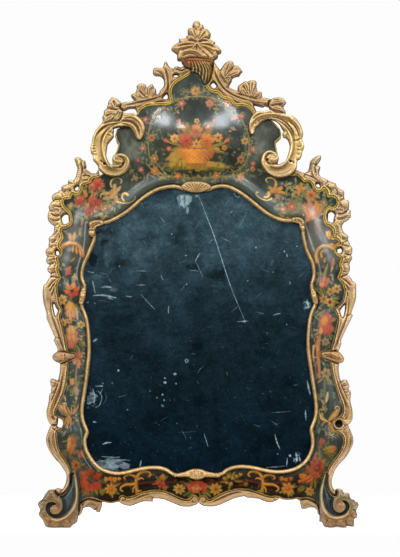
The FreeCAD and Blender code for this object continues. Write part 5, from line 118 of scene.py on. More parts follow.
CARC = {
    "crest_panel": pts("336.2,246 336.6,245 339.8,244 339.4,241 336,238.2 332.6,239 333.6,236.4 334.4,233 333.4,229 330,225.7 326.6,224.6 324.6,220 324.6,215 326,210.2 328.4,207.8 330,208.2 333,208.6 336,207 338,203 337,199 334,196.2 330,196 328.2,196.4 328,194 327,190.6 325,188.2 323,188.2 322,190 319,191.2 316,190.4 314,188 313,184.6 310,181.6 307,180.5 304.5,181.3 303,179.5 300,176.6 296,174.2 292,175 285,172.5 280.5,168 277.5,163.5 278.7,159.5 276.2,146.5 276,142.5 281.1,137.5 281.3,134 280,129.5 277.3,126 273,121.5 264,117 254.3,113.8 252.3,110.6 249,107.3 245,105.5 241,105 237,105.4 234.5,104.4 232,101.2 229,98.7 225,98.1 221.5,96.5 219.5,93.6 217,92.2 214,92 210.5,90.8 208,88 206,85 203.5,85 202,81 200,77 197.5,74 194,72.8 191,72.5 186.5,75.5 181,79 176,81.8 172.8,85 171,88.5 170.3,92 170.6,96 171.8,99.5 171.5,102 168,103.8 163,104.2 157,104.3 150,104.8 145,106.2 141,108.6 138.5,111.3 137,114 131,119.5 124,125 119.5,128.3 117,129.5 115.9,132.5 115.1,136.5 115.7,137.5 116.3,141.5 118.7,144.5 116.5,151.5 114.7,155.5 114.5,161 111.5,167.5 106,172 99.5,175.8 95,177 92,178 90.5,180 89.5,182.3 86.5,183.3 83,184.5 81.2,187 81,190 79.5,192.8 77,194.2 74,193.8 72,193.2 70.6,195 70,197.8 67,198.2 64,199 62.6,201 62.5,204 64,207 67,210 69.5,212.5 71,216 71.5,221 70,225 66.5,227 62.5,228 60.6,230 60.6,233 62,236 62,239 60,242 58.8,245 58.84,246 93.64,246 93.77,245.71 95.9,239.83 95.9,233.84 94.99,228.4 96.69,225.68 100.26,224.89 104.33,224.69 110.7,222.77 118.93,218.66 127.09,213.56 134.22,207.95 141.2,201.67 149.03,195.9 156.76,191.65 163.46,189.45 170.16,188.3 175.74,188.3 180.34,189.59 183.58,191.1 190.03,191.1 195.98,190.9 201.91,191.2 209.39,191.52 214.61,189.02 220.16,187.91 225.69,188.09 231.27,189.76 238.99,193.92 246.85,199.51 254.8,205.97 262.89,212.55 271.13,217.7 279.47,221.14 286.87,222.41 293,222.2 298.11,222.37 300.69,225.31 301.4,231.15 301.61,236.24 303.15,243.44 303.81,246"),
    "left_stile": pts("58.84,246 58.9,247.3 60.8,250 61.5,253 60.4,255.8 57.6,258 56.9,260 58.4,263 58.4,266 57.4,269 58,273 60,278 57.7,282 56.6,287 57,292 58.3,297 58.8,302 60.2,306 61.5,309 61.5,312 60.3,315.5 60.2,319 61.6,324 63.2,331 64.8,338 66,345 67,352 71,352.8 75.3,354 76.2,356.5 74,358.8 70,360.6 67.6,361.6 68,366 67.4,373 66.6,380 65.2,387 63.6,392.5 62,396.5 60.3,400 58,405 55.9,410 55.6,414.3 58.6,416.7 61.8,418.6 63.3,421 63.4,424 62.3,427 60.3,429.3 57.2,430.6 56.6,434 57.2,440 58,446 58.75,448 87.86,448 87.82,447.92 86.81,442.85 86.99,438.36 88.33,434.53 89.19,430.85 86.97,425.32 84.85,419.53 83.91,412.91 84.19,406.18 85.38,398.28 86.88,388.28 88.39,378.24 89.39,368.22 90.29,361.2 90.9,354.08 90.9,344.95 90.4,334.86 89.38,324.71 87.84,317.5 85.76,311.28 83.67,307 83.41,303.09 84.36,297.39 85.86,291.4 86.76,286.32 85.08,281.84 83.87,278.59 83.51,274.08 84.45,268.45 86.27,262.72 88.73,257.78 91.35,251.23 93.64,246"),
    "bottom_rail": pts("58.75,448 59.5,450 62,455 65.5,460 69,466 71,472 73,472.3 75.3,471.5 76.6,474 78,480 79.2,487 79.7,494 79.8,501 81,501.3 83,499.8 86,498 90,497.3 95,498 98.5,499.3 102.5,500.5 110.5,502.1 119.5,500.4 120.3,496.5 123,495 127,496.9 132,496.3 137,494.6 143,492.3 150,490.6 156,490 163,490.8 170,493 176,495.8 182,498.3 187,499.4 190.5,498.5 192.3,496 195,495.2 197.5,497.2 198.5,500.4 199.8,497 202,495.6 205,496 207,498.5 210,499.4 214,497.6 219,494.8 226,491.6 233,489.6 240,488.8 247,489.1 253,490.6 259,492.8 265,495 270,496.2 275,495.8 279.5,496.9 282.5,498.2 287.5,498.7 292.5,498.3 296.5,497.5 301,497.8 306,497.3 311,498.6 315,501 318,503 317.9,498 318.3,492 319.8,486 321.8,479.5 323.3,475 324,472.5 325.5,473 327,472.3 329.5,466.5 333.5,460.5 338,454.5 341.3,449 341.68,448 309.94,448 309.49,449.88 307.15,455.04 303.6,460 298.95,463.9 293.31,466.72 286.64,468.63 278.96,469.39 271.24,468.91 263.38,467.44 255.35,465.63 247.18,464.41 239.91,464.09 232.52,465.15 226.03,467.64 221.66,471.23 215.85,472.39 208.01,472.1 196.5,472.4 185.96,472.1 179.03,472.59 174.63,472.15 171.51,470.19 166.78,467.25 160.3,465.41 151.94,465.1 143.71,465.92 135.57,467.65 127.62,469.64 119.91,470.89 113.31,470.42 106.67,468.71 101.08,465.92 96.39,461.69 92.56,456.91 89.69,452.12 87.86,448"),
    "right_stile": pts("341.68,448 343.2,444 343.4,438 341.4,434 338,431.6 334.5,430.5 332.8,427.5 332.6,423.5 334,420.3 337,418.6 340.5,416.8 342.8,413 343,408 341.8,403.5 340.3,399.5 338.8,395 336.5,388 334,380 332.2,372 331.2,366 330.8,361.5 326.5,360 322.5,358 320.3,355 321,352.3 325,350.8 330.8,351 332,347 333.8,341 335.5,334 337,327 338,321 337.6,316 336.2,312.3 334.8,309.7 336.8,307.7 340,305 343,301 344.4,296 344.8,290 343.5,284.6 341,281 338.3,278.5 339.6,275 341,272 341.4,269 340.2,266.3 340.6,263 342,260 341.4,257.6 338.4,255.6 335.6,252.6 335,249 336.2,246 303.81,246 305,250.63 307.77,256.79 310.5,262.64 311.92,268.31 312.39,273.92 311.55,279.02 309.89,283.71 310.11,289.3 312.16,296.49 313.56,302.09 312.97,305.88 310.85,309.75 309.16,315.02 307.82,321.72 307.01,329.83 306.4,337.93 306.4,346.06 306.91,354.2 308.12,362.28 309.62,372.28 311.12,382.3 312.62,391.28 313.81,400.2 314.4,408.02 314.11,413.72 312.69,419.41 310.7,424.38 309.26,429.38 310.02,434.3 310.8,439.14 310.7,444.76 309.94,448"),
}
CAPS = {
    "sight_shell": pts("181,187 183,184 186,182 190,181.5 194,181.2 198,181.2 203,181.8 207,183 210,185 211.5,187.5 209,190 205,191.5 201,192.5 196,192.8 191,192.5 187,191.5 183.5,190.5"),
    "corner_knot_left": pts("88.5,223.5 91,221 96,220 101,220 103.5,221.5 104,224.5 100,226.5 97,227.5 95.5,230 95.5,234 94.5,237 91.5,237.5 88.5,236 88,232 89,228"),
    "corner_knot_right": pts("293,217.5 297,217 301,218 304,221 305,226 304.8,231 301.8,232 299.5,228 298.5,224.5 295.5,223.5 292,222.5 291.5,219.5"),
    "side_bead_left": pts("80,293 79,299 78.8,304 82.5,305.5 85,300 86.3,293 85.5,288 82,288.5"),
    "side_bead_right": pts("311,288 314.5,289.5 317,295 318.2,301 317.6,304.8 313.5,304 311,297 310.3,292"),
    "sight_cartouche": pts("174,475.5 176,473 180,472 184,471.2 187,470 190,468.8 194,468 199,468 203,469 206,470.3 210,471.3 215,472 219.5,472.8 221,475 219,476.8 214,477 209,476.8 205,477 202,478.3 198.5,479.2 195,479.2 191.5,478.3 188.5,476.8 184,476.6 179,476.8 175.5,476.5"),
}



# ---------------------------------------------------------------- plane geometry
def smooth_loop(poly, k=3):
    """Curve through the points of a closed loop."""
    a = np.asarray(poly, float)
    p0, p1, p2, p3 = np.roll(a, 1, 0), a, np.roll(a, -1, 0), np.roll(a, -2, 0)
    out = []
    for i in range(k):
        t = i / k
        q = 0.5 * ((2 * p1) + (-p0 + p2) * t + (2 * p0 - 5 * p1 + 4 * p2 - p3) * t * t + (-p0 + 3 * p1 - 3 * p2 + p3) * t ** 3)
        out.append(q)
    return np.stack(out, 1).reshape(-1, 2)


def resample(poly, step, closed=True):
    a = np.asarray(poly, float)
    b = np.vstack([a, a[:1]]) if closed else a
    seg = np.linalg.norm(np.diff(b, axis=0), axis=1)
    cum = np.concatenate([[0], np.cumsum(seg)])
    n = max(4 if closed else 2, int(round(cum[-1] / step)))
    t = np.linspace(0, cum[-1], n + 1)
    out = np.stack([np.interp(t, cum, b[:, 0]), np.interp(t, cum, b[:, 1])], 1)
    return out[:-1] if closed else out


def dist_line(p, line, closed=False, limit=None):
    """Distance of points to a polyline, and the share of its length where the nearest point lies."""
    a = np.asarray(line, float)
    b = np.roll(a, -1, 0) if closed else a[1:]
    a = a if closed else a[:-1]
    seg = np.linalg.norm(b - a, axis=1)
    cum = np.concatenate([[0], np.cumsum(seg)])
    best = np.full(len(p), 1e9)
    along = np.zeros(len(p))
    if len(p) * len(a) > 150000:
        # long lines: nearest sample first, then the segments beside it
        step = max(0.3, cum[-1] / 6000.0)
        own, at = [], []
        for i in range(len(a)):
            k = max(1, int(math.ceil(seg[i] / step)))
            f = np.arange(k) / k
            own += [i] * k
            at.append(a[i] + (b[i] - a[i]) * f[:, None])
        if not closed:
            own.append(len(a) - 1)
            at.append(b[-1:])
        at = np.vstack(at)
        own = np.array(own)
        tree = KDTree(len(at))
        for i, (x, y) in enumerate(at.tolist()):
            tree.insert((x, y, 0.0), i)
        tree.balance()
        find = tree.find
        hit = np.array([find((x, y, 0.0))[1] for x, y in p.tolist()], int)
        for off in (-1, 0, 1):
            i = own[hit] + off
            i = i % len(a) if closed else np.clip(i, 0, len(a) - 1)
            ln = np.maximum(seg[i], 1e-9)
            v = (b[i] - a[i]) / ln[:, None]
            q = p - a[i]
            t = np.clip((q * v).sum(1), 0, seg[i])
            r = q - t[:, None] * v
            d2 = (r * r).sum(1)
            m = d2 < best
            best[m] = d2[m]
            along[m] = (cum[i] + t)[m]
        return np.sqrt(best), along / max(cum[-1], 1e-9)
    for i in range(len(a)):
        if seg[i] < 1e-9:
            continue
        v = (b[i] - a[i]) / seg[i]
        q = p - a[i]
        t = np.clip(q @ v, 0, seg[i])
        r = q - t[:, None] * v
        d2 = (r * r).sum(1)
        m = d2 < best
        best[m] = d2[m]
        along[m] = cum[i] + t[m]
    return np.sqrt(best), along / max(cum[-1], 1e-9)


def inside(p, loops):
    hit = np.zeros(len(p), bool)
    for loop in loops:
        a = np.asarray(loop, float)
        b = np.roll(a, -1, 0)
        for (x0, y0), (x1, y1) in zip(a, b):
            if y0 == y1:
                continue
            c = ((p[:, 1] >= y0) != (p[:, 1] >= y1)) & (p[:, 0] < x0 + (x1 - x0) * (p[:, 1] - y0) / (y1 - y0))
            hit ^= c
    return hit


def rows_inside(xs_rows, ys, loops):
    """Test of grid rows: for each height a list of x values, against closed loops."""
    a = np.vstack(loops)
    b = np.vstack([np.roll(l, -1, 0) for l in loops])
    out = []
    for xs, y in zip(xs_rows, ys):
        m = (a[:, 1] > y) != (b[:, 1] > y)
        cx = np.sort(a[m, 0] + (b[m, 0] - a[m, 0]) * (y - a[m, 1]) / (b[m, 1] - a[m, 1]))
        out.append(np.searchsorted(cx, xs) % 2 == 1)
    return out


def sstep(x, a, b):
    t = np.clip((x - a) / (b - a), 0, 1)
    return t * t * (3 - 2 * t)


def gauss(x, w):
    return np.exp(-(x / w) ** 2)


def hash_noise(p, scale, seed):
    """Smooth value noise in the plane, -1 to 1."""
    q = np.asarray(p, float) / scale
    i = np.floor(q).astype(np.int64)
    f = q - i
    f = f * f * (3 - 2 * f)

    def h(ix, iy):
        n = (ix * 374761393 + iy * 668265263 + seed * 982451653) & 0x7FFFFFFF
        n = ((n ^ (n >> 13)) * 1274126177) & 0x7FFFFFFF
        n = (n ^ (n >> 16)) & 0x7FFFFFFF
        return n / float(0x7FFFFFFF) * 2 - 1

    a, b = h(i[:, 0], i[:, 1]), h(i[:, 0] + 1, i[:, 1])
    c, d = h(i[:, 0], i[:, 1] + 1), h(i[:, 0] + 1, i[:, 1] + 1)
    return (a * (1 - f[:, 0]) + b * f[:, 0]) * (1 - f[:, 1]) + (c * (1 - f[:, 0]) + d * f[:, 0]) * f[:, 1]


def fbm(p, scale, seed, octaves=3):
    out, amp = 0, 1.0
    for k in range(octaves):
        out = out + amp * hash_noise(p, scale / 2 ** k, seed + 17 * k)
        amp *= 0.5
    return out / 1.75


# ---------------------------------------------------------------- carved slabs
def triangulate(loops, inner):
    """Triangles of the region inside the loops, through all loop points and the inner points."""
    coords, edges = [], []
    for loop in loops:
        n0 = len(coords)
        coords += [Vector((float(x), float(y))) for x, y in loop]
        edges += [(n0 + i, n0 + (i + 1) % len(loop)) for i in range(len(loop))]
    nb = len(coords)
    coords += [Vector((float(x), float(y))) for x, y in inner]
    vs, es, fs, ov, oe, of_ = delaunay_2d_cdt(coords, edges, [], 1, 1e-7)
    v = np.array([(c.x, c.y) for c in vs])
    f = np.array([t for t in fs if len(t) == 3], int)
    # keep the numbering of the input points
    back = np.full(len(vs), -1)
    for k, src in enumerate(ov):
        if src:
            back[k] = min(src)
    extra = np.nonzero(back < 0)[0]
    allp = np.array([(c.x, c.y) for c in coords])
    if len(extra):
        back[extra] = len(allp) + np.arange(len(extra))
        allp = np.vstack([allp, v[extra]])
    f = back[f]
    f = f[(f[:, 0] != f[:, 1]) & (f[:, 1] != f[:, 2]) & (f[:, 0] != f[:, 2])]
    if len(loops) > 1:
        # triangles across the openings join loop points only
        i = np.nonzero((f < nb).all(1))[0]
        f = np.delete(f, i[~inside(allp[f[i]].mean(1), loops)], 0)
    a = allp[f]
    cr = (a[:, 1, 0] - a[:, 0, 0]) * (a[:, 2, 1] - a[:, 0, 1]) - (a[:, 1, 1] - a[:, 0, 1]) * (a[:, 2, 0] - a[:, 0, 0])
    f[cr > 0] = f[cr > 0][:, ::-1]   # seen from the front, y down
    return allp, f, nb


def hex_fill(loops, step, margin=0.62, fine=None):
    """Points on a hexagonal grid inside the loops; fine is (test function, finer step)."""
    allp = np.vstack(loops)
    lo, hi = allp.min(0), allp.max(0)

    def grid(s):
        ys = np.arange(lo[1], hi[1] + s, s * 0.866) + 0.00137
        xs = np.arange(lo[0], hi[0] + s, s)
        rows = [xs + (s / 2 if k % 2 else 0.0) for k in range(len(ys))]
        keep = rows_inside(rows, ys, loops)
        g = np.vstack([np.stack([x[m], np.full(m.sum(), y)], 1) for x, y, m in zip(rows, ys, keep)])
        rng = np.random.default_rng(5)
        g = g + rng.uniform(-0.06, 0.06, g.shape) * s
        d = np.full(len(g), 1e9)
        for loop in loops:
            d = np.minimum(d, dist_line(g, loop, True)[0])
        return g[d > margin * s]

    g = grid(step)
    if fine is not None:
        test, s2 = fine
        g2 = grid(s2)
        g = np.vstack([g[~test(g)], g2[test(g2)]])
    return g


def new_mesh(name, verts, faces, sharp=None):
    me = bpy.data.meshes.new(name)
    me.from_pydata(verts.tolist() if isinstance(verts, np.ndarray) else verts, [],
                   faces if isinstance(faces, list) else faces.tolist())
    me.update()
    ob = bpy.data.objects.new(name, me)
    bpy.context.scene.collection.objects.link(ob)
    return ob


def put_color(me, name, rgb):
    at = me.color_attributes.new(name, "FLOAT_COLOR", "POINT")
    c = np.ones((len(me.vertices), 4), np.float32)
    c[:, : rgb.shape[1]] = rgb
    at.data.foreach_set("color", c.ravel())


def neighbours_mean(n, faces, h, rounds):
    e = np.vstack([faces[:, [0, 1]], faces[:, [1, 2]], faces[:, [2, 0]]])
    i = np.concatenate([e[:, 0], e[:, 1]])
    j = np.concatenate([e[:, 1], e[:, 0]])
    cnt = np.bincount(i, minlength=n).astype(float)
    cnt[cnt == 0] = 1
    m = h.copy()
    for _ in range(rounds):
        m = np.bincount(i, weights=m[j], minlength=n) / cnt
    return m


class Slab:
    """A carved board: front relief from a height function, walls, flat back."""

    def __init__(self, name, loops, step, back, fine=None, smooth=3):
        self.name, self.back = name, back
        self.raw = [np.asarray(l, float) for l in loops]
        self.curves = [smooth_loop(l, smooth) if smooth > 1 else l for l in self.raw]
        self.loops = [resample(c, step) for c in self.curves]
        inner = hex_fill(self.loops, step, fine=fine)
        self.p, self.f, self.nb = triangulate(self.loops, inner)
        d = np.full(len(self.p), 1e9)
        for c in self.curves:
            d = np.minimum(d, dist_line(self.p, c, True)[0])
        self.d = d           # distance to the outline, layout units
        self.h = None
        self.rgb = None      # linear colour of the front
        self.mr = None       # metallic, roughness
        self.gloss = None    # polish of the varnish

    def build(self, material, slot, nodes, body="frame", back_rgb=(0.09, 0.055, 0.03), floor=False, wall_rgb=None, back_loops=None):
        n = len(self.p)
        front = place(self.p, self.h)
        loops_idx, k = [], 0
        for loop in self.loops:
            loops_idx.append(list(range(k, k + len(loop))))
            k += len(loop)
        bverts = place(self.p[:k], np.full(k, float(self.back)))
        mid_h = np.minimum(self.h[:k] - 0.6, self.h[:k] * 0.5 + self.back * 0.5)
        mid_h = np.maximum(mid_h, self.back + 0.2)
        mverts = place(self.p[:k], mid_h)
        verts = np.vstack([front, mverts, bverts])
        if floor:
            verts[:, 2] = np.maximum(verts[:, 2], 0.0)
        faces = self.f.tolist()
        nfront = len(faces)
        walls = 0
        for li, idx in enumerate(loops_idx):
            for a, b in zip(idx, idx[1:] + idx[:1]):
                flip = self._flip[li] if hasattr(self, "_flip") else False
                q1 = [a, b, n + b, n + a]
                q2 = [n + a, n + b, n + k + b, n + k + a]
                faces.append(q1)
                faces.append(q2)
                walls += 2
        _, bf, _ = triangulate(self.loops, np.zeros((0, 2)))
        bf = bf[(bf < k).all(1)]
        faces += (bf[:, ::-1] + n + k).tolist()
        ob = new_mesh(self.name, verts, faces)
        me = ob.data
        me.shade_smooth()
        import bmesh
        bm = bmesh.new()
        bm.from_mesh(me)
        bmesh.ops.recalc_face_normals(bm, faces=bm.faces)
        bm.to_mesh(me)
        bm.free()
        # crisp edge between front, wall and back
        sharp = np.zeros(len(me.edges), bool)
        ev = np.zeros(len(me.edges) * 2, int)
        me.edges.foreach_get("vertices", ev)
        ev = ev.reshape(-1, 2)
        sharp |= ((ev >= n + k).all(1)) & ((np.abs(ev[:, 0] - ev[:, 1]) == 1) | (np.abs(ev[:, 0] - ev[:, 1]) > 3))
        if getattr(self, "crisp", False):
            sharp |= (ev < k).all(1)
        at = me.attributes.get("sharp_edge") or me.attributes.new("sharp_edge", "BOOLEAN", "EDGE")
        at.data.foreach_set("value", sharp)
        # colours
        rgb = np.vstack([self.rgb, (self.rgb[:k] * 0.55 + np.array(wall_rgb if wall_rgb is not None else back_rgb) * 0.45), np.tile(np.array(back_rgb), (k, 1))])
        mr = np.vstack([self.mr, self.mr[:k] * 0.5 + np.array([0.0, 0.6]) * 0.5, np.tile(np.array([0.0, 0.75]), (k, 1))])
        gloss = np.ones(n) if self.gloss is None else self.gloss
        gloss = np.concatenate([gloss, gloss[:k] * 0.3, np.zeros(k)])
        put_color(me, "Col", rgb)
        put_color(me, "Mtl", np.hstack([mr, gloss[:, None]]))
        # flat layout for the surface colours: front, back and walls side by side
        lo, hi = self.p.min(0), self.p.max(0)
        size = max(hi - lo)
        uvf = (self.p - lo) / size
        uv = me.uv_layers.new(name="OFBake")
        nl = len(me.loops)
        lv = np.zeros(nl, int)
        me.loops.foreach_get("vertex_index", lv)
        ps = np.zeros(len(me.polygons), int)
        pt = np.zeros(len(me.polygons), int)
        me.polygons.foreach_get("loop_start", ps)
        me.polygons.foreach_get("loop_total", pt)
        poly_of = np.repeat(np.arange(len(ps)), pt)
        out = np.zeros((nl, 2))
        src = np.where(lv < n, lv, np.where(lv < n + k, lv - n, lv - n - k))
        out[:, 0] = 0.004 + uvf[src, 0] * 0.74
        out[:, 1] = 0.004 + uvf[src, 1] * 0.99
        isback = poly_of >= nfront + walls
        out[isback, 0] = 0.76 + uvf[src[isback], 0] * 0.23
        out[isback, 1] = 0.004 + uvf[src[isback], 1] * 0.3
        iswall = (poly_of >= nfront) & (poly_of < nfront + walls)
        w = poly_of[iswall] - nfront
        quad, lower = w // 2, w % 2
        corner = (np.arange(nl) - ps[poly_of])[iswall]
        nq = walls // 2
        cols = int(math.ceil(math.sqrt(nq * 1.0)))
        rows = int(math.ceil(nq / cols))
        vi = lv[iswall]
        row, col = quad // cols, quad % cols
        level = np.where(vi < n, 0, np.where(vi < n + k, 1, 2))
        # which end of the quad this corner is
        first = np.zeros(len(vi))
        base = np.where(vi < n, vi, np.where(vi < n + k, vi - n, vi - n - k))
        order = {}
        qa = np.array([a for idx in loops_idx for a in idx])
        first = (base != qa[quad]).astype(float)
        out[iswall, 0] = 0.76 + 0.23 * (col + first) / cols
        out[iswall, 1] = 0.33 + 0.65 * (row + level / 2.0 * 0.96) / rows
        uv.data.foreach_set("uv", out.ravel())
        me.materials.append(material)
        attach(ob, body)
        if nodes:
            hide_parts(*nodes)
        return ob


# ---------------------------------------------------------------- materials
def lin(r, g, b):
    c = np.array([r, g, b], float) / 255.0
    return np.where(c <= 0.04045, c / 12.92, ((c + 0.055) / 1.055) ** 2.4)


class Nodes:
    def __init__(self, name):
        self.mat = bpy.data.materials.new(name)
        self.mat.use_nodes = True
        self.t = self.mat.node_tree
        self.t.nodes.clear()
        self.out = self.t.nodes.new("ShaderNodeOutputMaterial")
        self.bsdf = self.t.nodes.new("ShaderNodeBsdfPrincipled")
        self.t.links.new(self.bsdf.outputs["BSDF"], self.out.inputs["Surface"])
        self.coord = self.t.nodes.new("ShaderNodeTexCoord").outputs["Object"]

    def link(self, a, b):
        self.t.links.new(a, b)

    def attr(self, name):
        n = self.t.nodes.new("ShaderNodeAttribute")
        n.attribute_name = name
        return n.outputs["Color"]

    def sep(self, col):
        n = self.t.nodes.new("ShaderNodeSeparateColor")
        self.link(col, n.inputs[0])
        return n.outputs

    def mapping(self, scale, rot=(0, 0, 0), loc=(0, 0, 0)):
        n = self.t.nodes.new("ShaderNodeMapping")
        n.inputs["Scale"].default_value = scale
        n.inputs["Rotation"].default_value = rot
        n.inputs["Location"].default_value = loc
        self.link(self.coord, n.inputs["Vector"])
        return n.outputs[0]

    def noise(self, scale, detail=4.0, rough=0.55, vec=None, distortion=0.0):
        n = self.t.nodes.new("ShaderNodeTexNoise")
        n.inputs["Scale"].default_value = scale
        n.inputs["Detail"].default_value = detail
        n.inputs["Roughness"].default_value = rough
        n.inputs["Distortion"].default_value = distortion
        self.link(vec if vec is not None else self.coord, n.inputs["Vector"])
        return n.outputs["Fac"]

    def voronoi(self, scale, feature="DISTANCE_TO_EDGE", vec=None):
        n = self.t.nodes.new("ShaderNodeTexVoronoi")
        n.feature = feature
        n.inputs["Scale"].default_value = scale
        self.link(vec if vec is not None else self.coord, n.inputs["Vector"])
        return n.outputs["Distance"]

    def wave(self, scale, vec, distortion=3.0, detail=3.0, dscale=1.0, across="X"):
        n = self.t.nodes.new("ShaderNodeTexWave")
        n.bands_direction = across
        n.inputs["Scale"].default_value = scale
        n.inputs["Distortion"].default_value = distortion
        n.inputs["Detail"].default_value = detail
        n.inputs["Detail Scale"].default_value = dscale
        self.link(vec, n.inputs["Vector"])
        return n.outputs["Fac"]

    def ramp(self, fac, stops):
        n = self.t.nodes.new("ShaderNodeValToRGB")
        el = n.color_ramp.elements
        while len(el) > 1:
            el.remove(el[-1])
        for i, (pos, col) in enumerate(stops):
            e = el[0] if i == 0 else el.new(pos)
            e.position = pos
            e.color = (*col, 1.0) if len(col) == 3 else col
        self.link(fac, n.inputs[0])
        return n.outputs[0]

    def math(self, op, a, b=None, c=None, clamp=False):
        n = self.t.nodes.new("ShaderNodeMath")
        n.operation = op
        n.use_clamp = clamp
        for i, v in enumerate((a, b, c)):
            if v is None:
                continue
            if isinstance(v, (int, float)):
                n.inputs[i].default_value = v
            else:
                self.link(v, n.inputs[i])
        return n.outputs[0]

    def mix(self, fac, a, b, mode="MIX"):
        n = self.t.nodes.new("ShaderNodeMix")
        n.data_type = "RGBA"
        n.blend_type = mode
        for i, v in ((0, fac), (6, a), (7, b)):
            s = n.inputs[i]
            if isinstance(v, (int, float)):
                s.default_value = v
            elif isinstance(v, (tuple, list, np.ndarray)):
                s.default_value = (*[float(x) for x in v], 1.0)
            else:
                self.link(v, s)
        return n.outputs[2]

    def bump(self, height, strength, distance, normal=None):
        n = self.t.nodes.new("ShaderNodeBump")
        n.inputs["Strength"].default_value = strength
        n.inputs["Distance"].default_value = distance
        self.link(height, n.inputs["Height"])
        if normal is not None:
            self.link(normal, n.inputs["Normal"])
        return n.outputs[0]


def bare_back(g, c, rough, along="x"):
    """Bare, darkened wood where the roughness marks the unfinished back."""
    grain, across = ((0.9, 1.0, 5.0), "Z") if along == "x" else ((5.0, 1.0, 0.9), "X")
    ring = g.wave(6.4, g.mapping(grain), 9.0, 3.0, 0.9, across)
    fibre = g.noise(36.0, 7.0, 0.66, g.mapping((0.9, 9.0, 9.0) if along == "x" else (9.0, 9.0, 0.9)))
    wood = g.ramp(ring, [(0.05, tuple(lin(96, 70, 48))), (0.5, tuple(lin(104, 77, 52))), (0.95, tuple(lin(109, 82, 56)))])
    wood = g.mix(g.math("MULTIPLY", g.ramp(fibre, [(0.35, (1, 1, 1)), (0.6, (0, 0, 0))]), 0.55), wood, tuple(lin(52, 36, 24)))
    return g.mix(g.ramp(rough, [(0.69, (0, 0, 0)), (0.74, (1, 1, 1))]), c, wood)


def gilding_material():
    g = Nodes("worn_gilding")
    col = g.attr("Col")
    mt = g.sep(g.attr("Mtl"))
    cloud = g.noise(46.0, 5.0, 0.6)
    fine = g.noise(420.0, 3.0, 0.6)
    tint = g.ramp(cloud, [(0.25, (0.80, 0.76, 0.72)), (0.5, (1.0, 1.0, 1.0)), (0.78, (1.16, 1.14, 1.08))])
    c = g.mix(1.0, col, tint, "MULTIPLY")
    grain = g.ramp(fine, [(0.3, (0.94, 0.93, 0.92)), (0.6, (1.03, 1.03, 1.02))])
    c = g.mix(1.0, c, grain, "MULTIPLY")
    # bole and gesso showing through where the leaf is rubbed
    rub = g.ramp(g.noise(120.0, 6.0, 0.7), [(0.66, (0, 0, 0)), (0.74, (1, 1, 1))])
    c = g.mix(g.math("MULTIPLY", rub, 0.34), c, tuple(lin(146, 82, 46)))
    g.link(bare_back(g, c, mt[1]), g.bsdf.inputs["Base Color"])
    metal = g.math("MULTIPLY", mt[0], g.math("SUBTRACT", 1.0, g.math("MULTIPLY", rub, 0.45)), clamp=True)
    g.link(metal, g.bsdf.inputs["Metallic"])
    g.link(g.math("ADD", mt[1], g.math("MULTIPLY", g.math("SUBTRACT", fine, 0.5), 0.22), clamp=True), g.bsdf.inputs["Roughness"])
    b = g.bump(g.noise(230.0, 4.0, 0.6), 0.10, 0.0006)
    b = g.bump(fine, 0.07, 0.0003, b)
    g.link(b, g.bsdf.inputs["Normal"])
    return g.mat


def lacquer_material(name, along, shine=0.16):
    g = Nodes(name)
    col = g.attr("Col")
    mt = g.sep(g.attr("Mtl"))
    cloud = g.noise(30.0, 5.0, 0.6)
    tint = g.ramp(cloud, [(0.3, (0.82, 0.84, 0.82)), (0.55, (1, 1, 1)), (0.8, (1.18, 1.12, 1.06))])
    c = g.mix(1.0, col, tint, "MULTIPLY")
    crack = g.voronoi(260.0, vec=g.mapping((1, 1, 1)))
    line = g.ramp(crack, [(0.0, (1, 1, 1)), (0.035, (0, 0, 0))])
    c = g.mix(g.math("MULTIPLY", line, 0.22), c, tuple(lin(24, 18, 12)))
    g.link(bare_back(g, c, mt[1], along), g.bsdf.inputs["Base Color"])
    g.link(mt[0], g.bsdf.inputs["Metallic"])
    g.link(g.math("ADD", mt[1], g.math("MULTIPLY", g.math("SUBTRACT", g.noise(160.0, 4.0), 0.5), 0.18), clamp=True), g.bsdf.inputs["Roughness"])
    b = g.bump(g.noise(34.0, 3.0), 0.05, 0.0016)
    b = g.bump(crack, 0.05, 0.0002, b)
    g.link(b, g.bsdf.inputs["Normal"])
    g.link(g.math("MULTIPLY", mt[2], 0.50), g.bsdf.inputs["Coat Weight"])
    g.bsdf.inputs["Specular IOR Level"].default_value = shine
    g.bsdf.inputs["Coat Roughness"].default_value = 0.15
    return g.mat


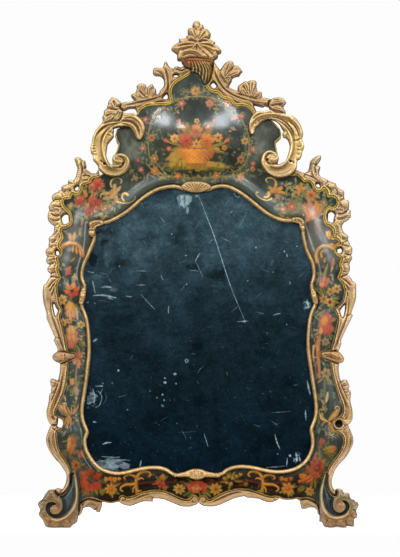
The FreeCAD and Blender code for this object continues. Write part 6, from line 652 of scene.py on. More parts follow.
def mirror_material():
    g = Nodes("old_silvered_glass")
    col = g.attr("Col")
    mt = g.sep(g.attr("Mtl"))
    streak = g.noise(9.0, 6.0, 0.62, g.mapping((1.0, 1.0, 0.5)), 0.6)
    tint = g.ramp(streak, [(0.3, (0.84, 0.85, 0.86)), (0.55, (1, 1, 1)), (0.8, (1.16, 1.15, 1.13))])
    c = g.mix(1.0, col, tint, "MULTIPLY")
    # blotched and scoured silvering
    blot = g.ramp(g.noise(52.0, 6.0, 0.68, None, 0.8), [(0.30, (0.66, 0.67, 0.69)), (0.5, (1, 1, 1)), (0.70, (1.36, 1.34, 1.30))])
    c = g.mix(1.0, c, blot, "MULTIPLY")
    scour = g.ramp(g.noise(300.0, 4.0, 0.65), [(0.36, (0.76, 0.77, 0.78)), (0.50, (0.99, 0.99, 0.99)), (0.64, (1.30, 1.28, 1.25))])
    c = g.mix(1.0, c, scour, "MULTIPLY")
    speck = g.ramp(g.noise(420.0, 2.0, 0.5), [(0.70, (0, 0, 0)), (0.74, (1, 1, 1))])
    c = g.mix(g.math("MULTIPLY", speck, 0.12), c, tuple(lin(140, 150, 152)))
    dot = g.ramp(g.noise(260.0, 1.0, 0.5), [(0.72, (0, 0, 0)), (0.77, (1, 1, 1))])
    c = g.mix(g.math("MULTIPLY", dot, 0.34), c, tuple(lin(132, 148, 150)))
    g.link(c, g.bsdf.inputs["Base Color"])
    g.link(mt[0], g.bsdf.inputs["Metallic"])
    g.link(g.math("ADD", mt[1], g.math("MULTIPLY", speck, 0.1), clamp=True), g.bsdf.inputs["Roughness"])
    g.link(g.bump(g.noise(14.0, 2.0), 0.06, 0.002), g.bsdf.inputs["Normal"])
    return g.mat


def pine_material(name, along, dark=1.0, shift=0.0):
    g = Nodes(name)
    scale = {"x": (0.9, 9.0, 9.0), "z": (9.0, 9.0, 0.9)}[along]
    v = g.mapping(scale, loc=(shift, 0.0, shift))
    ring = g.wave(4.0 if along == "x" else 9.0, g.mapping({"x": (0.9, 1.0, 4.6), "z": (5.0, 1.0, 0.25)}[along], loc=(shift, 0.0, 1.7 * shift)), 10.0, 3.0, 0.8, {"x": "Z", "z": "X"}[along])
    fibre = g.noise(36.0, 8.0, 0.68, v)
    stain = g.noise(7.0, 5.0, 0.6)
    base = g.ramp(ring, [(0.05, tuple(lin(128, 91, 55) * dark)), (0.5, tuple(lin(145, 105, 64) * dark)), (0.95, tuple(lin(154, 114, 71) * dark))])
    c = g.mix(g.math("MULTIPLY", g.ramp(fibre, [(0.35, (1, 1, 1)), (0.6, (0, 0, 0))]), 0.55), base, tuple(lin(84, 56, 32) * dark))
    c = g.mix(g.math("MULTIPLY", g.ramp(stain, [(0.45, (0, 0, 0)), (0.75, (1, 1, 1))]), 0.5), c, tuple(lin(66, 46, 30) * dark))
    g.link(c, g.bsdf.inputs["Base Color"])
    g.link(g.math("ADD", 0.62, g.math("MULTIPLY", fibre, 0.25)), g.bsdf.inputs["Roughness"])
    b = g.bump(fibre, 0.5, 0.0008)
    b = g.bump(ring, 0.15, 0.0006, b)
    g.link(b, g.bsdf.inputs["Normal"])
    return g.mat


def iron_material():
    g = Nodes("wrought_iron")
    n1 = g.noise(140.0, 6.0, 0.65)
    n2 = g.noise(520.0, 3.0, 0.6)
    c = g.ramp(n1, [(0.3, tuple(lin(46, 42, 39))), (0.55, tuple(lin(70, 62, 55))), (0.75, tuple(lin(104, 68, 44)))])
    g.link(c, g.bsdf.inputs["Base Color"])
    g.link(g.ramp(n1, [(0.4, (0.85, 0.85, 0.85)), (0.7, (0.25, 0.25, 0.25))]), g.bsdf.inputs["Metallic"])
    g.link(g.math("ADD", 0.38, g.math("MULTIPLY", n1, 0.35)), g.bsdf.inputs["Roughness"])
    b = g.bump(n1, 0.5, 0.0008)
    g.link(g.bump(n2, 0.3, 0.0003, b), g.bsdf.inputs["Normal"])
    return g.mat


GILT_MAT = gilding_material()
LACQUER_MAT = {"x": lacquer_material("painted_lacquer", "x"), "z": lacquer_material("painted_lacquer_stiles", "z"), "rail": lacquer_material("painted_lacquer_rail", "x", 0.05)}
MIRROR_MAT = mirror_material()
BOARD_MAT = {k: pine_material("aged_pine_" + k, "x", d, s) for k, d, s in (("upper", 0.94, 0.0), ("middle", 1.04, 2.3), ("lower", 0.90, 5.1), ("rail", 1.10, 7.7))}
STRUT_MAT = pine_material("aged_pine_strut", "z", 0.8)
IRON_MAT = iron_material()


# ---------------------------------------------------------------- painting on the lacquer
class Canvas:
    def __init__(self, p, base, rough):
        self.p = p
        self.c = np.tile(np.array(base, float), (len(p), 1))
        self.m = np.zeros(len(p))
        self.r = np.full(len(p), float(rough))
        self.lift = np.zeros(len(p))
        self.fade = True
        self.wear = 0.84 + 0.12 * hash_noise(p, 2.2, 91) + 0.06 * hash_noise(p, 0.9, 93)

    def pick(self, x, y, r):
        i = np.nonzero((np.abs(self.p[:, 0] - x) < r) & (np.abs(self.p[:, 1] - y) < r))[0]
        return i, self.p[i, 0] - x, self.p[i, 1] - y

    def mix(self, i, a, col, metal=None, rough=0.34, lift=0.0):
        a = np.clip(a, 0, 1) * self.wear[i]
        # faded, browned paint, darker and browner towards the foot
        col = np.asarray(col, float)
        if self.fade:
            lum = col.mean(-1, keepdims=True) if col.ndim > 1 else col.mean()
            col = (col * 0.88 + lum * 0.12) * np.array([0.82, 0.74, 0.53]) * (1 - np.array([0.38, 0.43, 0.66]) * sstep(self.p[i, 1], 408, 458)[:, None])
        self.c[i] = self.c[i] * (1 - a[:, None]) + col * a[:, None]
        if metal is not None:
            self.m[i] = self.m[i] * (1 - a) + metal * a
        else:
            self.m[i] = self.m[i] * (1 - a)
        self.r[i] = self.r[i] * (1 - a) + rough * a
        if lift:
            self.lift[i] = np.maximum(self.lift[i], 0.3 * lift * a)

    def blob(self, x, y, rx, ry, ang, col, soft=0.35, strength=1.0, lift=0.15):
        i, dx, dy = self.pick(x, y, max(rx, ry) * 1.5)
        if not len(i):
            return
        c, s = math.cos(math.radians(ang)), math.sin(math.radians(ang))
        u, v = dx * c + dy * s, -dx * s + dy * c
        q = np.sqrt((u / rx) ** 2 + (v / ry) ** 2)
        self.mix(i, strength * (1 - sstep(q, 1 - soft, 1 + soft * 0.4)), col, lift=lift)

    def bloom(self, x, y, rx, ry, ang, col, light, ribs=4, lift=0.3):
        """Soft brushed petal mass: a lobed patch with ribs running lengthwise, lighter at the top."""
        i, dx, dy = self.pick(x, y, max(rx, ry) * 1.6)
        if not len(i):
            return
        c, s = math.cos(math.radians(ang)), math.sin(math.radians(ang))
        u, v = dx * c + dy * s, -dx * s + dy * c
        th = np.arctan2(v / ry, u / rx)
        q = np.sqrt((u / rx) ** 2 + (v / ry) ** 2) / (1 + 0.09 * np.cos(ribs * th + x) + 0.05 * np.cos((ribs + 3) * th + y))
        n = hash_noise(self.p[i], 1.6, int(x * 3 + y))
        a = 1 - sstep(q + 0.10 * n, 0.74, 1.10)
        rib = 0.5 + 0.5 * np.cos(ribs * 1.6 * u / rx + 0.5 * np.sin(v / ry * 2.0 + x) + y)
        k = np.clip(0.50 * rib + 0.42 * (0.5 - 0.5 * v / ry) + 0.16 * n, 0, 1)[:, None]
        cc = np.asarray(col, float) * (1 - k) + np.asarray(light, float) * k
        cc = cc * (1 - 0.42 * sstep(q, 0.55, 1.0) * (0.5 + 0.5 * (v > 0)))[:, None]
        self.mix(i, a, cc, lift=lift)

    def stroke(self, line, w, col, w2=None, metal=None, soft=0.45, alpha=1.0, lift=0.0, taper=False, rough=0.34, closed=False):
        line = np.asarray(line, float)
        lo, hi = line.min(0) - 2 * w - 1, line.max(0) + 2 * w + 1
        i = np.nonzero(((self.p > lo) & (self.p < hi)).all(1))[0]
        if not len(i):
            return
        d, t = dist_line(self.p[i], line, closed)
        ww = w + ((w if w2 is None else w2) - w) * t
        if taper:
            ww = ww * np.sqrt(np.clip(np.sin(math.pi * np.clip(t, 0.02, 0.98)), 0.05, 1))
        self.mix(i, alpha * (1 - sstep(d, ww * (1 - soft), ww * (1 + soft))), col, metal=metal, lift=lift, rough=rough)

    def leaf(self, x0, y0, x1, y1, w, col, vein=None, bend=0.0, metal=None, alpha=1.0, lift=0.12):
        a, b = np.array([x0, y0], float), np.array([x1, y1], float)
        ln = np.linalg.norm(b - a)
        i, dx, dy = self.pick((x0 + x1) / 2, (y0 + y1) / 2, ln * 0.75 + w + abs(bend))
        if not len(i):
            return
        e = (b - a) / ln
        u = ((self.p[i] - a) @ e) / ln
        v = (self.p[i] - a) @ np.array([-e[1], e[0]]) - bend * 4 * u * (1 - u)
        prof = w * np.sqrt(np.clip(np.sin(math.pi * np.clip(u, 0, 1)) ** 1.3, 0, 1))
        k = np.clip(1 - sstep(np.abs(v), prof - 0.3, prof + 0.25), 0, 1) * (u > 0) * (u < 1)
        col = np.asarray(col, float)
        shade = (0.78 + 0.4 * sstep(v, w * 0.6, -w * 0.6))[:, None] * col
        self.mix(i, alpha * k, shade, metal=metal, lift=lift)
        if vein is not None:
            self.mix(i, alpha * k * gauss(v, 0.28) * 0.8, vein, metal=metal, lift=lift)

    def flower(self, x, y, r, n, col, inner, centre, ph=0.0, rnd=0.6, squash=1.0, ang=0.0, cen_r=0.26, lift=0.3, depth=0.36):
        i, dx, dy = self.pick(x, y, r * 1.4)
        if not len(i):
            return
        c, s = math.cos(math.radians(ang)), math.sin(math.radians(ang))
        u, v = dx * c + dy * s, (-dx * s + dy * c) / squash
        q = np.sqrt(u * u + v * v) / r
        th = np.arctan2(v, u) - ph
        pet = np.abs(np.cos(n / 2 * th)) ** rnd
        edge = (1 - depth) + depth * pet
        a = 1 - sstep(q / edge, 0.72, 1.14)
        col, inner = np.asarray(col, float), np.asarray(inner, float)
        t = np.clip(q, 0, 1)[:, None]
        cc = inner * (1 - t) + col * t
        cc = cc * (0.62 + 0.38 * sstep(pet, 0.05, 0.5))[:, None]
        cc = cc * (1.0 + 0.22 * sstep(-(u + v), -r, r) - 0.08)[:, None]
        self.mix(i, a, cc, lift=lift)
        self.mix(i, 1 - sstep(q, cen_r * 0.7, cen_r * 1.2), centre, lift=lift * 1.3)

    def rose(self, x, y, r, dark, mid, light, seed=0, squash=1.0):
        """Loose full flower: overlapping brushed petals round a dark heart."""
        rng = np.random.default_rng(int(seed * 10 + x + 3 * y))
        dark, mid, light = (np.asarray(k, float) for k in (dark, mid, light))
        self.blob(x, y, r * 0.98, r * 0.98 * squash, 0, dark * 1.3, 0.5)
        for k in range(6):
            a = 2 * math.pi * (k + rng.uniform(-0.25, 0.25)) / 6 + seed
            up = 0.5 - 0.5 * math.sin(a)
            col = mid * (0.74 + 0.4 * up)
            self.bloom(x + 0.56 * r * math.cos(a), y + 0.56 * r * squash * math.sin(a), r * 0.44, r * 0.54, math.degrees(a) + 90 + rng.uniform(-25, 25), col, col * 0.5 + light * 0.5 * (0.6 + 0.5 * up), 4)
        self.bloom(x, y, r * 0.4, r * 0.36 * squash, 30 * seed, mid * 0.7, mid * 1.15, 4)
        self.blob(x + 0.08 * r, y + 0.05 * r, r * 0.17, r * 0.13, 0, dark * 0.8, 0.6)

    def tulip(self, x, y, ln, w, ang, col, light):
        e = np.array([math.sin(math.radians(ang)), -math.cos(math.radians(ang))])
        s = np.array([-e[1], e[0]])
        b = np.array([x, y]) - e * ln * 0.5
        for k, c in ((-1, 0.8), (1, 0.9), (0, 1.0)):
            tip = b + e * ln * (1.0 if k == 0 else 0.94) + s * w * 0.55 * k
            self.leaf(b[0], b[1], tip[0], tip[1], w * (0.42 if k == 0 else 0.4), np.asarray(col, float) * c, light if k == 0 else None, bend=-k * w * 0.22, lift=0.3)

    def spray(self, line, leaf, w, cols, seed=1, stem=None, every=2.6, stem_w=0.3):
        line = np.asarray(line, float)
        if stem is not None:
            self.stroke(line, stem_w, stem, lift=0.1)
        q = resample(line, every, False)
        rng = np.random.default_rng(seed)
        for k in range(len(q)):
            a = q[max(0, k - 1)]
            b = q[min(len(q) - 1, k + 1)]
            t = math.atan2(*(b - a)[::-1])
            for sgn in (-1, 1):
                if rng.uniform() < 0.18:
                    continue
                u = t + sgn * rng.uniform(0.5, 1.1)
                l = leaf * rng.uniform(0.7, 1.25)
                c = cols[rng.integers(len(cols))]
                self.leaf(q[k][0], q[k][1], q[k][0] + l * math.cos(u), q[k][1] + l * math.sin(u), w * rng.uniform(0.8, 1.2), c, bend=sgn * rng.uniform(-0.4, 0.6))


# ---------------------------------------------------------------- lacquered boards
RED, SALMON, PINK = lin(176, 44, 34), lin(206, 92, 62), lin(214, 132, 110)
ORANGE, AMBER, YELLOW = lin(222, 122, 44), lin(226, 158, 66), lin(222, 186, 86)
CREAM, TAN, OLIVE = lin(226, 208, 160), lin(186, 146, 96), lin(134, 122, 56)
MOSS, GREEN, DEEP = lin(92, 100, 50), lin(58, 84, 52), lin(96, 22, 18)
GOLDP, GOLDL = lin(196, 148, 78), lin(224, 182, 104)
EDGE = lin(196, 160, 62)
GROUND = lin(45, 51, 41)


def lacquer_height(p, ts, to):
    crest = 1 - sstep(p[:, 1], 206, 250)
    # quirk beside the sight moulding, then a rounded lip that falls away outwards
    h = 14.0 + 7.6 * sstep(ts, 2.5, 5.4)
    width = ts + to
    fall = 5.0 + crest * 8.0
    h = h - (1.6 + 1.4 * crest) * sstep(ts, 5.2, 5.2 + fall)
    c = 8.4 + (width - 8.4) * 0.5
    half = np.maximum((width - 8.4) * 0.5, 2.0)
    arch = np.sqrt(np.clip(1 - ((ts - c) / (half * 1.02)) ** 2, 0, 1))
    cushion = np.clip(half * 1.25, 4.0, 11.0) * arch
    slope = 6.0 * sstep(ts, 14.0, 50.0)
    h = h + (1 - crest) * cushion + crest * slope
    # domed oval in the crest, swelling gently out of the board
    q = ((p[:, 0] - 196.0) / 50.5) ** 2 + ((p[:, 1] - 137.0) / 41.5) ** 2
    dome = 23.0 + 15.5 * (1 - np.minimum(q, 1.6))
    k = 3.4
    h = np.maximum(h, dome) + k * np.exp(-np.abs(h - dome) / k) * 0.5
    # softened outer edge
    h = h - 1.6 * (1 - sstep(to, 0.0, 1.5)) ** 2
    return h


def paint_ground(c, ts, to):
    n = fbm(c.p, 22.0, 3)
    # brushed ground, from black-green to slate
    tone = sstep(0.7 * fbm(c.p, 13.0, 33) + 0.5 * fbm(c.p * np.array([1.0, 0.5]), 3.6, 35), -0.45, 0.55)[:, None]
    c.c = c.c * 0 + lin(32, 39, 31) * (1 - tone) + lin(62, 71, 63) * tone
    c.c *= (1 + (0.30 + 0.55 * sstep(np.abs(c.p[:, 0] - 196), 50, 62)) * (1 - sstep(c.p[:, 1], 150, 185)))[:, None]
    ear = (sstep(np.abs(c.p[:, 0] - 196), 52, 62) * (1 - sstep(c.p[:, 1], 156, 172)))[:, None]
    c.c = c.c * (1 + ear * np.array([0.92, 0.50, 0.34]))
    # painted shade along the outer edge beside the raised gilt, in the upper part
    rim = (1 - sstep(c.p[:, 1], 300, 380)) * (1 - sstep(to, 2.0, 8.0)) * 0.35
    c.c *= (1 - rim)[:, None]
    warm = sstep(fbm(c.p, 34.0, 9), 0.05, 0.7)[:, None] * 0.4
    c.c = c.c * (1 - warm) + lin(46, 40, 30) * warm
    # browner and darker along the bottom rail, where hands and dust have worn it
    low = (sstep(c.p[:, 1], 464, 478) * sstep(c.p[:, 0], 84, 104) * (1 - sstep(c.p[:, 0], 296, 316)))[:, None]
    c.c = c.c * (1 - low) + lin(24, 15, 2) * (1.0 + 0.3 * n)[:, None] * low
    # painted sheen: soft pale blue-grey streaks of reflection running down the stiles
    haze = (sstep(fbm(c.p * np.array([1.6, 0.28]), 8.0, 41), -0.1, 0.7) * (1 - sstep(c.p[:, 1], 440, 470)) * sstep(c.p[:, 1], 200, 250))[:, None] * 0.4
    c.c = c.c * (1 - haze) + lin(74, 82, 84) * haze
    # olive-black ground under the domed oval
    dome = (1 - sstep(((c.p[:, 0] - 196.0) / 50.5) ** 2 + ((c.p[:, 1] - 137.0) / 41.5) ** 2, 0.7, 1.2))[:, None] * 0.6
    c.c = c.c * (1 - dome) + (lin(34, 34, 18) * (1 - tone) + lin(64, 66, 46) * tone) * dome
    # painted reflection: a pale slate band in the cove over the arch, streaked along it
    cove = (1 - sstep(c.p[:, 1], 208, 226)) * sstep(ts, 2.4, 4.0) * (1 - sstep(ts + 1.2 * n, 9.0, 13.0)) * (0.62 + 0.3 * fbm(c.p, 6.0, 52))
    c.c = c.c * (1 - cove)[:, None] + lin(86, 101, 100) * cove[:, None]
    reflection_streaks = fbm(np.stack([ts * 2.6, c.p[:, 0] * 0.22], 1), 3.0, 58)
    c.c = c.c * (1 + 0.55 * np.clip(cove, 0, 1) * reflection_streaks)[:, None]
    # painted shade in the quirk
    dk = (1 - sstep(ts, 1.8, 3.6))[:, None] * 0.6
    c.c = c.c * (1 - dk)


def edge_line(c, to):
    # gilt border line with a dark inner shadow line, none where the feet and the neck grow out of the boards
    x, y = c.p[:, 0], c.p[:, 1]
    wob = 0.22 * hash_noise(c.p, 4.0, 21)
    low = sstep(y, 268, 300)
    k = 1 - sstep(to + wob, 0.9 - 0.2 * low, 1.5 - 0.3 * low)
    k = k * (1 - sstep(y, 468, 474) * (1 - sstep(y, 500, 505)) * ((x < 83) | (x > 314)))
    k = k * (1 - (1 - sstep(np.hypot(x - 199, y - 77), 9, 13)) * (x > 189.5))
    tint = EDGE * (1 - low)[:, None] + lin(146, 110, 60) * low[:, None]
    c.c = c.c * (1 - k)[:, None] + tint * (0.86 + 0.3 * hash_noise(c.p, 2.5, 5))[:, None] * k[:, None]
    c.m = c.m * (1 - k) + 0.25 * k
    c.r = c.r * (1 - k) + 0.55 * k
    c.lift = np.maximum(c.lift, 0.7 * gauss(to - 0.9, 0.9) * k)
    sh = gauss(to - 2.1, 0.5) * 0.5 * k.max()
    c.c = c.c * (1 - sh)[:, None]


def leaves_round(c, x, y, r, n, cols, seed, ln=4.0, w=1.1, spread=None):
    rng = np.random.default_rng(seed)
    for k in range(n):
        t = rng.uniform(0, 2 * math.pi) if spread is None else math.radians(spread[0] + (spread[1] - spread[0]) * (k + 0.5) / n)
        l = ln * rng.uniform(0.75, 1.3)
        c.leaf(x + r * 0.7 * math.cos(t), y + r * 0.7 * math.sin(t), x + (r + l) * math.cos(t), y + (r + l) * math.sin(t), w * rng.uniform(0.8, 1.25), cols[rng.integers(len(cols))], CREAM * 0.6, bend=rng.uniform(-0.6, 0.6))


FILL = [lin(146, 146, 84), lin(120, 134, 84), lin(124, 144, 150), lin(92, 118, 84), lin(178, 158, 100), lin(160, 156, 130), lin(196, 178, 134)]


def brushwork(c, n, spot, seed, ln=4.4, w=1.0, alpha=0.6, cols=None):
    """Loose leafy brush marks that fill the ground between the flowers."""
    rng = np.random.default_rng(seed)
    cols = cols or FILL
    for _ in range(n):
        x, y = spot(rng)
        a, l = rng.uniform(0, 2 * math.pi), ln * rng.uniform(0.6, 1.3)
        c.leaf(x, y, x + l * math.cos(a), y + l * math.sin(a), w * rng.uniform(0.5, 1.3), cols[rng.integers(len(cols))], None, bend=rng.uniform(-0.8, 0.8), alpha=alpha * rng.uniform(0.5, 1.15), lift=0.0)


def oval(x, y, rx, ry, lo=0.0):
    def spot(rng):
        a, r = rng.uniform(0, 2 * math.pi), math.sqrt(rng.uniform(lo * lo, 1))
        return x + rx * r * math.cos(a), y + ry * r * math.sin(a)
    return spot


def acanthus(c, parts, col, light):
    """Broad painted leaves, each a curved tongue with a lighter back and a painted shadow."""
    for x0, y0, x1, y1, w, bend in parts:
        # painted shadow: a dark copy of the leaf offset down and to the right
        c.leaf(x0 + 0.5, y0 + 0.6, x1 + 0.5, y1 + 0.6, w, lin(60, 36, 20), None, bend=bend, alpha=0.5)
        c.leaf(x0, y0, x1, y1, w, col, None, bend=bend)
        c.leaf(x0, y0, x1, y1, w * 0.42, light, None, bend=bend * 1.15, alpha=0.85)


def paint_highlights(c):
    """Painted highlights: pale sheen patches on the varnish and pale highlight streaks along the arrises."""
    c.fade = False
    for x, y, rx, ry, a, k in ((79.5, 212, 4.4, 9, 26, 0.42), (76, 220, 3.4, 7, 14, 0.36), (69.6, 250.4, 3.8, 3.0, 0, 0.40), (67, 258, 3.6, 7, 12, 0.34), (66, 270, 3.2, 7, 4, 0.26), (66, 284, 2.8, 5, 0, 0.24),
                               (312, 209, 3.6, 8, -24, 0.42), (317, 222, 3.4, 9, -18, 0.44), (321, 235, 3.2, 9, -16, 0.40), (325, 247, 3.4, 7, -20, 0.40), (328.4, 257, 3.0, 7, -12, 0.30), (283, 199, 7, 4, 20, 0.24), (124, 176, 9, 4, -20, 0.12)):
        c.blob(x, y, rx, ry, a, lin(150, 152, 162), 0.9, k, lift=0)
    # painted highlight streaks along the arrises
    for line, w, k in (("85.8,221.6 85.2,231 84.6,241 83.2,251.4", 0.55, 0.7), ("80.8,257 78.6,264 76.8,273 77.4,280", 0.6, 0.6), ("304.4,221.6 307.4,231 310.6,241 313.8,251", 0.8, 0.55), ("318.2,262 320,270 320.6,279", 0.55, 0.45),
                       ("80.8,428 82.2,436 82.4,444", 0.5, 0.5), ("84.4,448.6 88.2,457 93.4,464.4 99.6,470.6", 0.55, 0.6), ("82.2,452 86,460 91.8,467.8", 0.45, 0.45), ("79.6,311 83.0,318 85.2,326", 0.5, 0.5), ("312.0,316 311.4,326 311.8,338", 0.5, 0.4)):
        c.stroke(smooth_open(pts(line)), w, lin(162, 178, 182), alpha=k, soft=0.8)
    c.fade = True


def foliage(c, arms, w=1.5, col=GOLDP, light=GOLDL):
    """Gold scroll foliage: thick tapering arms with a dark outline and a painted highlight along the upper-left side.
    """
    for line, w0, w1 in arms:
        q = pts(line) if isinstance(line, str) else np.asarray(line, float)
        q = resample(smooth_open(q), 0.5, False)
        c.stroke(q, w0 + 0.35, lin(70, 44, 22), (w1 + 0.3), alpha=0.55)
        c.stroke(q, w0, col, w1, metal=0.25, lift=0.5)
        # painted highlight: a pale band offset up and to the left
        c.stroke(q + np.array([-0.25, -0.3]) * w0 * 0.6, w0 * 0.38, light, w1 * 0.4, metal=0.3, lift=0.6)


def smooth_open(a, k=6):
    a = np.asarray(a, float)
    if len(a) < 3:
        return a
    e = np.vstack([2 * a[0] - a[1], a, 2 * a[-1] - a[-2]])
    out = []
    for i in range(1, len(e) - 2):
        p0, p1, p2, p3 = e[i - 1], e[i], e[i + 1], e[i + 2]
        for j in range(k):
            t = j / k
            out.append(0.5 * ((2 * p1) + (-p0 + p2) * t + (2 * p0 - 5 * p1 + 4 * p2 - p3) * t * t + (-p0 + 3 * p1 - 3 * p2 + p3) * t ** 3))
    out.append(a[-1])
    return np.array(out)


def paint_crest(c):
    # vine ring round the dome
    ring = smooth_open(pts("164,176.5 156,169 150.5,160 148.2,149 148,138 150,127 155,117 163,108 173,101.8 185,98 198,96.8 210,98 221,102.3 231,109 239,117.5 245,127 248.7,138 249,149 247,160 241,168 233,173"))
    c.stroke(ring, 0.55, OLIVE * 1.1, lift=0.15)
    c.stroke(ring + np.array([0.25, -0.3]), 0.28, lin(196, 172, 98), lift=0.2)
    c.spray(ring, 3.4, 0.75, [OLIVE, MOSS, TAN, lin(150, 140, 70), GREEN], 4, every=5.2)
    c.stroke(smooth_open(pts("146,163 152,170 160,177 166,176 162,170 156,163")), 0.4, lin(180, 160, 90), lift=0.1)
    # border along the foot of the crest
    low = smooth_open(pts("160,179.5 168,177.4 178,176.6 190,178.6 197,177.2 206,178.8 216,176.2 226,177 234,176 244,172"))
    c.stroke(low, 0.5, lin(168, 140, 62), lift=0.15)
    c.spray(low, 2.6, 0.7, [OLIVE, TAN, MOSS], 14, every=4.0)
    brushwork(c, 260, oval(197, 138, 62, 50, 0.74), 301, 4.0, 0.9, 0.7)
    brushwork(c, 36, oval(196, 91, 15, 8), 302, 3.6, 0.7, 0.5)
    brushwork(c, 90, oval(196, 176, 60, 5), 303, 3.6, 0.8, 0.75)
    brushwork(c, 90, oval(196, 146, 40, 24), 304, 5.0, 1.1, 0.6)
    F = c.flower
    F(195.6, 91.3, 5.2, 6, lin(206, 168, 104), lin(226, 150, 72), lin(150, 84, 40), 0.3)
    F(181.6, 104.0, 4.2, 5, lin(196, 74, 70), lin(222, 140, 120), CREAM, 0.2)
    F(209.6, 103.6, 4.6, 5, lin(206, 118, 104), lin(226, 166, 140), lin(190, 60, 60), 0.9)
    F(228.2, 102.8, 4.6, 6, lin(196, 140, 56), lin(214, 96, 40), lin(84, 42, 24), 0.5)
    F(145.5, 120.0, 3.6, 5, lin(188, 84, 74), lin(206, 120, 100), CREAM, 0.1)
    F(159.5, 117.5, 2.8, 5, lin(196, 140, 120), lin(206, 150, 130), CREAM, 0.4)
    F(151.7, 138.3, 4.0, 6, lin(220, 160, 80), lin(204, 110, 44), lin(110, 50, 24), 0.0)
    F(142.8, 148.6, 3.8, 5, lin(190, 136, 110), lin(200, 110, 84), CREAM, 0.7)
    F(154.4, 158.8, 4.4, 6, lin(206, 144, 84), lin(196, 96, 48), lin(240, 210, 150), 0.2)
    F(138.0, 160.6, 2.8, 4, lin(182, 62, 62), lin(200, 90, 80), AMBER, 0.5)
    F(141.0, 169.8, 3.2, 5, lin(196, 106, 104), lin(210, 130, 120), CREAM, 0.2)
    F(154.4, 171.0, 4.2, 6, lin(212, 140, 74), lin(196, 90, 44), YELLOW, 0.6)
    F(234.7, 118.8, 3.8, 5, lin(192, 80, 66), lin(210, 126, 96), AMBER, 0.0)
    F(241.9, 116.8, 3.5, 5, lin(190, 86, 70), lin(206, 110, 84), CREAM, 0.6)
    F(245.0, 141.4, 4.2, 6, lin(224, 178, 84), lin(214, 140, 50), lin(120, 64, 28), 0.3)
    F(253.4, 149.6, 3.8, 5, lin(196, 140, 110), lin(196, 100, 76), CREAM, 0.1)
    F(240.8, 159.9, 4.2, 6, lin(206, 150, 92), lin(190, 96, 54), lin(110, 50, 28), 0.4)
    F(253.2, 163.8, 3.0, 5, lin(184, 76, 62), lin(200, 116, 80), CREAM, 0.8)
    F(252.6, 169.2, 3.0, 5, lin(190, 116, 80), lin(206, 140, 90), DEEP, 0.2)
    F(240.8, 177.8, 4.0, 6, lin(222, 158, 76), lin(206, 100, 44), lin(110, 50, 24), 0.5)
    F(177.8, 176.4, 3.8, 5, lin(196, 84, 56), lin(216, 140, 70), YELLOW, 0.3)
    F(197.9, 168.6, 4.0, 6, lin(218, 166, 82), lin(204, 116, 50), lin(120, 60, 28), 0.1)
    F(216.8, 175.7, 3.6, 5, lin(212, 134, 66), lin(190, 84, 44), YELLOW, 0.7)
    for k, (x, y) in enumerate([(140, 129), (262, 172), (232, 131), (160, 130), (186, 92), (206, 92), (176, 112), (216, 111), (246, 172), (134, 178), (130, 170)]):
        leaves_round(c, x, y, 0.6, 5, [OLIVE, MOSS, TAN, GREEN], 40 + k, 3.4, 0.8)
    for k, (x, y) in enumerate([(181.6, 104), (209.6, 103.6), (228.2, 102.8), (195.6, 91.3), (151.7, 138.3), (245, 141.4), (154.4, 158.8), (240.8, 159.9)]):
        leaves_round(c, x, y, 4.2, 4, [OLIVE, MOSS, GREEN, lin(150, 140, 72)], 70 + k, 3.2, 0.85)
    # flower basket on a golden grassy bank
    c.bloom(196, 166.0, 33, 5.2, 2, lin(150, 128, 44), lin(206, 172, 76), 9)
    c.bloom(184, 163.5, 19, 3.8, -6, lin(190, 156, 56), lin(224, 186, 84), 6)
    c.bloom(213, 165.5, 17, 3.4, 8, lin(196, 160, 60), lin(226, 190, 92), 6)
    c.bloom(175, 158.0, 9, 6.0, -20, lin(196, 160, 66), lin(222, 186, 92), 4)
    c.bloom(176, 169.0, 10, 2.4, 0, lin(96, 104, 46), lin(140, 132, 58), 4)
    c.bloom(216, 169.6, 9, 2.0, 4, lin(96, 104, 46), lin(140, 132, 58), 4)
    rng = np.random.default_rng(8)
    for k in range(26):
        x = rng.uniform(166, 227)
        y = 166.5 + rng.uniform(-3.0, 3.0)
        c.leaf(x, y + 1.5, x + rng.uniform(-2, 2), y - rng.uniform(1.5, 4.2), 0.6, [OLIVE, MOSS, lin(190, 164, 70)][k % 3], lift=0.1)
    # woven bowl
    bowl = pts("176,149.5 217,149.5 213,158.5 206.5,164.5 186.5,164.5 180,158.5")
    lo, hi = bowl.min(0) - 1, bowl.max(0) + 1
    i = np.nonzero(((c.p > lo) & (c.p < hi)).all(1))[0]
    if len(i):
        q = c.p[i]
        dd, _ = dist_line(q, bowl, True)
        ins = inside(q, [bowl])
        a = np.where(ins, sstep(dd, -0.2, 1.1), 0)
        u = (q[:, 0] - 196.5) / np.maximum(1, 20.5 - 0.6 * (q[:, 1] - 149.5))
        weave = 0.5 + 0.5 * np.sin(u * 20) * np.sin((q[:, 1] - 150) * 1.7)
        shade = (1.08 - 0.5 * u * u + 0.12 * (u < 0))[:, None]
        red = sstep(u, 0.1, 0.9)[:, None]
        body = lin(232, 132, 36) * (1 - red) + lin(196, 78, 56) * red
        col = (body * (1 - 0.7 * weave[:, None]) + lin(244, 186, 84) * 0.7 * weave[:, None]) * shade
        c.mix(i, a, col * 1.12, lift=0.3)
    c.stroke(smooth_open(pts("175,150.4 186,148.2 197,147.4 208,148.2 218,150.4")), 1.7, lin(236, 162, 62), lift=0.5)
    c.stroke(pts("187,165.2 206,165.2"), 1.2, lin(190, 116, 46), lift=0.4)
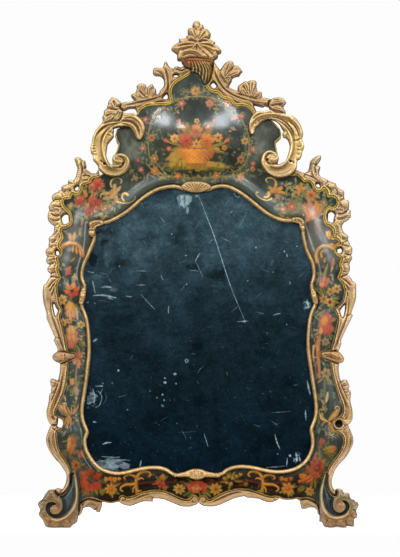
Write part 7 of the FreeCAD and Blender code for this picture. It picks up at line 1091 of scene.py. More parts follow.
    # bouquet in the bowl
    leaves_round(c, 196, 144, 9, 15, [MOSS, OLIVE, GREEN, lin(146, 138, 62)], 91, 11, 2.2, (-176, -4))
    for x0, y0, x1, y1 in ((184, 148, 167, 143), (186, 148, 170, 152), (208, 148, 226, 143), (210, 149, 225, 153), (196, 144, 197, 121), (190, 144, 179, 124), (203, 144, 214, 124)):
        c.leaf(x0, y0, x1, y1, 1.8, lin(146, 136, 58), CREAM * 0.5, bend=1.0)
    c.rose(186.0, 141.5, 7.8, DEEP, lin(200, 78, 56), lin(236, 150, 110), 1)
    c.rose(206.6, 142.0, 7.6, lin(150, 60, 20), lin(228, 124, 36), lin(246, 190, 92), 2)
    c.rose(196.3, 132.5, 6.6, lin(140, 60, 40), lin(222, 132, 88), lin(244, 200, 150), 3)
    c.flower(174.5, 139.5, 4.8, 7, lin(232, 196, 120), AMBER, lin(170, 84, 30), 0.2)
    c.flower(218.2, 138.5, 4.8, 7, lin(232, 186, 84), ORANGE, DEEP, 0.1)
    c.flower(196.5, 145.0, 4.4, 6, YELLOW, AMBER, lin(150, 70, 30), 0.4)
    c.flower(184.8, 128.6, 3.6, 5, lin(222, 150, 96), SALMON, YELLOW, 0.3)
    c.flower(208.0, 128.6, 3.6, 5, ORANGE, SALMON, YELLOW, 0.8)
    c.flower(196.8, 122.0, 3.0, 5, YELLOW, AMBER, DEEP, 0.2)
    c.flower(169.0, 149.5, 3.0, 5, SALMON, PINK, YELLOW, 0.5)
    c.flower(224.4, 148.5, 3.0, 5, AMBER, ORANGE, DEEP, 0.1)
    for x, y, a in ((179.6, 122.5, -20), (213.6, 122.5, 20), (166.6, 141.5, -60), (226.8, 141.5, 60)):
        c.tulip(x, y, 6.0, 4.0, a, SALMON, CREAM)


def paint_upper_left(c):
    brushwork(c, 180, oval(94, 202, 27, 20), 311, 5.0, 1.4, 0.9)
    leaves_round(c, 90, 200, 9, 12, [OLIVE, MOSS, TAN, GREEN], 5, 7, 1.8)
    leaves_round(c, 104, 208, 2, 7, [OLIVE, TAN, MOSS], 6, 5, 1.3)
    c.rose(97.6, 184.6, 6.6, lin(120, 26, 24), lin(196, 66, 52), lin(226, 130, 104), 2.0)
    c.rose(91.6, 187.4, 3.6, lin(120, 30, 34), lin(196, 90, 76), lin(226, 150, 120), 1.0)
    c.bloom(85.4, 194.0, 2.4, 4.6, -14, lin(222, 124, 50), lin(232, 160, 80), 4)
    c.bloom(92.6, 196.6, 2.6, 6.0, 44, lin(216, 130, 56), lin(232, 170, 92), 4)
    c.rose(80.0, 201.4, 5.6, lin(140, 36, 30), lin(206, 84, 60), lin(230, 146, 110), 0.4)
    c.rose(94.6, 204.0, 7.4, lin(116, 22, 22), lin(200, 64, 50), lin(228, 132, 104), 2.7)
    c.bloom(86.6, 207.0, 3.0, 5.0, 30, lin(206, 140, 92), lin(226, 176, 126), 4)
    c.rose(89.4, 212.6, 4.6, lin(96, 18, 24), lin(176, 52, 56), lin(206, 104, 92), 1.6)
    c.bloom(70.6, 206.0, 2.4, 4.2, 32, lin(196, 150, 96), lin(216, 180, 130), 4)
    c.flower(105.3, 208.6, 3.8, 6, lin(190, 130, 84), lin(160, 84, 56), CREAM, 0.2, depth=0.5)
    c.flower(110.4, 206.4, 2.8, 5, lin(176, 130, 84), lin(150, 90, 60), AMBER, 0.5, depth=0.5)
    # painted highlight: a pale streak of gloss on the varnish
    c.blob(78.0, 217.0, 3.4, 8.0, 16, lin(190, 186, 184), 0.9, 0.34)
    c.bloom(82.6, 222.0, 1.3, 5.0, 14, lin(150, 130, 66), lin(176, 150, 84), 3)
    c.leaf(82, 238, 80, 228, 1.5, OLIVE, None, bend=-0.6)
    brushwork(c, 84, oval(91, 198, 15, 17), 402, 3.0, 0.8, 0.7, cols=[lin(112, 24, 22), lin(226, 140, 100), lin(238, 196, 160), lin(84, 20, 18), lin(214, 96, 60)])
    # acanthus with curled tips
    for x, y, rx, ry, a in ((113.6, 193.0, 4.4, 3.6, 0), (106.0, 193.6, 5.4, 2.0, -4), (114.4, 187.6, 2.0, 4.2, 8), (118.6, 189.4, 1.8, 4.0, 40), (116.4, 199.6, 2.6, 4.8, -10), (109.4, 198.0, 4.2, 1.8, -34), (112.6, 197.0, 2.6, 2.6, 0)):
        c.bloom(x, y, rx, ry, a, lin(222, 152, 92), lin(236, 190, 130), 3)
    foliage(c, [("111.6,187 110.6,183.6 112.2,180.2 115.4,178.4 119.4,178.6 121.8,181.0 120.8,183.2", 0.9, 0.5), ("103.4,193.4 100.6,195.4 101.0,197.8", 1.0, 0.5),
                ("117.4,201.8 121.4,203.2 127.0,203.4 131.6,202.0 135.0,199.0 135.2,196.6", 0.9, 0.5), ("127.8,195.2 125.4,193.6 122.8,194.8 122.2,198.0 124.0,201.2", 1.5, 0.9)],
            col=lin(202, 168, 104), light=lin(232, 210, 156))


def paint_upper_right(c):
    brushwork(c, 210, oval(302, 202, 30, 20), 312, 5.0, 1.4, 0.95)
    leaves_round(c, 308, 204, 10, 11, [OLIVE, MOSS, TAN, GREEN], 15, 7, 1.8)
    leaves_round(c, 294, 208, 4, 8, [OLIVE, lin(120, 128, 60), MOSS], 16, 6, 1.5)
    for x, y, rx, ry, a in ((299.4, 189.6, 2.6, 2.6, 0), (295.6, 192.4, 3.4, 1.7, 12), (296.6, 187.4, 3.0, 1.8, -40), (300.8, 186.0, 1.8, 3.4, 10), (303.6, 188.4, 3.2, 1.7, -24), (298.6, 193.6, 1.6, 3.0, 14)):
        c.bloom(x, y, rx, ry, a, lin(212, 126, 60), lin(230, 166, 90), 3)
    c.flower(311.2, 195.3, 6.0, 8, lin(224, 160, 92), lin(206, 90, 44), lin(160, 50, 34), 0.2, depth=0.46)
    for x, y, rx, ry, a, k in ((306.0, 209.6, 3.2, 7.6, -22, 0.86), (319.0, 210.0, 3.0, 7.4, 22, 0.84), (310.4, 207.8, 3.4, 8.4, -8, 1.0), (315.4, 208.0, 3.4, 8.2, 10, 1.04), (312.6, 213.6, 3.4, 7.0, 0, 0.95)):
        c.bloom(x, y, rx, ry, a, lin(222, 112, 48) * k, lin(238, 164, 84) * k, 4)
    c.bloom(312.4, 212.0, 2.4, 5.6, 12, lin(206, 170, 140), lin(222, 196, 170), 3)
    c.bloom(309.0, 217.5, 2.4, 4.4, 10, lin(206, 84, 60), lin(222, 126, 90), 3)
    c.blob(317.6, 224.0, 3.0, 10.0, -10, lin(190, 130, 120), 0.9, 0.5)
    c.flower(291.8, 206.8, 5.0, 6, lin(186, 58, 50), lin(206, 96, 60), AMBER, 0.3)
    c.flower(282.8, 209.4, 4.0, 5, lin(190, 100, 84), lin(206, 130, 110), CREAM, 0.6)
    c.flower(282.0, 184.0, 3.0, 5, lin(84, 80, 120), lin(106, 100, 130), lin(190, 170, 120), 0.4)
    c.flower(323.8, 202.6, 3.8, 6, lin(186, 150, 104), lin(150, 110, 80), CREAM, 0.2, depth=0.5)
    for x, y, rx, ry, a in ((273.4, 190.6, 4.0, 3.4, 0), (268.4, 194.6, 4.4, 2.2, -38), (279.6, 189.0, 4.6, 2.0, -24), (281.4, 192.6, 4.8, 1.7, 4), (270.0, 188.0, 2.6, 1.8, 24), (277.4, 196.6, 2.0, 3.6, -36), (275.6, 186.0, 1.8, 3.8, 8)):
        c.bloom(x, y, rx, ry, a, lin(208, 128, 64), lin(228, 166, 98), 3)
    foliage(c, [("276.2,185.4 275.6,181.4 272.2,178.4 268.0,178.2 265.8,180.4 267.4,182.4", 1.0, 0.5), ("272.0,199.0 266.6,200.6 260.6,198.8 256.6,195.6 256.0,193.2 258.0,192.6", 0.9, 0.5), ("268.6,192.6 269.0,195.6 266.8,197.6 264.2,197.2", 1.4, 0.8)],
            col=lin(204, 168, 98), light=lin(234, 212, 152))


def paint_left(c):
    brushwork(c, 170, lambda r: (r.uniform(62, 84), r.uniform(262, 466)), 313, 6.0, 1.2, 0.75)
    leaves_round(c, 73, 300, 7, 10, [OLIVE, MOSS, GREEN], 25, 6, 1.5)
    leaves_round(c, 74, 340, 8, 9, [OLIVE, MOSS, GREEN], 26, 6, 1.6)
    leaves_round(c, 76, 384, 3, 7, [OLIVE, MOSS, GREEN], 28, 6, 1.4)
    leaves_round(c, 75, 455, 5, 9, [OLIVE, MOSS, GREEN], 29, 7, 1.6)
    # hanging acanthus hoop with a pointed bud above
    foliage(c, [("60.6,250.4 62.4,247.4 66.2,245.0 71,244.0 76.4,244.8 80.6,248.0 82.6,252.6 83.2,255.6", 2.5, 1.8)], col=lin(210, 140, 76), light=lin(230, 178, 116))
    c.bloom(70.4, 237.4, 2.0, 5.0, -10, lin(206, 132, 76), lin(228, 172, 116), 3)
    c.bloom(74.0, 237.6, 2.2, 5.2, 12, lin(196, 140, 92), lin(222, 182, 136), 3)
    acanthus(c, ((73.6, 246.4, 73.0, 253.0, 1.5, 0.3), (76.6, 246.6, 77.0, 255.0, 1.5, 0.3), (79.6, 248.0, 81.4, 256.6, 1.6, 0.4)), lin(204, 132, 74), lin(226, 168, 110))
    # painted highlight on the varnish inside the hoop
    c.blob(69.4, 250.0, 3.0, 2.8, 0, lin(176, 150, 140), 0.8, 0.5)
    # climbing flowers
    c.bloom(68.4, 271.6, 2.9, 5.6, 24, lin(206, 84, 62), lin(226, 132, 96), 4)
    c.leaf(66.4, 277.6, 64.6, 286.0, 1.6, GREEN, OLIVE, bend=0.6)
    c.bloom(74.8, 277.6, 2.0, 4.2, 0, lin(206, 146, 92), lin(228, 188, 136), 4)
    for x, y, rx, ry, a, col in ((69.0, 287.6, 2.6, 4.0, -40, lin(222, 120, 60)), (73.6, 286.4, 2.6, 4.4, 8, lin(226, 134, 64)), (77.0, 289.6, 2.4, 3.8, 50, lin(214, 100, 54)),
                                 (68.0, 292.2, 2.6, 3.4, -80, lin(210, 96, 56)), (76.4, 293.6, 2.6, 3.6, 115, lin(196, 70, 52)), (72.0, 295.6, 3.4, 3.4, 0, lin(186, 62, 56))):
        c.bloom(x, y, rx, ry, a, col, col * 1.35, 4)
    c.blob(72.6, 290.6, 1.3, 1.3, 0, lin(120, 40, 30), 0.6)
    c.flower(62.4, 300.4, 5.4, 7, lin(226, 188, 118), lin(206, 136, 66), lin(140, 78, 40), 0.1, depth=0.5)
    c.bloom(71.2, 311.2, 6.2, 9.8, -6, lin(206, 118, 66), lin(226, 164, 74), 6)
    c.bloom(70.2, 306.6, 4.0, 5.4, -4, lin(222, 150, 54), lin(236, 186, 84), 4)
    c.bloom(77.2, 313.8, 1.6, 7.2, -8, lin(196, 160, 130), lin(214, 190, 164), 3)
    c.flower(63.4, 322.6, 4.4, 7, lin(214, 168, 96), lin(206, 120, 52), lin(110, 60, 30), 0.2, depth=0.5)
    c.flower(69.8, 321.4, 3.4, 6, lin(206, 160, 92), lin(190, 120, 60), lin(110, 60, 30), 0.7, depth=0.5)
    c.flower(81.4, 324.6, 4.2, 6, lin(214, 182, 98), lin(196, 140, 56), lin(110, 70, 30), 0.4, depth=0.5)
    c.bloom(72.4, 337.2, 6.8, 11.0, -4, lin(202, 108, 72), lin(222, 156, 104), 7)
    c.bloom(72.0, 330.6, 5.2, 5.2, 0, lin(206, 134, 78), lin(226, 176, 112), 5)
    c.bloom(71.6, 345.0, 4.0, 4.6, 0, lin(196, 84, 62), lin(210, 116, 86), 4)
    c.spray(smooth_open(pts("83.6,332 82.4,344 83,356 82,366")), 3.2, 0.9, [lin(150, 70, 60), TAN, MOSS, lin(150, 110, 120)], 31, every=3.4)
    c.bloom(78.0, 356.6, 3.4, 5.6, 14, lin(190, 78, 66), lin(206, 116, 92), 4)
    c.bloom(79.0, 364.4, 2.2, 4.8, 4, lin(206, 116, 70), lin(222, 156, 104), 3)
    c.bloom(74.6, 360.8, 2.6, 3.4, -30, lin(190, 124, 76), lin(210, 158, 106), 3)
    c.bloom(72.6, 381.6, 2.6, 4.2, 6, lin(214, 126, 54), lin(228, 166, 84), 4)
    c.leaf(70.6, 375.6, 73.4, 371.0, 1.4, GREEN, None, bend=0.4)
    c.stroke(smooth_open(pts("76.6,372 76.2,382 76.8,392 76.4,402")), 1.3, lin(176, 140, 132), 0.8, alpha=0.7)
    c.bloom(77.0, 391.4, 2.6, 5.4, 0, lin(176, 144, 140), lin(196, 172, 166), 4)
    c.blob(76.8, 398.0, 1.5, 1.5, 0, lin(206, 182, 134), 0.6)
    # acanthus spray beside the open gap
    c.blob(58.6, 400.6, 4.0, 7.0, 14, lin(176, 128, 60), 0.6, 0.8)
    foliage(c, [("61.2,398.4 62.0,395.8 64.2,395.8 65.6,398.2 65.9,400.8", 0.9, 0.5), ("63.6,403.8 65.6,403.2 66.8,405.0 66.2,407.4", 0.9, 0.5)], col=lin(184, 138, 86), light=lin(210, 172, 120))
    acanthus(c, ((70.8, 416.4, 58.4, 404.4, 3.7, 1.3), (69.8, 414.8, 64.8, 403.6, 2.6, -0.9)), lin(166, 118, 66), lin(204, 160, 106))
    acanthus(c, ((70.8, 416.8, 64.6, 425.0, 2.9, 1.0), (71.4, 417.2, 67.4, 429.0, 1.8, 1.3), (72.0, 417.2, 71.2, 425.8, 1.2, 0.4)), lin(180, 122, 56), lin(206, 158, 96))
    acanthus(c, ((72.0, 414.8, 68.2, 407.2, 1.0, -0.3), (72.4, 414.4, 71.6, 406.6, 1.0, 0.2), (73.0, 414.4, 75.8, 406.4, 1.0, 0.4), (73.6, 414.6, 79.2, 403.4, 1.0, 0.8)), lin(178, 132, 90), lin(204, 166, 122))
    c.stroke(smooth_open(pts("73.6,416.8 76.6,419.0 78.6,422.2 79.2,426.0")), 0.7, lin(176, 146, 104), 0.3, alpha=0.8)
    c.stroke(smooth_open(pts("58.6,407.6 62.0,412.6 67.0,415.8 71.0,416.6")), 0.35, lin(220, 184, 130), 0.2, alpha=0.8)
    c.stroke(smooth_open(pts("66.4,407.4 68.2,411.6 70.6,415.0")), 0.5, lin(60, 34, 16), 0.3, alpha=0.8)
    c.stroke(smooth_open(pts("66.8,421.4 68.4,425.2 69.4,428.6")), 0.4, lin(60, 34, 16), 0.3, alpha=0.7)
    c.blob(73.0, 415.4, 1.4, 1.4, 0, lin(120, 60, 26), 0.6)
    c.blob(76.6, 415.2, 1.1, 1.1, 0, lin(190, 180, 176), 0.6)
    c.bloom(72.2, 445.4, 4.4, 11.4, 4, lin(206, 110, 56), lin(222, 162, 96), 5)
    c.bloom(69.4, 443.6, 2.0, 8.4, 6, lin(206, 160, 112), lin(222, 190, 140), 3)
    c.bloom(73.6, 440.6, 1.8, 4.6, 4, lin(206, 84, 44), lin(214, 106, 60), 3)
    c.bloom(81.4, 453.6, 3.6, 4.6, 20, lin(202, 80, 76), lin(222, 130, 116), 4)
    c.leaf(66.6, 459.0, 62.0, 449.0, 1.6, lin(140, 130, 66), OLIVE, bend=0.5)
    c.flower(76.6, 464.8, 5.0, 6, lin(206, 140, 82), lin(196, 96, 52), lin(100, 44, 26), 0.5, depth=0.46)
    c.bloom(74.8, 471.4, 1.9, 3.4, 10, lin(206, 156, 92), lin(222, 184, 120), 3)


def paint_right(c):
    brushwork(c, 170, lambda r: (r.uniform(313, 336), r.uniform(262, 466)), 314, 6.0, 1.2, 0.75)
    leaves_round(c, 326, 300, 7, 10, [OLIVE, MOSS, GREEN], 45, 6, 1.5)
    leaves_round(c, 325, 326, 9, 10, [OLIVE, MOSS, GREEN], 46, 6, 1.6)
    leaves_round(c, 325, 376, 4, 7, [OLIVE, MOSS, GREEN], 48, 6, 1.4)
    leaves_round(c, 324, 452, 5, 8, [OLIVE, MOSS, GREEN], 49, 6, 1.5)
    c.bloom(328.8, 235.6, 3.0, 5.6, -24, lin(226, 138, 36), lin(240, 184, 84), 4)
    c.bloom(332.0, 246.4, 4.4, 2.6, 14, lin(222, 134, 46), lin(238, 178, 90), 4)
    foliage(c, [("316.8,261.6 316.0,256.0 317.4,250.8 321.0,247.4 325.4,246.4 329.6,247.6 333.6,249.6", 1.9, 1.3), ("321.4,257.0 320.8,253.4 323.0,251.4", 1.1, 0.6)],
            col=lin(204, 148, 88), light=lin(228, 188, 132))
    # painted highlight on the varnish inside the hoop
    c.blob(325.4, 251.4, 3.2, 3.4, 0, lin(186, 178, 172), 0.8, 0.45)
    c.bloom(332.6, 263.6, 2.2, 4.6, 12, lin(176, 96, 80), lin(190, 124, 104), 3)
    c.leaf(322.6, 280, 327.4, 264, 1.5, lin(150, 140, 76), CREAM * 0.5, bend=0.5)
    c.bloom(323.6, 282.6, 5.4, 7.0, 14, lin(196, 72, 66), lin(214, 122, 92), 5)
    c.bloom(321.6, 285.4, 2.6, 3.0, 0, lin(214, 122, 74), lin(228, 160, 104), 3)
    c.flower(336.4, 289.4, 5.0, 6, lin(222, 176, 92), lin(206, 132, 62), lin(120, 66, 30), 0.2, depth=0.5)
    c.flower(330.2, 292.4, 4.2, 5, lin(214, 164, 84), lin(196, 124, 56), lin(120, 66, 30), 0.6, depth=0.5)
    c.flower(323.4, 299.4, 4.6, 6, lin(214, 172, 104), lin(196, 126, 66), lin(120, 66, 30), 0.3, depth=0.5)
    c.flower(329.6, 302.6, 4.8, 6, lin(220, 178, 90), lin(190, 110, 44), lin(90, 36, 20), 0.9, depth=0.46, cen_r=0.36)
    c.bloom(325.2, 324.4, 7.4, 12.6, 12, lin(196, 66, 56), lin(214, 104, 80), 7)
    c.bloom(324.0, 321.8, 3.8, 5.6, 18, lin(216, 128, 48), lin(230, 166, 76), 5)
    c.bloom(329.6, 330.0, 3.4, 5.0, 24, lin(196, 62, 66), lin(212, 98, 88), 4)
    c.bloom(320.6, 331.4, 2.4, 4.4, 10, lin(214, 128, 66), lin(228, 162, 100), 3)
    c.flower(325.2, 342.0, 4.6, 6, lin(178, 156, 130), lin(150, 116, 96), lin(150, 84, 66), 0.3, depth=0.46)
    c.stroke(smooth_open(pts("318.4,338.6 317.6,348 318.0,358 318.8,368 319.0,377")), 2.0, lin(216, 132, 66), 1.1, alpha=0.95, soft=0.6)
    c.stroke(smooth_open(pts("313.4,346 312.8,353 313.4,361")), 1.2, lin(222, 160, 126), 0.7, alpha=0.9)
    c.stroke(smooth_open(pts("314.6,362 315.4,370 314.8,380")), 1.2, lin(150, 110, 124), 0.7, alpha=0.7)
    c.flower(325.8, 373.4, 5.6, 6, lin(186, 156, 120), lin(166, 124, 88), lin(120, 76, 50), 0.2, depth=0.4)
    c.stroke(smooth_open(pts("324.4,380 324.2,390 324.6,400 324.2,410")), 1.3, lin(140, 126, 112), 0.7, alpha=0.7)
    c.leaf(325.6, 402.6, 327.4, 391.6, 1.5, lin(206, 162, 124), CREAM, bend=0.4)
    foliage(c, [("332.6,421.6 338.6,417.6 342.8,412.6 344.2,407.0 342.4,402.6 339.4,402.0", 1.1, 0.6)], col=lin(176, 138, 104), light=lin(206, 172, 134))
    acanthus(c, ((327.4, 421.2, 319.4, 412.2, 1.9, -1.9), (328.0, 420.6, 337.2, 408.6, 3.1, 1.5), (328.0, 421.2, 331.4, 432.6, 2.6, -1.0)), lin(202, 136, 52), lin(228, 180, 92))
    foliage(c, [("327.0,421.4 322.0,417.6 319.0,412.8 319.4,409.4 321.4,409.0", 0.8, 0.4), ("334.4,408.6 336.0,406.4 338.4,407.6 338.2,411.4 335.4,415.6 330.6,419.8", 0.7, 0.4), ("332.8,429.6 333.4,433.2 330.6,435.0 327.4,434.6", 0.9, 0.4)], col=lin(186, 160, 92), light=lin(220, 196, 130))
    c.stroke(smooth_open(pts("325.6,421.4 322.6,422.8 320.4,425.6")), 0.7, lin(196, 150, 96), 0.3, alpha=0.8)
    c.stroke(smooth_open(pts("325.8,422.6 327.4,428.0 327.8,433.0")), 0.5, lin(60, 34, 16), 0.3, alpha=0.7)
    c.bloom(321.4, 441.6, 3.2, 3.8, 0, lin(196, 66, 62), lin(214, 112, 92), 4)
    c.stroke(smooth_open(pts("319.2,446 318.8,452 319.6,458")), 1.3, lin(170, 140, 92), 0.8, alpha=0.8)
    c.bloom(329.4, 449.4, 6.2, 4.2, -10, lin(206, 146, 56), lin(226, 186, 92), 4)
    c.bloom(333.6, 448.6, 2.8, 2.0, -6, lin(216, 106, 62), lin(226, 140, 92), 3)
    c.bloom(325.4, 451.6, 2.6, 3.2, 30, lin(120, 128, 56), lin(150, 150, 76), 3)


def paint_bottom(c):
    brushwork(c, 190, lambda r: (r.uniform(80, 320), r.uniform(472, 493)), 315, 5.0, 1.0, 0.5, [lin(120, 112, 46), lin(92, 96, 44), lin(130, 76, 34), lin(66, 78, 44), lin(150, 116, 56)])
    leaves_round(c, 92, 480, 10, 12, [OLIVE, MOSS, GREEN], 61, 7, 1.8)
    leaves_round(c, 313, 470, 10, 12, [OLIVE, MOSS, GREEN], 62, 7, 1.8)
    leaves_round(c, 197, 487, 9, 14, [OLIVE, MOSS, GREEN], 63, 7, 1.5)
    leaves_round(c, 111.5, 488, 5, 8, [OLIVE, MOSS], 66, 5, 1.4)
    leaves_round(c, 287, 488, 5, 8, [OLIVE, MOSS], 67, 5, 1.4)
    leaves_round(c, 162, 483, 4, 8, [OLIVE, MOSS], 68, 5, 1.3)
    leaves_round(c, 231, 480, 4, 9, [OLIVE, MOSS, lin(150, 140, 60)], 69, 6, 1.3)
    # dark red stems running through the middle
    c.stroke(smooth_open(pts("104,483 118,482.6 132,483.4 150,482 170,481.6 190,482")), 0.9, lin(116, 34, 22), 0.7, alpha=0.85)
    c.stroke(smooth_open(pts("290,481 276,482.2 262,482.6 246,480 226,480 208,482")), 0.9, lin(116, 34, 22), 0.7, alpha=0.85)
    # large red flower at the lower left corner
    for x, y, rx, ry, a, col in ((85.0, 476.0, 4.6, 6.4, -40, lin(200, 84, 62)), (84.4, 483.4, 5.0, 5.6, 20, lin(206, 84, 66)), (90.6, 487.2, 6.4, 4.6, 0, lin(206, 76, 66)),
                                 (97.8, 485.0, 4.6, 4.8, -30, lin(196, 60, 54)), (97.6, 475.6, 4.2, 4.4, 30, lin(190, 56, 46)), (90.0, 471.4, 5.0, 3.6, 0, lin(190, 70, 52))):
        c.bloom(x, y, rx, ry, a, col, col * 1.25, 5)
    c.bloom(91.6, 478.6, 4.4, 3.8, 0, lin(96, 66, 30), lin(120, 96, 46), 5)
    c.blob(93.2, 477.6, 1.7, 1.4, 0, lin(60, 30, 20), 0.6)
    c.flower(86.6, 492.4, 4.6, 6, lin(166, 112, 100), lin(150, 84, 70), lin(196, 120, 70), 0.4, depth=0.44)
    c.bloom(102.6, 491.4, 3.4, 3.6, 0, lin(128, 116, 52), lin(150, 138, 72), 3)
    for x, y, r, col in ((106.6, 478.6, 2.6, lin(214, 150, 62)), (110.6, 478.0, 2.4, lin(214, 130, 50)), (115.0, 478.8, 3.0, lin(214, 142, 60)), (119.6, 478.0, 2.0, lin(206, 150, 80))):
        c.bloom(x, y, r, r, 0, col, col * 1.3, 3)
    c.flower(111.4, 488.6, 6.4, 8, lin(222, 164, 66), lin(214, 124, 46), lin(196, 70, 30), 0.1, depth=0.5, cen_r=0.34)
    c.blob(111.0, 488.2, 1.2, 1.2, 0, lin(236, 150, 70), 0.6)
    # flowers along the rail
    c.bloom(163.0, 476.6, 3.0, 3.4, 0, lin(206, 116, 60), lin(226, 156, 90), 4)
    for x, y, rx, ry in ((157.4, 482.2, 2.8, 2.6), (162.6, 482.8, 3.2, 2.8), (165.0, 487.4, 2.8, 2.6), (160.0, 485.8, 2.0, 1.8)):
        c.bloom(x, y, rx, ry, 20, lin(190, 60, 56), lin(210, 100, 84), 3)
    c.flower(179.4, 488.4, 6.6, 8, lin(222, 186, 104), lin(206, 150, 66), lin(150, 84, 30), 0.3, depth=0.52, squash=0.84, ang=14, cen_r=0.3)
    c.bloom(190.6, 486.6, 3.8, 5.0, -16, lin(196, 62, 48), lin(210, 96, 70), 4)
    c.bloom(203.8, 486.6, 4.2, 5.2, 16, lin(200, 56, 44), lin(214, 92, 66), 4)
    c.bloom(197.2, 483.0, 6.2, 3.6, 0, lin(186, 50, 40), lin(206, 90, 66), 4)
    c.bloom(196.4, 488.4, 5.4, 5.0, 0, lin(206, 92, 66), lin(226, 146, 106), 5)
    for k in range(5):
        c.blob(192.6 + 2.0 * k, 488.0 - 0.6 * (k % 2), 0.55, 1.5, 12 * (k - 2), lin(236, 180, 130), 0.6, 0.8)
    c.flower(215.8, 488.6, 6.8, 8, lin(224, 176, 84), lin(212, 140, 52), lin(170, 76, 26), 0.2, depth=0.5, cen_r=0.32)
    for x, y, r in ((224.4, 477.8, 2.3), (228.4, 475.6, 2.4), (232.4, 477.6, 2.2), (230.6, 483.4, 2.4), (236.0, 475.4, 1.9), (240.2, 473.8, 2.0), (226.4, 482.0, 1.7)):
        c.bloom(x, y, r, r * 0.9, 20, lin(190, 150, 62), lin(214, 184, 100), 3)
    c.flower(245.8, 483.6, 2.6, 5, lin(150, 130, 56), lin(130, 110, 46), lin(190, 160, 84), 0.2)
    # flowers at the lower right corner
    for x, y, rx, ry, a, col in ((315.4, 458.6, 3.0, 3.8, -20, lin(212, 106, 80)), (321.2, 461.4, 3.8, 5.0, 30, lin(196, 60, 48)), (314.6, 464.4, 4.6, 5.4, -30, lin(196, 76, 58)),
                                 (319.8, 468.6, 4.2, 4.0, 40, lin(190, 56, 46)), (309.6, 469.6, 4.8, 5.2, -40, lin(202, 96, 66)), (314.6, 474.4, 5.0, 3.8, 20, lin(206, 92, 62)),
                                 (308.4, 478.6, 5.0, 4.2, -20, lin(214, 126, 74)), (302.4, 475.4, 4.0, 3.6, 0, lin(222, 134, 46)), (301.4, 480.6, 4.6, 2.2, -10, lin(214, 116, 56))):
        c.bloom(x, y, rx, ry, a, col, col * 1.28, 5)
    c.stroke(smooth_open(pts("300,482 306,480 312,476 317,470 319,465")), 0.7, lin(116, 40, 24), 0.5, alpha=0.8)
    c.stroke(smooth_open(pts("306,484.6 312,480 317,474.6")), 0.5, lin(130, 44, 28), 0.4, alpha=0.7)
    c.bloom(300.8, 488.2, 4.4, 3.2, -24, lin(128, 120, 46), lin(158, 146, 68), 4)
    c.flower(309.2, 490.8, 4.8, 7, lin(214, 172, 92), lin(206, 140, 62), lin(150, 84, 34), 0.4, depth=0.5)
    c.flower(287.4, 488.2, 6.6, 7, lin(222, 166, 70), lin(214, 124, 46), lin(196, 64, 30), 0.5, depth=0.46, cen_r=0.34)
    c.blob(287.0, 487.6, 1.2, 1.2, 0, lin(236, 140, 70), 0.6)
    for x, y, r, col in ((281.4, 478.0, 2.6, lin(206, 126, 52)), (285.6, 478.8, 2.4, lin(206, 118, 48)), (290.4, 478.0, 2.4, lin(196, 100, 44))):
        c.bloom(x, y, r, r, 0, col, col * 1.3, 3)
    for sx, cx in ((1, 137.0), (-1, 262.0)):
        def m(line):
            q = pts(line)
            q[:, 0] = cx + sx * (q[:, 0] - 137.0)
            return q
        foliage(c, [(m("137.4,492 136.8,486 136.4,480 137.2,476"), 1.7, 1.3), (m("137,477 132.4,474.4 127.6,474.4 124.4,476.6 125.6,478.6"), 1.5, 0.6), (m("137.4,476.4 139.6,472.8 144.2,470.8 149.0,471.4 151.0,474.2 149.4,475.8"), 1.7, 0.7),
                    (m("135.6,483.4 131.4,483.8 126.4,484.0 121.8,486.4 121.0,489.4 123.2,490.6"), 1.7, 0.7), (m("136.4,485.6 133.6,488.4 133.4,491.6"), 1.3, 0.6), (m("138,478.8 141.8,477.4 143.6,478.6"), 1.2, 0.5),
                    (m("138,490.6 141.6,490.2"), 1.2, 0.6)],
                col=lin(206, 138, 62), light=lin(230, 184, 110))
    brushwork(c, 30, oval(88, 473, 10, 9), 403, 3.2, 0.75, 0.6, [lin(110, 24, 18), lin(150, 44, 30), lin(216, 124, 72), lin(70, 16, 14)])
    brushwork(c, 30, oval(309, 468, 11, 9), 404, 3.2, 0.75, 0.6, [lin(110, 24, 18), lin(150, 44, 30), lin(216, 124, 72), lin(70, 16, 14)])
    brushwork(c, 12, oval(196, 487, 8, 4), 405, 2.4, 0.6, 0.6, [lin(110, 24, 18), lin(150, 44, 30), lin(226, 140, 84)])


SC_CURVE = smooth_loop(SC, 2)
LQ_CURVE = smooth_loop(LQ, 2)


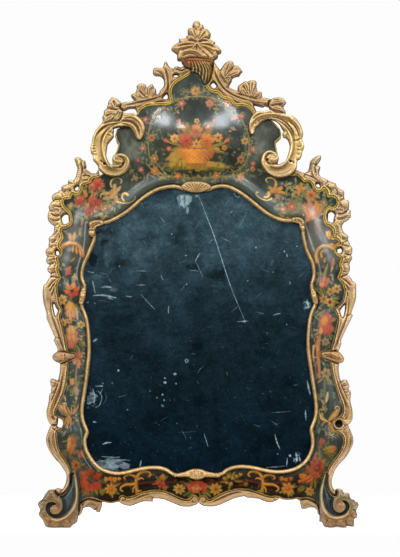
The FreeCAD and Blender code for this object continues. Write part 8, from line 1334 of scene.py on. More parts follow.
def lacquer_piece(name, step, fine=None):
    s = Slab(name + "_lacquer", [CARC[name]], step, 11.0, fine=fine, smooth=1)
    ts, _ = dist_line(s.p, SC_CURVE, True)
    to, _ = dist_line(s.p, LQ_CURVE, True)
    s.h = neighbours_mean(len(s.p), s.f, lacquer_height(s.p, ts, to), 12 if fine else 36)
    c = Canvas(s.p, GROUND, 0.26)
    paint_ground(c, ts, to)
    if name == "crest_panel":
        paint_crest(c)
        # browned varnish over the basket
        c.c *= 1 - (1 - sstep(((c.p[:, 0] - 196) / 36) ** 2 + ((c.p[:, 1] - 146) / 25) ** 2, 0.7, 1.15))[:, None] * np.array([-0.10, 0.04, 0.20])
        paint_upper_left(c)
        paint_upper_right(c)
    elif name == "bottom_rail":
        paint_bottom(c)
    if name in ("crest_panel", "left_stile", "bottom_rail"):
        paint_left(c)
    if name in ("crest_panel", "right_stile", "bottom_rail"):
        paint_right(c)
    if name in ("left_stile", "right_stile"):
        paint_bottom(c)
    paint_highlights(c)
    # painted sheen: lighter, warmer shoulders; then tints by height: warmer at the top of the crest and round its foot,
    # lighter at the sides there, a little lighter down the stiles, darker and browner towards the foot
    y = c.p[:, 1]
    shoulder_sheen = sstep(y, 200, 218) * (1 - sstep(y, 258, 272)) * (0.75 + 0.5 * fbm(c.p * np.array([1.3, 0.7]), 7.0, 91)) * (1 + 0.35 * sstep(c.p[:, 0], 250, 300))
    c.c = c.c * (1 + 0.28 * shoulder_sheen)[:, None]
    shoulder_sheen = (0.12 * shoulder_sheen)[:, None]
    c.c = c.c * (1 - shoulder_sheen) + lin(198, 170, 132) * shoulder_sheen
    side = sstep(np.abs(c.p[:, 0] - 196), 60, 76)
    c.c = c.c * (1 - ((1 - sstep(y, 100, 122)) * (1 - side))[:, None] * np.array([0.02, 0.10, 0.28]))
    c.c = c.c * (1 + (sstep(y, 162, 172) * (1 - sstep(y, 186, 200)))[:, None] * (np.array([0.14, 0.04, -0.16]) + side[:, None] * np.array([0.20, 0.26, 0.26])))
    c.c = c.c * (1 + (sstep(y, 248, 262) * (1 - sstep(y, 350, 372)))[:, None] * np.array([0.10, 0.08, 0.02]))
    c.c = c.c * (1 - (sstep(y, 395, 450) * (1 - 0.85 * sstep(y, 484, 492)))[:, None] * np.array([0.10, 0.21, 0.36]))
    edge_line(c, to)
    # a faint grey veil over all but the foot; brown chips in the old varnish
    low = sstep(s.p[:, 1], 466, 480)
    veil = ((0.07 + 0.07 * fbm(s.p * np.array([1.4, 0.5]), 9.0, 83)) * (1 - low))[:, None]
    c.c = c.c * (1 - veil) + lin(76, 80, 74) * veil
    chip = sstep(fbm(s.p, 5.0, 77), 0.62, 0.72) * sstep(fbm(s.p, 40.0, 78), -0.1, 0.4) * 0.5
    c.c = c.c * (1 - chip)[:, None] + lin(58, 46, 32) * chip[:, None]
    s.h = s.h + c.lift
    s.rgb = np.clip(c.c, 0, 1)
    p = s.p
    c.r = np.maximum(c.r, 0.20 + 0.20 * sstep(p[:, 1], 176, 220))
    s.mr = np.stack([c.m, c.r], 1)
    low = sstep(p[:, 1], 446, 468) * sstep(p[:, 0], 70, 88) * (1 - sstep(p[:, 0], 310, 326))
    cove = (1 - sstep(p[:, 1], 206, 240)) * (1 - sstep(ts, 11, 18))
    s.gloss = (1 - 0.95 * low) * sstep(to, 1.6, 4.2) * (1 - 0.93 * cove) * (1 - 0.72 * sstep(p[:, 1], 176, 215))
    s.crisp = True
    return s


# ---------------------------------------------------------------- gilt carving
# gilt colours: base gold and painted highlight, darker golds for the hollows and painted shade, and bole
G_MID, G_HIGHLIGHT = lin(178, 140, 88), lin(210, 178, 124)
G_LOW, G_DEEP, G_BOLE = lin(142, 104, 62), lin(92, 62, 36), lin(146, 90, 56)


def spiral(cx, cy, r, turns, start, hand=1, r1=0.5):
    t = np.linspace(0, 1, int(40 * turns) + 8)
    a = math.radians(start) + hand * t * turns * 2 * math.pi
    q = r + (r1 - r) * t ** 0.85
    return np.stack([cx + q * np.cos(a), cy + q * np.sin(a)], 1)


def notches(curve, reach=1.6, least=32.0):
    """Inward corners of a closed outline: position, inward direction, turn."""
    q = resample(curve, 0.4)
    k = max(2, int(reach / 0.4))
    a, b = q - np.roll(q, k, 0), np.roll(q, -k, 0) - q
    ang = np.degrees(np.arctan2(a[:, 0] * b[:, 1] - a[:, 1] * b[:, 0], (a * b).sum(1)))
    area2 = (q[:, 0] * np.roll(q[:, 1], -1) - q[:, 1] * np.roll(q[:, 0], -1)).sum()
    turn = -ang if area2 > 0 else ang
    out = []
    for i in np.argsort(-turn):
        if turn[i] < least:
            break
        if all(np.linalg.norm(q[i] - o[0]) > 1.8 for o in out):
            t = np.roll(q, -k, 0)[i] - np.roll(q, k, 0)[i]
            t = t / max(np.linalg.norm(t), 1e-9)
            n = np.array([-t[1], t[0]]) * (1 if area2 > 0 else -1)
            out.append((q[i], n, turn[i]))
    return out


def near_line(p, line, reach):
    lo, hi = line.min(0) - reach, line.max(0) + reach
    return np.nonzero(((p > lo) & (p < hi)).all(1))[0]


def carve_text(s, text):
    """Hand-cut strokes, one on a line: kind, width, height, then the points."""
    for row in text.strip().splitlines():
        if not row.strip():
            continue
        head, body = row.split(":")
        h = head.split()
        kind, w, amp = h[0], float(h[1]), float(h[2])
        q = pts(body)
        if kind in "rgckf":
            q = resample(smooth_open(q), 0.5, False)
        i = near_line(s.p, q, 4 * w + 1)
        if not len(i):
            continue
        p = s.p[i]
        if kind in "rgck":
            d, t = dist_line(p, q)
            tap = np.clip(np.minimum(t, 1 - t) / 0.16, 0.12, 1.0) if kind in "rg" else np.clip(np.minimum(t, 1 - t) / 0.05, 0.3, 1.0)
            if kind == "r":
                s.h[i] += 0.56 * amp * np.exp(-(d / (0.8 * w)) ** 1.5) * tap
            elif kind == "g":
                s.h[i] -= 0.62 * amp * np.exp(-(d / (0.85 * w)) ** 1.5) * tap
            elif kind == "c":      # rounded cord lying on the surface
                s.h[i] += amp * np.sqrt(np.clip(1 - (d / w) ** 2, 0, 1)) * tap
            else:                  # hollow channel with crisp edges
                s.h[i] -= amp * np.clip(1 - (d / w) ** 2, 0, 1) * tap
        elif kind == "f":          # swelling that narrows to nothing along the line
            d, t = dist_line(p, q)
            ww = w * (1 - 0.85 * t)
            s.h[i] += amp * np.sqrt(np.clip(1 - (d / np.maximum(ww, 0.2)) ** 2, 0, 1)) * (1 - 0.6 * t)
        elif kind == "l":          # leaf lobe from base to tip, with a middle vein
            for a, b in zip(q[0::2], q[1::2]):
                ln = np.linalg.norm(b - a)
                e = (b - a) / ln
                u = ((p - a) @ e) / ln
                v = (p - a) @ np.array([-e[1], e[0]])
                ww = w * np.clip(np.sin(math.pi * np.clip(0.12 + 0.8 * u, 0, 1)), 0.02, 1) ** 0.6
                m = np.clip(1 - (v / (1.12 * ww)) ** 2, 0, 1) ** 0.3 * sstep(u, -0.1, 0.12) * (1 - sstep(u, 0.9, 1.1))
                s.h[i] += 0.42 * amp * m
                s.h[i] -= 0.26 * amp * gauss(v, 0.34) * (u > 0) * (u < 1) * np.sin(math.pi * np.clip(u, 0, 1))
        elif kind == "b":
            for a in q:
                r = np.linalg.norm(p - a, axis=1) / w
                s.h[i] += 0.55 * amp * np.sqrt(np.clip(1 - r * r, 0, 1))
        elif kind == "p":
            for a in q:
                s.h[i] -= amp * (1 - sstep(np.linalg.norm(p - a, axis=1) / w, 0.35, 1.0))


def gilt_colors(s, shine=0.62, rough=0.42, warm=1.0):
    n = len(s.p)
    soft = neighbours_mean(n, s.f, s.h, 5)
    wide = neighbours_mean(n, s.f, s.h, 30)
    hollow = np.clip((soft - s.h) * 1.5, -1, 1) * 0.6 + np.clip((wide - s.h) * 0.30, -1, 1) * 0.7
    hollow = hollow + 0.10 * fbm(s.p, 6.0, 3)
    edge = (1 - sstep(s.d, 0.0, 1.0)) * 0.15
    v = hollow + edge
    # painted light and shade: pale painted highlight on the ridges, painted shade along the outline, and darker
    # hollows, partly grime and partly painted shade
    stops = [(-0.75, G_HIGHLIGHT), (-0.16, G_MID * 1.12), (0.05, G_MID * 0.88), (0.26, G_LOW), (0.70, G_DEEP)]
    xs = [a for a, _ in stops]
    rgb = np.stack([np.interp(v, xs, [c[k] for _, c in stops]) for k in range(3)], 1)
    # bole showing on rubbed heights
    rub = sstep(fbm(s.p, 9.0, 31), 0.18, 0.6) * sstep(-hollow, -0.1, 0.35) * 0.34 * warm
    rgb = rgb * (1 - rub)[:, None] + (G_BOLE * 1.15) * rub[:, None]
    pale = sstep(fbm(s.p, 14.0, 57), 0.1, 0.7) * 0.22
    rgb = rgb * (1 - pale)[:, None] + lin(190, 164, 120) * pale[:, None]
    s.rgb = np.clip(rgb, 0, 1)
    metal = np.clip(shine - 0.42 * np.clip(v, 0, 1) - 0.3 * rub, 0.05, 1)
    s.mr = np.stack([metal, np.clip(rough + 0.25 * np.clip(v, 0, 1), 0.2, 0.9)], 1)


def gilt_piece(name, back, top, loops=None, step=0.40, edge=0.56, wide=3.0, groove=2.6, ruffle=0.5, ruffle_gap=1.9, reach=6.0, floor=False, extra=None, body_top=None):
    loops = loops or [PIECES[name]] + PIERCED.get(name, [])
    s = Slab(name + "_carving", loops, step, back)
    rise = top - back
    x = np.clip(s.d / wide, 0, 1)
    s.h = back + rise * (edge + (1 - edge) * np.sqrt(1 - (1 - x) ** 2)) * 0.86
    s.h = s.h + 0.35 * fbm(s.p, 7.0, 11)
    # gouge cuts running in from every inward corner of the outline
    for c in s.curves[:1]:
        for q, n, turn in notches(c):
            ln = reach * min(1.0, 0.45 + turn / 110.0)
            bend = np.array([-n[1], n[0]]) * 0.22 * ln * (1 if (int(q[0] * 7 + q[1] * 3) % 2) else -1)
            line = np.array([q - n * 0.4, q + n * ln * 0.5 + bend * 0.4, q + n * ln + bend])
            line = resample(smooth_open(line), 0.5, False)
            i = near_line(s.p, line, 5)
            if len(i):
                d, t = dist_line(s.p[i], line)
                s.h[i] -= groove * np.exp(-(d / (0.75 + 0.3 * (1 - t))) ** 1.5) * np.clip(1.15 - t, 0, 1) * sstep(t, -0.1, 0.06)
    # fine gouge hatching along the border
    if ruffle:
        c = resample(s.curves[0], 0.3)
        d, t = dist_line(s.p, c, True)
        ln = len(c) * 0.3
        k = t * ln / ruffle_gap + 0.35 * hash_noise(s.p, 9.0, 7)
        s.h += ruffle * (np.abs(np.sin(math.pi * k)) - 0.6) * (1 - sstep(s.d, 2.0, 5.0)) * sstep(s.d, 0.1, 0.9)
    if name in CARVE:
        carve_text(s, CARVE[name])
    if extra:
        extra(s)
    s.h = np.maximum(s.h, back + 1.6)
    s.h = np.minimum(s.h, top + 6.0)
    s.floor = floor
    return s


CARVE = {
    "finial_leaf": """
g 0.5 0.9 : 197.4,40.5 197,30 196.9,24
g 0.5 1.1 : 196.6,40.5 194.6,33 192.8,28.4
g 0.5 1.3 : 196,40.5 192.6,35 190.4,32
g 0.5 1.1 : 198.2,40.5 200.2,33 202.2,27.8
g 0.5 1.3 : 198.8,40.5 203.4,34.6 206.2,31.8
r 1.4 1.6 : 197.2,38 197.0,30 196.8,24
r 1.1 1.2 : 196,39.6 193.0,34 190.6,30
r 1.1 1.2 : 198.6,39.6 202.4,33.6 205.2,29.8
r 1.0 1.0 : 199.4,40 204,37 208,35.4
r 1.0 1.0 : 195.4,40 192,38.0 189.4,36.4
g 0.9 3.8 : 188.4,40.6 193,41.0 197.4,42.6
g 0.9 3.8 : 208.4,40.8 203,41.2 197.8,42.6
r 1.5 2.2 : 194.6,43.4 187,43.0 178.6,44.2
r 1.5 2.0 : 194.0,45.6 186,46.6 176.4,48.8
g 0.55 1.9 : 194.4,44.6 185,45.2 175.4,46.6
g 0.55 2.1 : 193.4,47.2 187,48.8 180.6,50.6
r 1.5 2.2 : 199.8,43.6 207,43.2 214,44.8
r 1.5 2.0 : 201.0,45.4 209,47.6 217.0,52.0
g 0.55 1.9 : 200.2,44.6 209,45.4 217.4,48.6
g 0.55 2.1 : 202.4,47.0 208,50.6 213.6,56.0
r 0.8 3.2 : 197.0,43.2 194.6,46.2 192.2,49.4
r 0.8 3.2 : 197.4,43.2 199.2,46.2 200.6,49.0
g 0.7 2.2 : 196.8,46.4 196.6,48.6 196.4,50.4
r 1.5 2.6 : 180.6,54.2 185,51.8 190,50.8 195.6,51.6 200.6,54.4 205,58.6
g 0.7 2.4 : 181.4,57.4 186,54.8 191,54.2 196,56.0 200,59.0
r 1.2 1.8 : 203.6,52.4 208.6,55.6 211.6,59.2
g 0.7 2.2 : 201.4,51.4 206.4,54.8 209.0,59.0
""",
    "fluted_neck": """
r 1.3 2.0 : 187,60 188.6,64.6 186.6,69.6 182,74
""",
    "crest_branch_left": """
r 1.0 2.6 : 154.5,70 160,70.2 164,74 166,82 165.4,89 161,94.6 152,98 138,101 124,103.8
r 0.8 2.2 : 165.4,61.5 166,67 168.6,73 170,80 169.6,88 170.6,96
g 0.6 2.8 : 164.6,68 166.8,75 168,84 167,92
g 0.6 2.4 : 158,71.6 163,76 164.4,84 163,90.4
r 0.8 2.0 : 175,71 180,72.6 186,70 189.6,64
g 0.6 2.8 : 176.6,69 182,70.4 187,66.6 188,60.6
b 1.9 2.6 : 176.4,67.6
g 0.6 2.6 : 160,96.8 150,99.8 138,102.6 126,105.6
r 0.8 1.8 : 166,98.6 156,101 144,103.8 132,107
g 0.6 2.2 : 171,97 165,100.4 154,103 142,106
r 0.9 2.2 : 188,74 180,79.6 173.6,85 171.4,92 171.6,98
g 0.6 2.4 : 186,76.6 178,82 173,88
l 4.2 2.6 : 145.6,98 140.4,84
l 4.0 2.6 : 147.6,98 153.4,85
l 3.6 2.4 : 144,98.6 132.6,95
g 0.7 3.2 : 145.4,97 139,90.6
g 0.7 3.2 : 147,96 147.4,87.6
g 0.4 1.4 : 146,97 143.4,86
g 0.4 1.4 : 148,97 150.6,87
""",
    "crest_branch_right": """
r 1.1 2.6 : 214.6,66 216.6,73 220.6,81 226,88.4 234,94 246,98.6 258,101.4 270,103
g 0.6 2.8 : 213.6,70 216.8,78 222,86.4 229,92.6 240,97.8 252,101
r 0.8 2.2 : 211.6,72 213,78 216.6,82.6 219.6,88 226,95 236,100.4 248,104
g 0.6 2.4 : 220,90 228,96.6 238,102.4
g 0.6 2.2 : 236,93 246,96 258,99.4
r 0.9 2.0 : 209.6,84 213,89.6 219,91.8
r 0.8 2.0 : 217,69 221,72.6 226,80 229,86
l 4.2 2.8 : 223,77 230.4,61
l 3.6 2.6 : 224,78 239.6,71
l 3.0 2.4 : 223.6,79 232,79.6
g 0.7 3.0 : 223.6,77.4 234,66.4
g 0.6 2.6 : 224.6,78.6 236,77
g 0.4 1.4 : 223.4,77 229,64.6
l 3.2 2.4 : 250,97.4 240.6,88.6
l 3.2 2.4 : 250,97 245,81.6
l 3.2 2.4 : 250.4,97 253,79.8
l 3.2 2.4 : 251,97.4 260.6,88.6
g 0.6 2.8 : 249.4,96 242.6,84.6
g 0.6 2.8 : 250,95.6 249,81.6
g 0.6 2.8 : 251,96 257.4,84
g 0.4 1.4 : 250,96 245.6,84
g 0.4 1.4 : 250.4,96 252.6,82.6
""",
    "ivy_leaf_left": """
l 3.4 2.6 : 118,109 112,98
g 0.8 2.8 : 115,106.6 113,101
g 0.8 3.0 : 109.4,109 115,109.8 120,108
r 0.9 2.4 : 120.5,108.6 116,114 113.5,121
r 0.9 2.2 : 121,109 118.6,115 117,121.5
r 0.8 2.0 : 121.6,110 121,116 120.4,121
g 0.6 2.6 : 118.4,111 114.6,117 111,121
g 0.6 2.4 : 120,112 117.6,119
l 2.8 2.2 : 115,112 104,113 113,116 104.6,121
g 0.6 2.2 : 112,113.6 105.6,116.8
""",
    "ivy_leaf_right": """
l 3.2 2.6 : 270,103 285,100.8
g 0.7 2.6 : 272.6,100.4 280,99.8
g 0.8 3.0 : 270.6,106 277,105 283,104.2
l 3.4 2.4 : 272,107.4 284,110
g 0.6 2.4 : 273,110 280,111.6 284,113.4
""",
    "c_scroll_left": """
g 1.3 4.6 : 95.5,139 99.5,132 106,127.2 114,124.9 121,124.5 127,126 131.5,130.5
r 0.8 2.6 : 92.6,148 94,139 98,131.4 105,125.6 113,122.8 121,122
r 0.8 2.2 : 101,137 106,131 113,127.6 120,126.8 126,128.4
r 0.9 2.4 : 123,118.6 131,117.4 138,121 142.4,128 142.4,135
g 0.8 2.8 : 126,121.6 133,122.6 138,128 139.6,135
r 0.8 1.6 : 128,124 134,127 137,133
g 0.6 2.0 : 108,132.4 111,133.6
g 0.6 2.0 : 107,135.6 110.6,137
p 1.7 6 : 104.6,164.6
g 0.8 3.2 : 100.2,161.6 104,163.6 107.4,166.6
r 1.0 2.4 : 101,169.6 108,175 117,175.6 125,170.6 128,163 125.4,157.4 119.6,156
g 1.0 4.4 : 110,167 115.6,168.8 121.4,167.6 124.2,163 122.6,158.8 118.6,158.2
b 3.1 3.4 : 118.2,162.6
p 1.5 5 : 122.8,164.6
g 0.5 1.6 : 91.6,147 95.4,147
g 0.5 1.6 : 92,150 95.8,149.8
g 0.5 1.6 : 92.6,153 96,152.6
g 0.5 1.4 : 93.4,156 97,155.6
""",
    "c_scroll_right": """
r 0.9 2.4 : 250.6,129 252.6,122.6 258.4,117.6 267,115 277,115.2 286,118.6
g 1.2 4.4 : 255,125.4 262,120 272,118.2 280.6,120.2 288,125.8 292.6,133 294.4,141
r 0.8 2.2 : 259,122.8 266,120.8 274,121.2 281,124.6 286.4,130 289.4,137
r 0.9 2.8 : 289.6,119 296,123.6 300.4,130.6 301.6,138
g 0.8 3.4 : 288.2,121.6 294.4,127 298.2,134 299.2,139.6
r 0.8 2.4 : 287.6,123.6 293,129.6 296.4,137
g 0.7 2.6 : 300.8,139.8 296,141.8 292.6,141
g 0.5 1.8 : 254,122.8 256.6,125.4
g 0.5 1.8 : 257,120.6 259.2,123
p 1.7 6 : 290.4,162
g 0.8 3.0 : 287.8,160 291,162 294.6,163.8
r 1.0 2.4 : 293,168 287,174.6 278,176.6 269,173.6 263.6,166.4 263.6,158.4 268,153.4
g 1.3 5.0 : 277.4,163.6 271.6,165.4 267,162.6 265.8,158 269,154.6 273.4,155.4
b 3.3 3.2 : 272.8,159.8
p 1.8 4 : 267.4,160.6
g 0.5 1.4 : 297,147.6 301.8,147.4
g 0.5 1.4 : 297,151 301.4,151.4
g 0.5 1.4 : 297,155 300.4,155.6
""",
    "upper_rim_left": """
r 1.3 3.0 : 78.4,160 79.6,166 80.4,173 79,180 74.6,184.4
g 0.7 3.0 : 81.4,162.6 82.4,169 82,175
r 0.9 2.4 : 83,163 84,170 88,174.6 92.6,175.4
g 0.7 2.8 : 82.6,176.6 87,175.6 91,177
r 0.9 2.0 : 82,179.6 87,178.6 91,179.2
b 3.4 3.0 : 67.4,188.4
b 3.6 3.2 : 58.6,196.4
b 4.4 3.2 : 56,204.4
g 0.7 3.2 : 64,192.6 66.6,190.4 70.6,191
g 0.7 3.2 : 53,200.6 57.6,199.6 63,199.4
g 0.7 2.8 : 52.6,205.8 57,207 61.6,206.6
r 0.9 2.4 : 54,210.6 56.4,208.4 59.6,209.4 60,212.4 57,213.6 55.6,211.6
g 0.7 3.2 : 50.6,213.4 55,216.2 60.4,215.6
r 0.9 2.0 : 50.6,217.6 55,219 60,217.4
g 0.7 3.0 : 51.6,221.4 56,221 60.6,219.6
r 1.1 2.2 : 59.4,222.4 58,227 57.6,233 58.4,238 56.4,243 55.6,248
g 0.7 2.8 : 52,235 55.6,233.6 57.6,230
b 2.6 2.4 : 52.6,238.6
g 0.7 2.8 : 51.6,243.4 54,242 56,239.6
b 2.6 2.4 : 51,251.6
g 0.7 2.6 : 49.6,247.8 53,247.4
b 3.0 2.4 : 50.6,257.6
g 0.7 2.8 : 48.4,254.4 53,254
g 0.7 2.8 : 48.6,263.8 54.6,263.2
b 3.0 2.4 : 51.6,268
g 0.7 2.6 : 51,272.8 56,272
""",
    "upper_rim_right": """
r 1.2 2.8 : 318.6,157.6 314,163 312.6,169 314,175.6 319,180.6
g 0.7 2.8 : 316.6,162 314.8,168 316.4,174
r 0.8 1.8 : 319,167 317,172 319,177 325,180.4
g 0.6 2.4 : 304,174.6 309,175.8 313.6,178.4
r 0.8 1.8 : 300,172.6 306,174 311.6,176.4
b 3.2 2.8 : 331.6,186.4
b 3.6 2.8 : 340.4,191.6
g 0.7 3.0 : 326.4,186.4 330.6,189.6 331.4,193
g 0.7 3.0 : 334.4,187.4 337.4,191.4 337,196
g 0.7 2.8 : 339.6,197.6 342,196 344.4,197
b 4.6 3.2 : 344.4,204.4
g 0.8 3.2 : 339,200.4 340.4,204.8 342.6,208.4
r 0.9 2.4 : 336.4,209.6 340,208.4 343.4,210 342.4,212.6 339,212.4
g 0.8 3.0 : 337,214.6 342,213.8 347.6,211.4
r 0.9 2.2 : 337,217 342.4,216.6 348.4,214
g 0.7 2.8 : 336.6,219.4 342,219.4 346.6,217.4
r 1.1 2.2 : 336,223 339,228 340,234 342,240 345,246
g 0.7 2.8 : 340.6,226 344,231 345,235.6
b 2.6 2.4 : 344.6,235.8
g 0.7 2.6 : 341.6,238 344,239.6 346.6,239
b 3.0 2.4 : 348,250.6
g 0.7 2.6 : 345,246 349.4,246.6
g 0.7 2.6 : 344,254 349,255
b 2.6 2.2 : 348,258.8
g 0.7 2.6 : 343.6,263 348.4,263
b 2.6 2.2 : 346.6,267.6
g 0.7 2.4 : 342.6,271.6 346.6,272.4
""",
    "stalk_left": """
g 0.7 3.0 : 58.4,277.6 52.6,282.6 48,288.6
g 0.7 3.0 : 58,280.4 53,286 49.6,292.6
g 0.7 2.8 : 57.4,284 53.4,291 52,298
r 1.0 2.0 : 58.6,279 53,284.4 49,290.6
r 0.9 1.8 : 57.6,282.2 53.4,288.6 51,295
r 1.2 2.0 : 46.2,288 46,300 48.4,313 53,327 58.4,341 62,351
g 0.8 3.0 : 50.4,298 51.8,314 55.6,326 60.4,339 64,351
r 1.0 1.8 : 55.4,319 60,332 64.4,348
r 0.8 1.8 : 58.6,296 60.8,304 61.2,310 59,316
""",
    "stalk_right": """
g 0.7 3.0 : 340.4,277.6 346,281.4 351,286.4
g 0.7 3.0 : 340.6,280.6 345.6,285.6 349.4,291.6
g 0.7 2.8 : 341.4,284 345.6,290 347.6,297
r 1.0 2.0 : 340.4,279 346,283.4 350.4,288.6
r 0.9 1.8 : 341,282.4 345.6,287.8 348.4,294
r 1.2 2.0 : 354,287 353.4,300 350.8,313 346.4,325 341,338 337.4,350
g 0.8 3.0 : 349,297 347.8,312 344.4,324 339,337 335,350
r 1.0 1.8 : 344,319 339.4,330 334.6,345
r 0.8 1.8 : 341,296 339.6,303 338.6,309
""",
    "knot_leaf_left": """
r 1.5 3.4 : 55,356.6 60,357.8 65,357.6 70,356 75.4,353.4
g 0.8 3.0 : 54.6,359.6 60,361 66,360.4 72,358.8
b 3.4 2.2 : 58.4,356.2
g 0.7 2.6 : 64.6,353.4 65.6,357 65.2,360.6
""",
    "knot_leaf_right": """
r 1.4 3.2 : 322,353.4 328,353.4 334,355 340.4,358.4
g 0.8 3.0 : 323,356.4 329,357 335,359.4 340,361
r 1.0 1.8 : 326,351.6 333,352.4 339,355.8
g 0.7 2.4 : 331,352.6 330.6,356 331.8,359
""",
    "lower_rim_left": """
r 1.0 2.4 : 61.6,372 60,384 57,392 53,401 50.4,410 51,418
g 0.7 3.0 : 58.4,383.6 55,393 51.6,402
r 1.0 1.8 : 65.6,364 64.6,378 62,390 59.4,400 57,409
g 0.8 2.6 : 63.2,374 61,388 57.4,398 54,408
b 2.4 2.4 : 53.6,382
b 2.2 2.0 : 53.4,389
g 0.6 2.6 : 51.4,385.8 55.8,386.2
g 0.6 2.6 : 51,392.6 55,391.6
r 0.9 2.0 : 50.6,414 52,420 55,421.6 56.4,418.6 54,416.8
g 0.7 2.8 : 52.4,417 55.6,419.6
""",
    "lower_rim_right": """
r 1.0 2.4 : 334.6,364 336.4,376 341,388 345.6,397.6 349,407 349.2,415
g 0.7 3.0 : 339.6,383 344.4,393 347.6,402
r 1.0 1.8 : 332.4,366 334,380 338.4,392 343,402 345.6,411
g 0.8 2.6 : 335.4,380 339.6,391 344,400.6 346.6,409
b 2.4 2.4 : 343.8,382
b 2.2 2.0 : 346.6,388.4
g 0.6 2.6 : 342,386.4 347,384.6
g 0.6 2.6 : 345,392.6 349,391
r 0.9 2.0 : 349.4,414 347.6,420 344.4,421.6 343.4,418.4 346,416.6
g 0.7 2.8 : 347,416.6 344,419.6
""",
    "s_rim_left": """
r 1.1 2.4 : 54.4,428.6 51.8,437 53,446 58,454 64,462 68.6,472 69.4,482 66,489 60.6,491.6
g 0.8 3.0 : 51,429.6 49.4,439.6 51.8,450 58,459.4 64,468 66.8,478 65.4,486.6
r 0.8 1.6 : 49,432 47.8,440 50,449.6 56,459
b 2.5 2.6 : 58.6,490.8
g 0.7 3.0 : 61.8,488.6 61.6,491.6 58.6,493.6
g 0.6 2.4 : 52.6,427.4 56.4,429.6
""",
    "s_rim_right": """
r 1.1 2.4 : 345,428.4 348,436 347,445 342.4,454 336,462 330.4,470 328.4,479 330,487 335.6,491.4
g 0.8 3.0 : 348.6,429.4 350.4,439 348.4,449 342.4,458.6 336,467 332.2,476 333,484.6
r 0.8 1.6 : 350.6,432 352,440 350,449 344,458.6
b 2.5 2.6 : 338.6,491
g 0.7 3.0 : 334.8,488.4 335.4,491.6 338.4,493.8
g 0.6 2.4 : 346.6,427 343,429.6
""",
    "bottom_rim_left": """
r 1.0 2.2 : 126,501 134,500 143,496.6 152,494 161,494.2 171,497 181,501 190,502.8 195.4,500.4
g 0.7 2.8 : 127,498.6 136,497 145,493.8 153,491.8 162,492 172,494.8 182,499 190,500.6
r 0.9 1.6 : 130,496.4 140,493.6 150,490.8
b 2.2 2.4 : 123.4,497
g 0.7 3.0 : 121.6,499.4 125.4,498.6 125,495.4
b 2.0 2.4 : 194.4,499
g 0.7 3.0 : 192,498.6 193.4,501.4 196.6,500
""",
    "bottom_rim_right": """
r 1.0 2.2 : 202.4,500.4 208,503 216,501.6 225,498 234,494.4 243,492 252,492.8 262,496.4 272,499
g 0.7 2.8 : 207,500.6 215,499.4 224,495.8 233,492.2 243,490 253,490.8 263,494.4
r 0.9 1.6 : 240,494 248,493 256,495.4
b 2.2 2.4 : 203.4,498.6
g 0.7 3.0 : 206,498.4 204.6,501.2 201.4,500.4
b 2.0 2.2 : 275.4,496.4
g 0.7 2.8 : 273,495.4 273.4,498 276.4,498.6
""",
    "crescent_left": """
r 1.0 2.4 : 81,510 84,504.4 89,500.8 94.4,501.4 98.4,505 99,509
g 0.7 2.8 : 83.4,509 87,504.4 91.4,503.2 95.4,505.4
g 0.6 2.4 : 94,506.4 97,507.4
r 0.8 1.6 : 84,501.4 90,498.6 96,499.6
""",
    "crescent_right": """
r 1.0 2.4 : 302,503 307,501 312.4,502.4 316,506 318.4,511.4
g 0.7 2.8 : 303,505.6 308,503.8 312.6,505.6 316,510
r 0.8 1.6 : 303,499.4 310,499.4 315.4,503
g 0.6 2.4 : 302.6,503.4 305.6,505.6
""",
    "foot_left": """
r 1.6 3.0 : 52,498.4 57,499.2 60.2,502.6 60.8,507.4 58.6,511 55,511.4 53.2,509.2 54.4,507
b 2.6 3.4 : 56.2,508.8
g 0.8 3.4 : 39.6,508.6 44,508.4
g 0.8 3.4 : 41.6,498.6 46,500.4 48.6,500.6
g 0.8 3.4 : 42.4,517.6 45.6,514.6
g 0.8 3.4 : 49,525.6 51.4,520
g 0.8 3.4 : 62.4,526.6 61.6,521
g 0.8 3.4 : 72.4,524 69.4,518.6
g 0.8 3.0 : 78,513.6 74,511.6
g 0.7 2.6 : 49,489.8 51.4,494.6
b 3.0 2.2 : 42.4,504 43.4,512.6
b 3.4 2.2 : 47.4,520.4 56,523.4 67,522.4
""",
    "foot_right": """
r 1.6 3.0 : 337.6,495 334.8,499.2 335,504 337.2,508.4 340.6,508.8 342.6,506 341.2,503.4
b 2.8 3.4 : 339.4,505.4
g 0.8 3.4 : 354,499.8 350,501.4
g 0.8 3.4 : 355.8,509.6 351.4,508.6
g 0.8 3.4 : 354,518 349.6,514.4
g 0.8 3.4 : 346,525 344.4,519
g 0.8 3.4 : 334.6,525.6 335.4,519.6
g 0.8 3.4 : 324,524.6 327,518.6
g 0.8 3.0 : 319.6,514 323.6,512
g 0.7 2.6 : 349,496 346.6,499
b 2.6 2.0 : 353.4,505 352.6,513
b 3.2 2.0 : 349,520.6 339.6,522 329.4,521.4
""",
}

FOOT_CHANNEL = {
    "foot_left": ("74.5,471 75.6,480 76.6,490 75.8,500 72.0,508.2 65.6,515.0 58,517.9 51,516 47.0,511.3 46.4,506 48.4,502.4 52,501.2 55.6,501.8 57.6,504.2 54.6,504.8 52,506.8 51.0,509.6 52.4,512.4 56,513.7 59.8,512.5 62.4,509 63.2,505 62.2,500.2 60.0,496 63.4,494.4 66.8,490.8 69.8,485.6 70.8,479 71.0,471",
                  "76.4,472.6 77.4,480.6 78.2,490 77.3,500.4 73.5,509.3 66.6,516.5 58.2,519.6 53.0,518.6"),
    "foot_right": ("325.2,472 322.8,483 321.8,492 322.4,501 325.2,509 330.2,514.2 336,515.8 342.4,514.4 347.4,510.4 349,505.2 346.8,501.2 343,499.6 340.4,500.4 343.4,502.8 344.6,506.2 343,509.8 339.6,511.8 335.6,510.8 333.0,507.2 332.6,502 333.8,497.2 331,495 328.2,490.6 326.6,484.6 326.4,478 327,472",
                   "323.2,474.4 321.0,483 320.0,492 320.6,501.6 323.6,510.1 329.3,515.9 336,517.5 342.8,516.0 347,513"),
}


